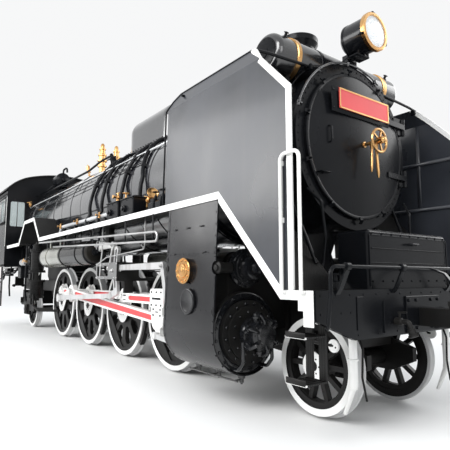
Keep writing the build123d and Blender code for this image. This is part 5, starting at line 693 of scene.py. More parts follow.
def wheel_valve(at, up, r=48.0):
    """Screw-down valve: body, stem and a ring handle with four spokes."""
    at, up = np.asarray(at, float), unit(np.asarray(up, float))
    ref = np.array([1.0, 0.0, 0.0]) if abs(up[0]) < 0.9 else np.array([0.0, 0.0, 1.0])
    u = unit(np.cross(up, ref))
    v = np.cross(up, u)
    a = np.arange(24) * 2 * np.pi / 24
    top = at + up * 2.3 * r
    ring = top + r * (np.cos(a)[:, None] * u + np.sin(a)[:, None] * v)
    profile = [
        (0.35, 0), (0.62, 0.1), (0.62, 0.8), (0.4, 1.0), (0.4, 1.2), (0.2, 1.3), (0.2, 2.4), (0.05, 2.5)
    ]
    chunks = [turned(np.array(profile) * r, at, up, 16), tube(ring, 0.15 * r, 8, closed=True, ref=up)]
    return chunks + [tube([top, ring[i]], 0.1 * r, 6) for i in (0, 6, 12, 18)]


# Deflectors: white edges, rails, beads, ribs and stays

EDGE = np.array([(3000.0, 1118.0), (3000.0, 2690.0), (2665.2, DEFLECTOR_FOLD_Z), (2494.0, DEFLECTOR_TOP_Z)])


def deflector_y(z):
    """Outer face of the deflector: upright to the fold, then leaning in by DEFLECTOR_LEAN at the top."""
    above = (z - DEFLECTOR_FOLD_Z) / (DEFLECTOR_TOP_Z - DEFLECTOR_FOLD_Z)
    return np.where(z > DEFLECTOR_FOLD_Z, BOARD_Y - above * DEFLECTOR_LEAN, BOARD_Y)


def deflector_edge():
    """White bead along the front edge: a flat channel 48 mm wide and 4 mm proud of the outer face."""
    path = EDGE
    step = unit(np.diff(path, axis=0))
    normal = np.column_stack([-step[:, 1], step[:, 0]])
    inward = np.vstack([normal[:1], unit(normal[:-1] + normal[1:]), normal[-1:]])
    inward /= np.maximum(np.abs(np.sum(inward * np.vstack([normal[:1], normal]), axis=1)), 0.6)[:, None]
    inward[-1] = (1.0 / normal[-1, 0], 0.0)
    rows = []
    for off, proud in ((-3.0, 4.0), (48.0, 4.0), (48.0, -13.0), (-3.0, -13.0)):
        xz = path + inward * off
        rows.append(np.column_stack([xz[:, 0], -(deflector_y(xz[:, 1]) + proud), xz[:, 1]]))
    points = np.stack(rows, axis=1).reshape(-1, 3)
    faces = grid_quads(len(path), 4, False, True).tolist()
    return points, faces + [[0, 1, 2, 3], [4 * (len(path) - 1) + i for i in range(4)]]


piece("deflector_white_edges", both([deflector_edge()]), m_white)

u_rail = bent([(2902, -1374, 1112), (2902, -1374, 2150), (3100, -1374, 2150), (3100, -1374, 1112)], 55)
feet = boxes([(2902, -1362, 1106, 54, 50, 20), (3100, -1358, 1106, 54, 60, 20)], 3)
clips = boxes([(2902, -1360, 1640, 30, 26, 40), (2902, -1360, 2080, 30, 26, 40)], 3)
piece("front_handrails", both([tube(u_rail, 15, 12), feet, clips]), m_white)

bead = [
    (2440.0, DEFLECTOR_TOP_Z), (1240.0, DEFLECTOR_TOP_Z), (1128.0, 3150.0), (1067.0, DEFLECTOR_FOLD_Z),
    (1020.0, 2000.0)
]
bead = [(x, -(float(deflector_y(z)) + 1.0), z) for x, z in bead]
piece("deflector_beads", both([tube(bent(bead, 60), 9, 8)]), m_black)

ribs = [ribbon([(x, -1336, 2010), (x, -1336, 3030)], ACROSS, 14, 40) for x in (1330, 1900, 2460)]
ribs += [ribbon([(1090, -1330, z), (2985, -1330, z)], ACROSS, 24, 34) for z in (2010, 2560)]
piece("deflector_ribs", both(ribs), m_deflector_painted_sheen)

stay = pipe([(2494, -1262, 3205), (2494, -1120, 3222), (2494, -582, 3249)], 15, 60)
stay_ends = boxes([(2480, -1240, 3186, 56, 24, 60), (2494, -575, 3240, 60, 26, 60)], 4)
low_stay = pipe([(1500, -1338, 2300), (1500, -810, 2430)], 14)
rear_stay = pipe([(1350, -1325, 3150), (1350, -640, 3130)], 14)
piece("deflector_stays", both([stay, stay_ends, low_stay, rear_stay]), m_black)


# Cylinder jacket


def jacket_panels():
    """Lap strips over the two seams and a border frame, following the jacket's side in height."""
    rows = [(1142, 2038, z0, z1) for z0, z1 in ((1424, 1460), (889, 925), (1945, BOARD_UNDER_Z))]
    for x0, x1 in ((1142, 1176), (2004, 2038)):
        rows += [(x0, x1, 372, 1224), (x0, x1, 1368, BOARD_UNDER_Z)]
    return [jacket_strip(*row) for row in rows]


def jacket_strip(x0, x1, z0, z1, proud=3.0):
    """Thin sheet over the jacket between two heights, its section following the jacket's curve."""
    z = np.linspace(z0, z1, 2 if z0 > JACKET_SIDE_Z else 14)
    n = jacket_normal(z)
    inner = np.column_stack([np.zeros(len(z)), -jacket_y(z), z])
    outer = inner + n * proud
    section = np.vstack([inner, outer[::-1]])
    m = len(section)
    points = np.vstack([section + [x, 0, 0] for x in (x0, x1)])
    faces = [[i, (i + 1) % m, m + (i + 1) % m, m + i] for i in range(m)]
    k = len(z)
    ends = [[b + i, b + i + 1, b + m - 2 - i, b + m - 1 - i] for b in (0, m) for i in range(k - 1)]
    return points, faces + ends


z_col = [420, 520, 620, 720, 820, 880, 940, 1040, 1140, 1200, 1400, 1480, 1590, 1700, 1810, 1920]
z_col = np.array(z_col, float)
bolt_rows = [np.column_stack([np.full(len(z_col), x), -jacket_y(z_col), z_col]) for x in (1159, 2021)]
bolt_norm = [jacket_normal(z_col)] * 2
for seam_z in (1442, 907, 1960):
    xs = np.arange(1210, 2000, 88.0)
    bolt_rows.append(np.column_stack([xs, np.full(len(xs), -jacket_y(seam_z)), np.full(len(xs), seam_z)]))
    bolt_norm.append(np.repeat(jacket_normal(np.array([seam_z])), len(xs), axis=0))
jacket_at, jacket_n = np.vstack(bolt_rows), np.vstack(bolt_norm)
piece("jacket_laps", both(jacket_panels()), m_jacket)
latches = [(1300, 1700), (1545, 1700), (1790, 1700), (1300, 1448), (1850, 1448), (1590, 1152), (1590, 862)]
latches = boxes([(x, -float(jacket_y(z)) - 7, z, 54, 16, 13) for x, z in latches], 4)
piece("jacket_bolts", both([heads(jacket_at + jacket_n * 3, jacket_n, 8, 5), latches]), m_jacket)

cover = [
    (127, -44), (127, 6), (122, 11), (94, 11), (88, 2), (70, 2), (64, 14), (44, 16), (38, 24), (20, 26)
]
cover = turned(cover + [(16, 31), (4, 32)], (1542, -1402, 1276), OUTWARD, 48)
cover_bolts = heads(side_ring(1542, -1413, 1276, 108, 12), OUTWARD, 9.5, 8)
piece("valve_covers", both([cover, cover_bolts]), m_brass)
low_cover = [(122, -20), (122, 0), (116, 4), (100, 5), (96, 3), (6, 4)]
low_cover = turned(low_cover, (1614, -1402.3, 984), OUTWARD, 48)
piece("jacket_low_covers", both([low_cover]), m_jacket)

# Crosshead cheeks: bolts and a dark oil groove on the outer face of each
cheek = [(x, -1090, z) for z in (880, 1035) for x in (300, 420, 535)]
cheek += [(350, -1090, 760), (350, -1090, 830), (520, -1090, 830), (520, -1090, 760)]
piece("crosshead_bolts", both([heads(cheek, OUTWARD, 13, 9)]), m_satin)
grooves = boxes([(415, -1090, 957, 215, 5, 26), (430, -1090, 800, 70, 5, 12)], 1.0)
piece("crosshead_grooves", both([grooves]), m_black)

# Side covers of the valve chest seen through the half-round notches
notch = [(48, 0), (48, 120), (56, 122), (56, 150), (30, 156), (26, 172), (5, 174)]
notches = [turned(notch, (x, -1190, CHEST_Z), OUTWARD, 24) for x in (1150, 2030)]
piece("notch_covers", both(notches), m_satin)

# Cylinder fronts

front = []
lid_bolts = ((346, 20, CYL_FRONT_X, CYL_Z, 17), (270, 16, 2060, CYL_Z, 15), (196, 12, 2085, CYL_Z, 12))
for r, n, x, z0, s in lid_bolts + ((128, 10, 1918, CHEST_Z, 13),):
    front.append(heads(ring_points(x, -CYL_Y, z0, r, n, 9), AHEAD, s, s * 1.1))
front += [
    turned([(372, -48), (372, 4), (360, 10), (310, 10), (304, 2)], (CYL_FRONT_X, -CYL_Y, CYL_Z), AHEAD, 56),
    turned(
        [(148, -60), (148, 4), (138, 9), (96, 9), (88, 22), (56, 26)], (1918, -CYL_Y, CHEST_Z), AHEAD, 40
    ),
    turned([
        (110, -20), (110, 3), (92, 12), (60, 14), (54, 30), (24, 34), (20, 52), (3, 54)
    ], (2155, -CYL_Y, CYL_Z), AHEAD, 36),
    heads(ring_points(2158, -CYL_Y, CYL_Z, 84, 8), AHEAD, 9, 9),
    turned([
        (150, 0), (186, 6), (186, 40), (168, 46), (168, 74), (150, 78), (150, 96), (112, 104), (108, 176),
        (86, 186), (60, 190), (56, 250), (40, 256), (40, 340), (24, 350)
    ], (1990, -CYL_Y, CHEST_Z), AHEAD, 44),
    heads(ring_points(2040, -CYL_Y, CHEST_Z, 177, 14, 6), AHEAD, 11, 13),
    heads(ring_points(2094, -CYL_Y, CHEST_Z, 130, 10), AHEAD, 9, 10)
]
piece("cylinder_front_rings", both(front), m_gloss)

relief = [
    turned([
        (150, 0), (150, 60), (128, 68), (128, 150), (140, 156), (140, 176), (96, 184), (88, 214), (30, 220)
    ], (2110, -CYL_Y, CYL_Z), AHEAD, 36),
    heads(ring_points(2284, -CYL_Y, CYL_Z, 118, 10), AHEAD, 9, 9)
]
for t in (35.0, 100.0, 160.0, 215.0, 275.0, 330.0):
    out = np.array([0.0, np.cos(np.radians(t)), np.sin(np.radians(t))])
    hub = np.array([2200.0, -CYL_Y, CYL_Z]) + out * 120
    relief.append(turned(
        [(34, 0), (34, 26), (46, 30), (46, 48), (28, 54), (28, 74), (10, 78)], hub, out, 14
    ))
    elbow = [
        hub + out * 46 + [20, 0, 0], hub + out * 58 + [74, 0, 0], hub + out * 16 + [110, 0, 0],
        hub - out * 40 + [92, 0, 0]
    ]
    relief += [pipe(elbow, 15, 26, 8), union(hub + out * 57 + [50, 0, 0], AHEAD, 17)]
for y, low in ((-1170, 390), (-830, 395)):
    relief.append(pipe([(2180, y, 640), (2190, y, 470), (2120, y, low), (1960, y, low)], 17, 50))
piece("relief_valves", both(relief), m_gloss)

drain = []
for x in (1230, 1590, 1950):
    drain += [
        turned([
            (26, 0), (34, -6), (34, -40), (22, -46), (22, -80), (12, -84), (12, -96)
        ], (x, -1000, 316), UPWARD, 14),
        tube([(x, -1000, 262), (x, -1085, 262)], 8, 8)
    ]
drain.append(tube([(1180, -1086, 262), (2005, -1086, 262)], 9, 8))
piece("drain_cocks", both(drain), m_dark_steel)

# Smokebox, door and lamp

shell = on_boiler(np.repeat([935, 1010, 2480, 2535], 60), np.tile(np.arange(0, 360, 6.0), 4), SMOKEBOX_R)
front_ring = on_boiler(SMOKEBOX_FRONT_X, np.arange(0, 360, 5.0), 812)
rivet_at = np.vstack([shell, front_ring])
rivet_out = np.vstack([boiler_normal(shell), np.tile([1.0, 0.0, 0.0], (len(front_ring), 1))])
shown = rivet_at[:, 2] > 1880
piece("smokebox_rivets", [heads(rivet_at[shown], rivet_out[shown], 9, 6, 8)], m_black)

dogs = []
for angle in np.radians((-150, -115, -62, -28, 8, 42, 74, 108, 146, 180)):
    out = np.array([0.0, -np.sin(angle), np.cos(angle)])
    mid = np.array([2596.0, 0, BOILER_Z]) + out * 762
    at_hinge = abs(mid[1] - 800) < 140
    if not at_hinge:
        dog = [mid - out * 40 + [6, 0, 0], mid + out * 2 + [13, 0, 0], mid + out * 26 + [-4, 0, 0]]
        dogs += [
            ribbon(dog, np.cross(out, AHEAD), 34, 14),
            heads([mid + [18, 0, 0]], AHEAD, 14, 18),
            heads([mid + [33, 0, 0]], AHEAD, 8, 11)
        ]
piece("door_clamps", dogs, m_black, "smokebox_door")

door = [
    pipe([(2598, -478, 2636), (2668, -478, 2636), (2668, -478, 2478), (2604, -478, 2478)], 9.5, 26, 12),
    turned([(745, -30), (745, 1), (738, 8), (716, 9), (708, 4), (704, -2)], (2592, 0, BOILER_Z), AHEAD, 96)
]
piece("door_grab", door, m_black, "smokebox_door")
step = [boxes([(2622, -560, 2180, 90, 130, 10)], 3), tube([(2588, -560, 2172), (2650, -560, 2178)], 9, 8)]
piece("door_step", step, m_black, "smokebox_door")

spindle = [
    turned([(30, 0), (30, 12), (17, 16), (17, 150), (26, 152), (26, 168)], (2668, 0, BOILER_Z), AHEAD, 24),
    turned([(30, -22), (34, -16), (34, 16), (26, 26), (22, 34), (4, 40)], (2876, 0, BOILER_Z), AHEAD, 24),
]
steps = np.linspace(0, 1, 9)
girth = np.interp(steps, [0, 0.08, 0.2, 0.7, 0.94, 1], [26, 24, 12, 14, 15, 6])
for x, foot_y, foot_z in ((2762, -22, 2228), (2806, 26, 2170)):
    grip, foot = np.array([x, 0, BOILER_Z]), np.array([x, foot_y, foot_z])
    spindle.append(tube(grip + steps[:, None] * (foot - grip), girth, 12))
piece("door_handles", spindle, m_brass, "smokebox_door")

a = np.linspace(np.radians(-73), np.radians(28), 34)
hoop = np.column_stack([np.zeros(34), np.sin(a), np.cos(a)])
arc_posts = []
for t in np.radians((-70, -38, -6, 24)):
    out = np.array([0, np.sin(t), np.cos(t)])
    at = np.array([2575.0, 0, BOILER_Z]) + out * 846
    arc_posts.append(turned([(14, -12), (9, -8), (9, 10), (20, 12), (20, 26), (8, 30)], at, out, 12))
arc = tube(hoop * 862.0 + [2575.0, 0, BOILER_Z], 11, 12, ref=AHEAD)
piece("smokebox_rail", [arc] + arc_posts, m_boiler)
cable = (hoop * 905 + [2420.0, 0, BOILER_Z])[:24]
piece("smokebox_cable", [tube(cable, 9, 8, ref=AHEAD)], m_black)

plate_back = boxes([(2668, -20, 2905, 8, 900, 250)], 3)
back_bolts = heads([(2672, y, z) for y in (-452, 412) for z in (2815, 2995)], AHEAD, 10, 8)
piece("plate_backing", [plate_back, back_bolts], m_black, "smokebox_door")
screws = heads([(2703.7, y, z) for y in (-383, 383) for z in (2822, 3008)], AHEAD, 5, 3)
piece("plate_screws", [screws], m_brass, "smokebox_door")

lens = [(160.0, -3.0)] + [
    (r, 14.0 * (1 - (r / 160.0) ** 2))
    for r in (160.0, 140.0, 110.0, 75.0, 35.0, 2.0)
]
piece("lamp_lens", [turned(lens, (2846, 0, LAMP_Z), AHEAD, 40)], m_lens)
lamp = [(190, -44), (196, -40), (196, -6), (186, 2), (166, 3), (162, -4), (162, -10)]
piece("lamp_rim", [turned(lamp, (2855, 0, LAMP_Z), AHEAD, 48)], m_brass)
latch = []
for t in np.radians((200, 340, 90)):
    out = np.array([0, np.cos(t), np.sin(t)])
    at = np.array([2822.0, 0, LAMP_Z]) + out * 196
    latch += [
        turned([(10, -14), (10, 12), (16, 14), (16, 24), (4, 26)], at, out, 10),
        tube([at - [40, 0, 0], at + [26, 0, 0]], 8, 8)
    ]
latch += [
    turned([(176, 0), (179, 3), (179, 30), (176, 33)], (2560, 0, LAMP_Z), AHEAD, 40),
    pipe([(2560, -60, 3480), (2600, -110, 3440), (2560, -170, 3380), (2480, -330, 3300)], 8, 40),
    boxes([(2640, 0, 3452, 130, 190, 20), (2700, -70, 3470, 16, 30, 50), (2700, 70, 3470, 16, 30, 50)], 4)
]
piece("lamp_latches", latch, m_black)

# Heater and chimney

heater = []
for y in (-948, 948):
    s = np.sign(y)
    heater += [
        turned(
            [(150, 0), (150, 10), (120, 16), (60, 18), (54, 26), (4, 28)], (HEATER_X, y, HEATER_Z),
            (0, s, 0), 32
        ),
        heads(side_ring(HEATER_X, y + s * 9, HEATER_Z, 134, 12), (0, s, 0), 8, 8)
    ]
for y in (-340, 340):
    heater.append(collar(205.5, 210, 22, 20, (HEATER_X, y, HEATER_Z), ACROSS, 56))
for s in (-1, 1):
    for x in (2160, 2330):
        heater += [
            pipe([
                (x, s * 700, 3200), (x, s * 760, 3080), (x, s * 830, 2880), (x, s * 880, 2560)
            ], 34, 120, 12),
            collar(34, 52, 10, 8, (x, s * 742, 3110), (0, s * 0.45, -0.9), 16)
        ]
    heater += [
        pipe([(2240, s * 500, 3160), (2300, s * 600, 3120), (2420, s * 720, 3000)], 20, 60),
        turned([
            (20, 0), (30, 4), (30, 30), (16, 36), (14, 60), (26, 64), (26, 72), (6, 78)
        ], (2380, s * 800, 3500), (0.5, 0, 0.8), 14)
    ]
piece("heater_fittings", heater, m_black)
band = [(216, -24), (219, -22), (219, 22), (216, 24)]
piece("heater_bands", [turned(band, (HEATER_X, y, HEATER_Z), ACROSS, 64) for y in (-683, 683)], m_brass)
chimney_lip = [(224, 4), (229, 8), (229, 22), (224, 28), (196, 30), (186, 20)]
piece("chimney_rings", [turned(chimney_lip, (1800, 0, 3950), UPWARD, 48)], m_black)

# Deck, beam and coupling

beam_rivets = np.vstack([
    spread((BEAM_X, -1290, 1080), (BEAM_X, 1290, 1080), 17),
    spread((BEAM_X, -1290, 950), (BEAM_X, -960, 950), 4),
    spread((BEAM_X, 960, 950), (BEAM_X, 1290, 950), 4),
    spread((BEAM_X, -880, 780), (BEAM_X, 880, 780), 8),
])
deck = [
    heads(beam_rivets, AHEAD, 8, 5, 8),
    boxes([
        (3211, -560, 900, 12, 14, 250), (3211, 560, 900, 12, 14, 250), (3213, 0, 905, 16, 520, 300),
        (3209, -860, 940, 8, 70, 250), (3209, 860, 940, 8, 70, 250)
    ], 3),
    heads([(3221, y, z) for y in (-225, -115, 115, 225) for z in (790, 1020)], AHEAD, 15, 13),
    boxes([
        (3122, 0, 1560, 8, 1160, 10), (3124, 0, 1330, 10, 1200, 12), (3125, -600, 1350, 12, 12, 420),
        (3125, 600, 1350, 12, 12, 420), (3126, 0, 1450, 8, 1150, 8)
    ], 2),
    heads([(3122, y, z) for y in np.linspace(-560, 560, 9) for z in (1180, 1575)], AHEAD, 8, 6, 8),
    heads([(x, -610, z) for x in (2830, 2950, 3080) for z in (1180, 1560)], OUTWARD, 8, 6, 8)
]
piece("deck_trim", deck, m_black)

lid = [boxes(
    [(2955, 0, 1600, 300, 1180, 8), (2955, -420, 1608, 280, 30, 8), (2955, 420, 1608, 280, 30, 8)], 3
)]
for y in (-420, 420):
    lid.append(tube([(2800, y - 45, 1608), (2800, y + 45, 1608)], 12, 10))
lid.append(pipe([(3126, -60, 1500), (3168, -60, 1500), (3168, 60, 1500), (3126, 60, 1500)], 9, 22))
piece("deck_lid", lid, m_black)

bar = pipe([
    (3215, -1240, 845), (3262, -1285, 870), (3300, -1292, 1090), (3300, -1292, 1288), (3300, 1292, 1288),
    (3300, 1292, 1090), (3262, 1285, 870), (3215, 1240, 845)
], 15, 60, 12)
hold = []
for y in (-1110, -420, 420, 1110):
    hold += [
        ribbon([(BEAM_X, y, 1090), (3236, y, 1130), (3300, y, 1262)], ACROSS, 46, 14),
        collar(26, 30, 24, 20, (3300, y, 1288), ACROSS, 18)
    ]
lift = [ribbon([(3300, 0, 1288), (3420, 0, 1240), (3500, 0, 1140)], ACROSS, 40, 14)]
link = []
t = np.arange(16) * 2 * np.pi / 16
for i in range(6):
    wide = np.array([0.0, 1.0, 0.0]) if i % 2 else np.array([1.0, 0.0, 0.0])
    ring = 13 * np.cos(t)[:, None] * wide + 24 * np.sin(t)[:, None] * np.array([0, 0, 1.0])
    centre = np.array([3500.0, 0, 1132 - 30.0 * i])
    link.append(tube(centre + ring, 5, 6, closed=True, ref=np.cross(wide, UPWARD)))
piece("uncoupling_bar", [bar] + hold + lift + link, m_black)

stubs = []
for s in (-1, 1):
    stubs += [
        turned([(22, 0), (30, 4), (30, 60), (20, 66), (20, 90)], (3214, s * 420, 860), AHEAD, 14),
        pipe([(3290, s * 420, 860), (3330, s * 420, 860), (3356, s * 420, 790)], 22, 34, 12),
        turned(
            [(22, -8), (32, -4), (32, 34), (40, 38), (40, 56), (14, 60)], (3352, s * 420, 800),
            (0.35, 0, -0.94), 14
        ),
        tube([(3256, s * 420, 884), (3256, s * 420, 930)], 9, 8),
        tube([(3240, s * 420, 930), (3320, s * 420, 936)], 8, 8)
    ]
piece("air_pipe_ends", stubs, m_satin)

rail = []
for s in (-1, 1):
    rail += [
        pipe([
            (2640, s * 640, 1150), (2720, s * 660, 1560), (2705, s * 690, 1880), (2600, s * 760, 2010)
        ], 13, 80),
        pipe([
            (2690, s * 760, 1330), (2600, s * 780, 1560), (2480, s * 800, 1830), (2340, s * 805, 2200)
        ], 17, 90),
        turned([
            (30, 0), (42, 6), (42, 60), (26, 70), (22, 110), (38, 114), (38, 124), (8, 130)
        ], (3010, s * 900, DECK_Z), UPWARD, 16)
    ]
piece("front_pipes", rail, m_black)

guard, guard_hold = [], []
for s in (-1, 1):
    path = bent(
        [(2975, s * 700, 870), (3016, s * 712, 700), (3016, s * 712, 360), (2915, s * 705, 120)], 140, 9
    )
    girth = np.interp(np.linspace(0, 1, len(path)), [0, 0.9, 1], [34, 34, 16])
    guard += [
        tube(path, girth, 14),
        collar(34, 42, 8, 6, (3016, s * 712, 560), UPWARD, 16),
        turned([(54, -8), (54, 8)], (2850, s * 745, 650), ACROSS, 24)
    ]
    guard_hold += [
        ribbon([(2600, s * 420, 800), (2820, s * 640, 820), (2975, s * 700, 850)], UPWARD, 70, 16),
        tube([(2300, s * 745, 690), (2700, s * 745, 662), (2850, s * 745, 650)], [24, 22, 12], 12)
    ]
    wire = [(2990, s * 640, 830), (3060, s * 645, 640), (3050, s * 650, 420), (3080, s * 640, 240)]
    guard_hold.append(pipe(wire, 9, 80))
pins = [(2850 + d, s * 753, 650 + e) for s in (-1, 1) for d, e in ((-22, 10), (22, -10))]
piece("rail_guards", guard, m_white)
piece("guard_brackets", guard_hold + [heads(pins, ACROSS, 9, 2)], m_satin)

# Boiler top and sides

band_xs = [860.0, -240.0, -1340.0, -2440.0, -3540.0, -4640.0]
band_bolts = np.vstack([on_boiler(x + dx, [118, 122], 902) for x in band_xs for dx in (-18, 18)])
piece("band_bolts", both([heads(band_bolts, boiler_normal(band_bolts), 8, 10)]), m_black)
around = np.linspace(-132, 132, 60)
seam_xs = (310.0, -790.0, -1890.0, -2990.0, -4090.0)
seams = [tube(on_boiler(x, around, 890.5), 3.2, 6, ref=AHEAD) for x in seam_xs]
long_seam = ribbon(on_boiler([900, -4950], 100, 891), UPWARD, 26, 4)
piece("lagging_seams", both([long_seam]) + seams, m_black)

pipes = []
a = np.concatenate([np.linspace(26, 84, 15), np.linspace(90, 104, 4)])
r = np.interp(a, [26, 34, 84, 104], [890, 925, 925, 985])
for x0, x1 in ((-560, -360), (-900, -1000), (-1700, -1760), (-2020, -2300)):
    sweep = ([26, 45, 84, 104], [x0, x0, x1, x1])
    down = np.array([[x1, -1010, 2180], [x1, -1010, 1990]])
    pipes += [
        tube(np.vstack([on_boiler(np.interp(a, *sweep), a, r), down]), 30, 12, ref=AHEAD),
        collar(32, 46, 14, 12, (x1, -1010, 2040), UPWARD, 18)
    ]
    for t in (48, 72):
        at = on_boiler(np.interp(t, *sweep), t, 925)[0]
        out = boiler_normal(at)
        clip = [at + out * rise + [dx, 0, 0] for rise, dx in ((-34, -46), (34, -22), (34, 22), (-34, 46))]
        pipes.append(ribbon(clip, np.cross(out, AHEAD), 40, 6))
piece("sand_pipes", both(pipes), m_black)

# Handrails of the boiler
top_rail = bent([(870, -700, 3120), (-210, -742, 3066), (-3400, -780, 3035), (-6855, -840, 2990)], 600, 6)


def on_top_rail(x):
    """Point of the top handrail at one place along the engine, between the points of its path."""
    y, z = (np.interp(-x, -top_rail[:, 0], top_rail[:, i]) for i in (1, 2))
    return np.array([x, y, z])


posts = []
for x in np.linspace(760, -6500, 9):
    at = on_top_rail(x)
    post = [(15, -92), (11, -84), (10, -20), (19, -14), (21, 0), (19, 14), (10, 18)]
    posts.append(turned(post, at, boiler_normal(at), 12))
piece("boiler_rails", both([tube(top_rail, 16, 12)]), m_silver)
piece("rail_posts", both(posts), m_silver)
second = []
for dy, dz, r in ((-58, -44, 10), (-92, -186, 9)):
    path = [(-560, -742, 3066), (-3400, -780, 3035), (-6400, -836, 2994), (-6853, -836, 3060)]
    second.append(tube(bent(np.array(path) + [0.0, dy, dz], 300, 6), r, 8))
for x in np.arange(-900.0, -6400.0, -1100.0):
    at = on_top_rail(x)
    second.append(ribbon([at - [0, 30, 26], at - [0, 108, 200]], AHEAD, 26, 8))
piece("boiler_pipes", both(second), m_black)

low_rail = bent(
    [(-700, -985, 2196), (-3700, -985, 2196), (-3780, -985, 2120), (-3780, -985, BOARD_TOP_Z)], 90
)
piece("board_rail", both([tube(low_rail, 38, 14)]), m_silver)
saddles = boxes([(x, -985, 2080, 40, 60, 180) for x in (-820, -1500, -2200, -2900, -3560)], 4)
piece("rail_brackets", both([saddles]), m_black)
cocks = []
for x in (-1650, -2700, -3650):
    cocks += tap((x, -1035, 2160), UPWARD, OUTWARD, 15)
cocks += [
    *tap((-6700, -880, 2985), (0, -0.3, 1), AHEAD, 20),
    *tap((-450, -1240, 2247), UPWARD, OUTWARD, 19),
    *wheel_valve((-330, -1175, 2247), UPWARD, 46),
    *tap((-6980, -1320, 1820), UPWARD, OUTWARD, 16),
    *tap((-5230, -1240, 1560), (0, -1, 0.3), AHEAD, 15)
]
piece("brass_cocks", both(cocks), m_brass)

# Lubricators, feed clack and valves on the running board
lubricators = []
for x in (-560.0, -90.0):
    lubricators += [
        boxes([
            (x, -1180, 2120, 380, 190, 236), (x, -1180, 2243, 400, 210, 14), (x, -1180, 2002, 420, 220, 18)
        ], 10),
        heads([(x + dx, -1276, z) for dx in (-160, 0, 160) for z in (2030, 2215)], OUTWARD, 8, 6),
        turned([(60, 0), (60, 18), (40, 26), (12, 30)], (x + 90, -1180, 2250), UPWARD, 20),
        turned([(46, 0), (46, 24), (30, 30), (30, 46), (14, 50)], (x - 60, -1275, 2110), OUTWARD, 20)
    ]
    for i in range(6):
        lubricators.append(pipe([
            (x - 150 + 60 * i, -1085, 2060 + 20 * i), (x - 150 + 60 * i, -1010, 2060 + 20 * i),
            (x - 150 + 60 * i, -960, 1996)
        ], 6, 24, 6))
piece("lubricators", both(lubricators), m_black)
clack_top = [
    (12, -70), (30, -66), (34, -30), (22, -20), (26, 0), (40, 40), (52, 84), (66, 120), (74, 134),
    (70, 138), (56, 126), (20, 120), (2, 118)
]
casting = [
    turned(clack_top, (190, -1080, 2230), (0.93, -0.2, 0.3), 28),
    turned([
        (34, -60), (42, -56), (42, -40), (30, -36), (30, 60), (44, 64), (44, 84), (12, 90)
    ], (60, -1060, 2180), (0.1, 0, 1), 20),
    pipe([(60, -1060, 2130), (-20, -1060, 2110), (-90, -1060, 2060), (-110, -1060, BOARD_TOP_Z)], 24, 40),
    turned([(24, 0), (36, 4), (36, 26), (20, 32)], (122, -1070, 2208), (-0.9, 0.2, -0.3), 16)
]
piece("feed_clack", both(casting), m_brass)
valves = []
for x, y in ((420, -1120), (620, -1130)):
    valves += [
        boxes([(x, y, 2060, 150, 150, 134), (x, y, 2150, 110, 110, 60)], 14),
        *wheel_valve((x, y, 2170), UPWARD, 40),
        pipe([(x, y + 60, 2080), (x, -960, 2110), (x - 60, -905, 2300), (x - 60, -850, 2420)], 17, 60)
    ]
piece("board_valves", both(valves), m_black)

# Cooling pipe below the board: two long runs joined at the front
cooler = bent([
    (-3826, -1372, 1880), (941, -1372, 1716), (941, -1372, 1610), (-900, -1372, 1676), (-2900, -1372, 1752)
], 50, 9)
hang = [
    ribbon([(x, -1352, 1925), (x, -1352, z - 130)], AHEAD, 26, 8)
    for x, z in ((-3300, 1850), (-2200, 1830), (-1050, 1800), (60, 1760), (800, 1740))
]
piece("cooling_pipes", both([tube(cooler, 14, 12)]), m_steel)
piece("cooling_hangers", both(hang), m_black)
thin = [
    pipe([
        (-1300, -1190, 1400), (-900, -1200, 1500), (300, -1210, 1560), (330, -1210, 1640),
        (330, -1210, BOARD_UNDER_Z)
    ], 9, 60),
    pipe([
        (-1180, -1180, 1215), (-1120, -1195, 1430), (-1060, -1200, 1600), (-1060, -1200, BOARD_UNDER_Z)
    ], 10, 60),
    tube([(300, -1210, 1560), (330, -1260, 1610)], 7, 6)
]
piece("gear_oil_pipes", both(thin), m_steel)
piece("side_white_pipes", both([tube(bent(
    [(-4672, -1090, 1438), (-4690, -1150, 1240), (-4720, -1190, 900), (-4841, -1170, 673)], 200, 9
), 26, 12)]), m_white)

# Dome fittings, safety valves, whistle, generator
dome = [heads([(x, -404, 3400)], (0, -1, 0.1), 9, 8) for x in np.linspace(-2080, -470, 18)]
dome.append(ribbon([(-2100, -402, 3362), (-450, -402, 3362)], UPWARD, 40, 6))
cluster = [
    (70, 0), (80, 6), (80, 24), (48, 30), (48, 120), (66, 126), (66, 150), (30, 160), (26, 220), (10, 224)
]
dome += [
    turned(cluster, (-2380, -460, 3270), (0, -0.5, 0.87), 20),
    *wheel_valve((-2620, -420, 3300), (0, -0.45, 0.89), 60),
    *wheel_valve((-2820, -300, 3350), (0, -0.3, 0.95), 54),
    pipe([
        (-2380, -560, 3420), (-2700, -600, 3400), (-3300, -640, 3300), (-6400, -700, 3250),
        (-6855, -700, 3300)
    ], 22, 160)
]
piece("dome_fittings", dome, m_black)

whistle = [
    (16, 0), (26, 4), (26, 30), (14, 36), (14, 66), (44, 70), (44, 88), (36, 92), (40, 96), (40, 210),
    (34, 226), (12, 234), (12, 252), (2, 256)
]
collars = [
    (60, 0), (92, 8), (92, 40), (62, 52), (62, 110), (96, 120), (96, 150), (64, 162), (64, 232), (84, 240),
    (84, 270), (58, 284), (52, 360), (66, 368), (66, 392), (42, 404), (38, 470), (22, 500), (6, 506)
]
tops = [turned(collars, (-3478, y, 3455), UPWARD, 28) for y in (-300, 0)]
tops.append(turned(np.array(whistle) * 0.95, (-3860, -420, 3330), (0, -0.2, 1), 24))
piece("valve_tops", tops, m_brass)

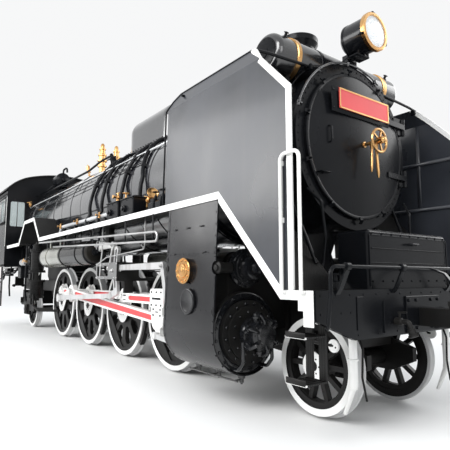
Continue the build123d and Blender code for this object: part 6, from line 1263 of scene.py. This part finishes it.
generator = [
    turned([
        (60, -300), (150, -290), (160, -270), (160, -60), (130, -50), (120, -20), (168, -10), (168, 60),
        (120, 90), (60, 110), (50, 150), (8, 160)
    ], (-5700, -420, 3560), AHEAD, 36),
    boxes([(-5800, -420, 3390, 320, 200, 60), (-5700, -420, 3372, 420, 260, 20)], 6),
    heads(ring_points(-5636, -420, 3560, 146, 12), AHEAD, 9, 8),
    pipe([(-5640, -420, 3720), (-5640, -420, 3800), (-5500, -380, 3840), (-5480, -380, 3720)], 22, 50),
    pipe([(-5960, -420, 3560), (-6200, -440, 3540), (-6400, -560, 3400), (-6855, -620, 3350)], 17, 90)
]
for x in (-6050, -6300, -6550):
    generator += [
        *wheel_valve((x, -120, 3400), UPWARD, 52),
        turned([(70, -20), (70, 0), (50, 10), (44, 30)], (x, -120, 3392), UPWARD, 20)
    ]
generator += [
    tube([(-6000, -120, 3420), (-6852, -120, 3420)], 30, 12),
    boxes([(-6520, 300, 3440, 300, 220, 130)], 20),
    pipe([(-6520, 410, 3440), (-6520, 560, 3380), (-6520, 780, 3050), (-6520, 890, 2700)], 20, 90)
]
piece("boiler_top_fittings", generator, m_black)

plugs = np.vstack([on_boiler(x, a, 892) for x in (-5200, -5700, -6200, -6700) for a in (28, 42)])
plug_out = boiler_normal(plugs)
caps = [heads(plugs, plug_out, 34, 16, 16), heads(plugs + plug_out * 15, plug_out, 15, 20, 4)]
piece("washout_caps", both(caps), m_black)
stays_at = [(x, -862.0, z) for x in np.arange(-5080, -7150, -115.0) for z in np.arange(2060, 2440, 92.0)]
piece("firebox_stays", both([heads(stays_at, OUTWARD, 8, 4, 8)]), m_black)


# Motion details


def side_nuts(rows):
    """Nut with a washer and a pin end at each (x, |y|, z, radius) on the right side."""
    out = []
    for x, y, z, r in rows:
        out += [
            turned([(1.25 * r, 0), (1.25 * r, 4), (1.0 * r, 5)], (x, -y, z), OUTWARD, 20),
            heads([(x, -y - 4, z)], OUTWARD, r, 0.8 * r),
            turned([(0.5 * r, 0), (0.5 * r, 1.25 * r), (0.38 * r, 1.4 * r)], (x, -y, z), OUTWARD, 14)
        ]
    return out


for side, crank, tag in ((RIGHT, 46.0, "right"), (LEFT, 136.0, "left")):
    pin_x, pin_z = THROW * np.cos(np.radians(crank)), DRIVER_R + THROW * np.sin(np.radians(crank))
    rods = []
    for i in range(4):
        x = -DRIVER_PITCH * i + pin_x
        if i != 2:
            rods += [
                turned(
                    [(80, 0), (86, 4), (86, 18), (74, 24), (40, 26)], (x, side * 738, pin_z), (0, side, 0),
                    32
                ),
                heads([(x, side * 762, pin_z)], (0, side, 0), 30, 18)
            ]
        rods.append(boxes(
            [(x, side * 700, pin_z + 126, 34, 30, 30), (x, side * 700, pin_z - 124, 60, 60, 26)], 5
        ))
    for joint_x in (-DRIVER_PITCH * 2 + 270, -DRIVER_PITCH * 2 - 270, -DRIVER_PITCH + 270):
        at = (joint_x + pin_x, side * 738, pin_z)
        rods.append(turned([(44, 0), (46, 3), (46, 14), (30, 18)], at, (0, side, 0), 24))
    piece(f"side_rod_fittings_{tag}", rods, m_white, f"side_rod_{tag}")

wheelsets = [(f"coupled_wheelset_{i + 1}", -DRIVER_PITCH * i, DRIVER_R, 60, 12) for i in range(4)]
wheelsets.append(("leading_wheelset", LEADING_X, SMALL_R, 46, 10))
for wheelset, x, z, r, rim_bolts in wheelsets:
    ends = []
    for s in (-1, 1):
        cap = [(r, 0), (r, 5), (0.55 * r, 7), (0.5 * r, 3), (3, 3)]
        ends += [
            turned(cap, (x, s * 643, z), (0, s, 0), 24),
            heads(side_ring(x, s * 642, z, r + 24, 6), (0, s, 0), 8, 6),
            heads(side_ring(x, s * 609, z, z - 74, rim_bolts, 9), (0, s, 0), 9, 6)
        ]
    piece(f"axle_ends_{wheelset}", ends, m_satin, wheelset)

gear = [(-915, 1158, 1350, 22), (650, 1158, 1350, 24), (-700, 1188, 1306, 30), (-807, 1158, 1672, 20)]
gear = side_nuts(gear + [(-1350, 1164, 1690, 34)])
piece("gear_nuts", both(gear), m_steel)
bars = [
    heads([(x, -1065, z) for x in (-560, -520, 1060, 1110) for z in (912, 970)], OUTWARD, 12, 10),
    boxes([(x, -1000, 1006, 60, 60, 18) for x in (-300, 200, 700)], 4)
]
piece("bar_bolts", both(bars), m_dark_steel)
bracket_at = ((-1290, 1210), (-1290, 1405), (-1000, 1212), (-640, 1212), (-1000, 1405), (-560, 1405))
bracket_at += ((-560, 1212), (-820, 1405))
brackets = heads([(x, -1188, z) for x, z in bracket_at], OUTWARD, 12, 9)
piece("bracket_bolts", both([brackets]), m_steel)

# Air reservoirs, compressor, feed pump

air = []
for x in (-3860, -3480, -2705, -1890, -1490):
    air.append(collar(190.5, 193.5, 20, 18, (x, -RESERVOIR_Y, RESERVOIR_Z), AHEAD, 56))
air += [
    turned([
        (40, 0), (56, 4), (56, 20), (30, 26), (30, 60), (40, 64), (40, 90), (12, 94)
    ], (-1452, -RESERVOIR_Y, RESERVOIR_Z), AHEAD, 18),
    pipe([
        (-1380, -RESERVOIR_Y, RESERVOIR_Z), (-1330, -RESERVOIR_Y, RESERVOIR_Z), (-1330, -1160, 1740),
        (-1330, -1120, BOARD_UNDER_Z)
    ], 16, 40),
    pipe([
        (-3898, -RESERVOIR_Y, RESERVOIR_Z), (-4010, -RESERVOIR_Y, RESERVOIR_Z), (-4060, -1160, 1700),
        (-4060, -1100, BOARD_UNDER_Z)
    ], 18, 50),
    turned([(14, 0), (24, -6), (24, -30), (12, -36), (12, -56)], (-2675, -1160, 1410), UPWARD, 12)
]
piece("reservoir_fittings", both(air), m_black)

fins = []
for z in np.arange(850, 1110, 26.0):
    fins.append(collar(133, 152, 4, 3, (PUMP_X, -PUMP_Y, z), UPWARD, 40))
fin_bolts = [
    top_ring(PUMP_X, -PUMP_Y, z, r, 12)
    for r, z in ((150, 1160), (150, 1360), (144, 1800), (136, 830))
]
fins.append(heads(np.vstack(fin_bolts), UPWARD, 12, 14))
for z in (1420, 1560, 1700):
    fins.append(collar(129, 134, 10, 8, (PUMP_X, -PUMP_Y, z), UPWARD, 40))
fins += [
    pipe([(-4750, -1010, 1660), (-4600, -1010, 1660), (-4560, -1010, 1900), (-4560, -1010, 2422)], 22, 60),
    pipe([
        (-4900, -1150, 980), (-5000, -1150, 980), (-5040, -1150, 1150), (-5040, -1150, 1700),
        (-5040, -1060, BOARD_UNDER_Z)
    ], 26, 70),
    pipe([
        (-4640, -1230, 860), (-4560, -1250, 760), (-4540, -1250, 640), (-4300, -1200, 560),
        (-4000, -900, 560)
    ], 24, 70),
    turned([(70, 0), (82, 4), (82, 20), (50, 28), (50, 60), (20, 66)], (PUMP_X, -PUMP_Y, 1900), UPWARD, 24),
    boxes([(-4750, -1284, 1240, 120, 40, 110)], 10)
]
piece("compressor_fittings", fins, m_satin)
pump_parts = []
for r, z in ((120, 940), (120, 1120), (118, 1480), (118, 1640)):
    pump_parts.append(collar(r + 1, r + 9, 10, 8, (PUMP_X, PUMP_Y, z), UPWARD, 36))
pump_bolts = [top_ring(PUMP_X, PUMP_Y, z, r, 10) for r, z in ((134, 1220), (134, 1420), (126, 890))]
pump_parts += [
    heads(np.vstack(pump_bolts), UPWARD, 12, 14),
    pipe([
        (-4630, 1150, 1060), (-4500, 1150, 1060), (-4420, 1130, 1200), (-4420, 1110, BOARD_UNDER_Z)
    ], 30, 80),
    pipe([(-4870, 1150, 1060), (-5000, 1150, 1060), (-5060, 1150, 900), (-6300, 1150, 860)], 30, 80)
]
piece("pump_fittings", pump_parts, m_satin)

# Injector, pipes and valves below the cab on both sides
under = [
    turned([
        (20, -190), (46, -186), (46, -150), (30, -146), (34, -60), (52, -54), (52, 30), (34, 36), (30, 120),
        (46, 124), (46, 160), (20, 166)
    ], (-7000, -1220, 1330), AHEAD, 24),
    pipe([
        (-6830, -1220, 1330), (-6500, -1220, 1330), (-6300, -1150, 1500), (-6100, -1020, 1740),
        (-6050, -1000, BOARD_UNDER_Z)
    ], 24, 90),
    pipe([(-7180, -1220, 1330), (-7600, -1220, 1330), (-7700, -1220, 1200), (-8300, -1180, 1100)], 26, 90),
    pipe([(-7000, -1220, 1280), (-7000, -1220, 1000), (-7000, -1200, 760)], 20, 60),
    pipe([(-7100, -1180, 1390), (-7100, -1160, 1560), (-7250, -1150, 1680)], 17, 60),
    *wheel_valve((-7000, -1270, 1330), OUTWARD, 44)
]
for dz, r in ((0, 20), (60, 14), (104, 12)):
    run = [
        (-8500, -1060, 1400), (-6600, -1060, 1400), (-6400, -1060, 1300), (-5300, -1060, 1300),
        (-5260, -1060, 1420)
    ]
    under.append(pipe([(x, y, z + dz) for x, y, z in run] + [(-5260, -1040, BOARD_UNDER_Z)], r, 60))
under += [
    boxes([
        (-6150, -1100, 1330, 260, 180, 240), (-6150, -1100, 1456, 280, 200, 16),
        (-7650, -1100, 1360, 300, 160, 200)
    ], 12),
    boxes([(x, -1060, 1590, 40, 40, 780) for x in (-5700, -6500)], 5),
    pipe([
        (-5560, -1180, BOARD_UNDER_Z), (-5560, -1180, 1700), (-5480, -1200, 1500), (-5480, -1200, 900),
        (-5560, -1150, 700)
    ], 22, 80)
]
piece("injector_pipes", both(under), m_black)
silver = [
    collar(60, 74, 180, 170, (-5700, -1190, 1560), AHEAD, 32),
    turned([(34, -60), (34, 60)], (-5480, -1190, 1560), AHEAD, 20)
]
piece("strainer", both(silver), m_steel)
frame_pipes = [pipe([(900, -470, z), (-4900, -470, z)], r) for z, r in ((1210, 16), (1330, 12))]
piece("frame_pipes", both(frame_pipes), m_satin)

# Cab

surrounds, panes, sashes = [], [], []
for x in CAB_WINDOW_XS:
    surrounds += [boxes([(x + dx, -1404, CAB_WINDOW_Z, 22, 14, 574)], 2) for dx in (-236.0, 236.0)]
    surrounds += [boxes([(x, -1404, CAB_WINDOW_Z + dz, 494, 14, 22)], 2) for dz in (-280.0, 280.0)]
    panes.append(boxes([(x, -1394, CAB_WINDOW_Z, 484, 6, 564)], 1))
    sashes.append((x, -1386, CAB_WINDOW_Z, 18, 14, 560))
piece("cab_window_frames", both(surrounds), m_steel)
panes.append(boxes([(-6856, -1150, 2800, 6, 334, 624)], 1))
piece("cab_glass", both(panes), m_glass)
sashes += [(-6866, -1150, 2800, 14, 18, 620)] + [(-6868, -1150, z, 16, 360, 20) for z in (2480, 3120)]
piece("cab_sashes", both([boxes(sashes, 2)]), m_wood)

rows = [(x, -1400.0, z) for z in (1520.0, 2560.0, 3215.0) for x in np.arange(-6900, -8160, -62.0)]
rows += [(x, -1400.0, z) for x in (-6885.0, -8150.0) for z in np.arange(1580, 3200, 62.0)]
piece("cab_rivets", both([heads(rows, OUTWARD, 7, 4, 8)]), m_black)
lap = [ribbon([(-6870, -1401, z), (-8160, -1401, z)], UPWARD, 46, 3) for z in (2560, 1520)]
lap += [
    ribbon([(-6900, -1414, 2596), (-8160, -1414, 2596)], UPWARD, 26, 24),
    boxes([(-7580, -1404, 3226, 1400, 10, 30)], 2)
]
piece("cab_laps", both(lap), m_black)
white_line = [ribbon([(-6858, -1401, 1979), (-6858, -1401, 3230)], AHEAD, 22, 4)]
piece("cab_white_lines", both(white_line), m_white)
grips = []
for x in (-8610.0, -8172.0):
    grips.append(pipe([(x, -1402, 1780), (x, -1424, 1800), (x, -1424, 2700), (x, -1402, 2720)], 12, 20))
piece("cab_handrails", both(grips), m_white)
gutter = [ribbon([(-6800, -1425, 3305), (-8920, -1425, 3305)], UPWARD, 26, 10)]
piece("roof_gutters", both(gutter), m_roof)

# Roof ribs and rivets: a strip bent over the roof's own arcs
def roof_line(count=61):
    """Half outline of the roof across the engine: crown arc, then the tighter side arc."""
    crown_r, side_r, top, shoulder = 3140.0, 1095.0, 3899.0, 900.0
    y = np.linspace(0.0, 1425.0, count)
    crown = top - crown_r + np.sqrt(crown_r ** 2 - y ** 2)
    meet_z = top - crown_r + np.sqrt(crown_r ** 2 - shoulder ** 2)
    lean = np.arcsin(shoulder / crown_r)
    centre_y, centre_z = shoulder - side_r * np.sin(lean), meet_z - side_r * np.cos(lean)
    side = centre_z + np.sqrt(np.maximum(side_r ** 2 - (y - centre_y) ** 2, 0.0))
    return y, np.where(y < shoulder, crown, side)


half_y, half_z = roof_line()
roof_y, roof_z = np.concatenate([-half_y[::-1], half_y[1:]]), np.concatenate([half_z[::-1], half_z[1:]])
over_roof = np.column_stack([np.zeros(len(roof_y)), roof_y, roof_z])
roof = [ribbon(over_roof + [x, 0, 3], AHEAD, 44, 6) for x in (-6790, -7380, -8300, -8915)]
fifths = over_roof[2::5]
roof += [heads(fifths + [x, 0, 5], UPWARD, 8, 6, 8) for x in (-6800, -7390, -8290, -8905)]
roof.append(boxes(
    [(-7855, 0, 3966, 640, 560, 14)] + [(-7855, y, 3975, 620, 20, 8) for y in (-200, 0, 200)], 3
))
piece("roof_ribs", roof, m_roof)

# Inside the cab: gauges, valves, levers, seats
gauges = ((-430, 2900, 105), (430, 2900, 105), (0, 3080, 80), (-640, 2560, 70), (640, 2560, 70))
inside, dials = [], []
for y, z, r in gauges:
    cup = [(r, 0), (r, 46), (r - 8, 52), (r - 14, 50), (r - 14, 40), (2, 40)]
    inside.append(turned(cup, (BACKHEAD_X, y, z), REARWARD, 32))
    dials.append(turned([(r - 15, 40), (r - 15, 42), (2, 42)], (BACKHEAD_X, y, z), REARWARD, 32))
piece("cab_gauges", inside, m_brass)
piece("cab_dials", dials, m_white)
needles = [boxes([(-7276, y + 14, z + 18, 3, 8, 54)], 1) for y, z, r in gauges[:3]]
piece("cab_needles", needles, m_black)
top_valves = ((-520, 3150), (-260, 3220), (260, 3220), (520, 3150))
controls = []
for y, z in top_valves + ((-560, 2350), (560, 2350)):
    controls += wheel_valve((-7230, y, z), REARWARD, 44)
    drop = [(y, z - 40), (y, z - 260), (y * 1.25, z - 420), (y * 1.25, 1800)]
    controls.append(pipe([(-7236, *at) for at in drop], 12, 50, 8))
for y in (-300, 300):
    controls += [
        tube([(-7240, y, 2640), (-7270, y, 2640)], 14, 8),
        tube([(-7270, y, 2500), (-7270, y, 2790)], 11, 8)
    ]
controls += [
    tube(
        bent([(-7240, 60, 2860), (-7330, 60, 2860), (-7370, -260, 2720), (-7370, -330, 2560)], 60), 15, 10
    ),
    wheel_valve((-7700, -900, 2480), REARWARD, 150)[1],
    tube([(-6880, -900, 2480), (-7900, -900, 2480)], 20, 10),
    boxes([(-7500, -900, 2080, 90, 90, 720)], 8)
]
piece("cab_controls", controls, m_black)
knob = [(20, 0), (26, 6), (26, 22), (12, 30)]
handles = [turned(knob, (-7336, y, z), REARWARD, 14) for y, z in top_valves]
handles.append(turned([(16, 0), (20, 10), (20, 110), (8, 120)], (-7370, -325, 2440), (0, -0.05, -1), 12))
piece("cab_handles", handles, m_brass)
seat = [
    boxes([(-8040, -1170, 2250, 460, 380, 70), (-8250, -1170, 2500, 60, 380, 420)], 26),
    tube([(-8040, -1170, 1712), (-8040, -1170, 2220)], 34, 14),
    boxes([(-8040, -1170, 1722, 260, 240, 20)], 6)
]
piece("cab_seats", both(seat), m_wood)
floor_strips = [boxes([(-7950, y, 1714, 1180, 96, 8) for y in np.arange(-1050, 1051, 110.0)], 3)]
piece("cab_floor_boards", floor_strips, m_wood)
fire = [
    turned(
        [(270, 0), (270, 30), (250, 40), (60, 44), (50, 60), (8, 62)], (BACKHEAD_X, 0, 2040), REARWARD, 36
    ),
    boxes([(-7282, 150, 2040, 30, 120, 60)], 6),
    tube([(-7250, -330, 2040), (-7310, -330, 2040), (-7310, -330, 2260)], 14, 8)
]
piece("fire_door", fire, m_satin)

# Rear: rubbing plates, pipe ends, the fall plate and a coupling pin
rear = [boxes([(-8615, y, 1120, 30, 240, 260) for y in (-620, 620)], 8)]
for y in (-520, 520, -760, 760):
    rear += [
        turned([(30, 0), (40, 4), (40, 30), (26, 34)], (-8600, y, 1000), REARWARD, 16),
        turned([(26, 0), (26, 60), (34, 64), (34, 84), (12, 90)], (-8630, y, 1000), REARWARD, 16)
    ]
rear += [
    boxes([(-8700, 0, 1716, 260, 1700, 10)], 3),
    turned([
        (46, -90), (56, -84), (56, -70), (40, -66), (40, 70), (60, 74), (60, 96), (20, 104)
    ], (-8840, 0, 930), UPWARD, 20)
]
piece("rear_fittings", rear, m_satin)

# Footstep grids
foot = []
for x, zs in ((3020, (775, 450)), (-8340, (1180, 820, 460))):
    for z in zs:
        foot += [
            boxes([(x + dx, -1250, z + 17, 10, 200, 6) for dx in (-80, -40, 0, 40, 80)], 2),
            boxes([(x, -1362, z + 24, 196, 8, 44)], 2)
        ]
piece("step_grids", both(foot), m_satin)

# Axlebox covers, spring clips and hangers of the trailing truck
truck = []
for s in (-1, 1):
    truck += [
        heads(side_ring(TRAILING_X, s * 805, SMALL_R, 96, 6), (0, s, 0), 13, 10),
        turned([(70, 0), (76, 4), (76, 14), (40, 20)], (TRAILING_X, s * 805, SMALL_R), (0, s, 0), 28)
    ]
    clip = [(TRAILING_X, s * 812, 600, 180, 18, 26)]
    clip += [(TRAILING_X + dx, s * 790, 640, 40, 50, 150) for dx in (-470, 470)]
    truck.append(boxes(clip, 5))
piece("truck_fittings", truck, m_satin, "trailing_truck")


# Stage: floor, light, camera

BACKDROP = (0.93, 0.935, 0.94, 1.0)


def stage():
    """Pale floor that fades into the backdrop, sky light by height, four area lamps and the camera."""
    bpy.ops.mesh.primitive_plane_add(size=400.0, location=(0.0, 0.0, -0.001))
    floor = bpy.context.object
    floor.name = "studio_floor"
    mat = bpy.data.materials.new("studio_floor")
    mat.use_nodes = True
    t = mat.node_tree
    bsdf, out = t.nodes["Principled BSDF"], t.nodes["Material Output"]
    bsdf.inputs["Base Color"].default_value = (0.80, 0.80, 0.79, 1.0)
    bsdf.inputs["Roughness"].default_value = 0.9
    coord, length = node(t, "TexCoord"), node(t, "VectorMath")
    length.operation = "LENGTH"
    far = node(t, "MapRange", From_Min=14.0, From_Max=45.0)
    glow, mix = node(t, "Emission", Color=BACKDROP), node(t, "MixShader")
    t.links.new(coord.outputs["Object"], length.inputs[0])
    t.links.new(length.outputs["Value"], far.inputs["Value"])
    t.links.new(far.outputs[0], mix.inputs["Fac"])
    t.links.new(bsdf.outputs[0], mix.inputs[1])
    t.links.new(glow.outputs[0], mix.inputs[2])
    t.links.new(mix.outputs[0], out.inputs["Surface"])
    floor.data.materials.append(mat)

    world = bpy.data.worlds.new("studio")
    bpy.context.scene.world = world
    world.use_nodes = True
    t = world.node_tree
    t.nodes.clear()
    out, mix = node(t, "OutputWorld"), node(t, "MixShader")
    seen = node(t, "Background", Color=BACKDROP)
    lit = node(t, "Background", Color=(0.93, 0.96, 1.0, 1.0))
    path = node(t, "LightPath")
    coord, parts = node(t, "TexCoord"), node(t, "SeparateXYZ")
    up = node(t, "MapRange", From_Min=-0.1, From_Max=0.75, To_Min=0.30, To_Max=1.15)
    t.links.new(coord.outputs["Generated"], parts.inputs[0])
    t.links.new(parts.outputs["Z"], up.inputs["Value"])
    t.links.new(up.outputs[0], lit.inputs["Strength"])
    either = None
    for ray in ("Is Camera Ray", "Is Glossy Ray", "Is Transmission Ray"):
        if either is None:
            either = path.outputs[ray]
            continue
        join = node(t, "Math")
        join.operation = "MAXIMUM"
        t.links.new(either, join.inputs[0])
        t.links.new(path.outputs[ray], join.inputs[1])
        either = join.outputs[0]
    t.links.new(either, mix.inputs["Fac"])
    t.links.new(lit.outputs[0], mix.inputs[1])
    t.links.new(seen.outputs[0], mix.inputs[2])
    t.links.new(mix.outputs[0], out.inputs["Surface"])

    for name, where, target, size, power in (
        ("key", (7.0, -12.0, 10.0), (0.0, 0.0, 1.5), (9.0, 6.0), 1500.0),
        ("side", (-5.0, -13.0, 6.5), (-2.0, 0.0, 2.0), (16.0, 5.0), 1500.0),
        ("fill", (6.0, 12.0, 8.0), (0.0, 0.0, 2.0), (12.0, 6.0), 700.0),
        ("front", (15.0, -3.0, 6.0), (5.0, 0.0, 2.0), (6.0, 5.0), 260.0),
    ):
        data = bpy.data.lights.new(name, "AREA")
        data.shape, data.size, data.size_y, data.energy = "RECTANGLE", size[0], size[1], power
        lamp = bpy.data.objects.new(name, data)
        bpy.context.scene.collection.objects.link(lamp)
        lamp.location = where
        lamp.rotation_euler = (Vector(target) - Vector(where)).to_track_quat("-Z", "Y").to_euler()

    cam_data = bpy.data.cameras.new("photo_camera")
    cam_data.sensor_width, cam_data.lens = 36.0, 36.72
    cam_data.clip_start, cam_data.clip_end = 0.05, 500.0
    cam = bpy.data.objects.new("photo_camera", cam_data)
    bpy.context.scene.collection.objects.link(cam)
    az, el = np.radians(53.4), np.radians(-6.6)
    back = Vector((np.sin(az) * np.cos(el), -np.cos(az) * np.cos(el), np.sin(el)))
    cam.location = (8.010, -3.770, 1.233)
    cam.rotation_euler = (-back).to_track_quat("-Z", "Y").to_euler()
    bpy.context.scene.camera = cam
    view = bpy.context.scene.view_settings
    view.view_transform = "Standard"


stage()
bpy.context.view_layer.update()
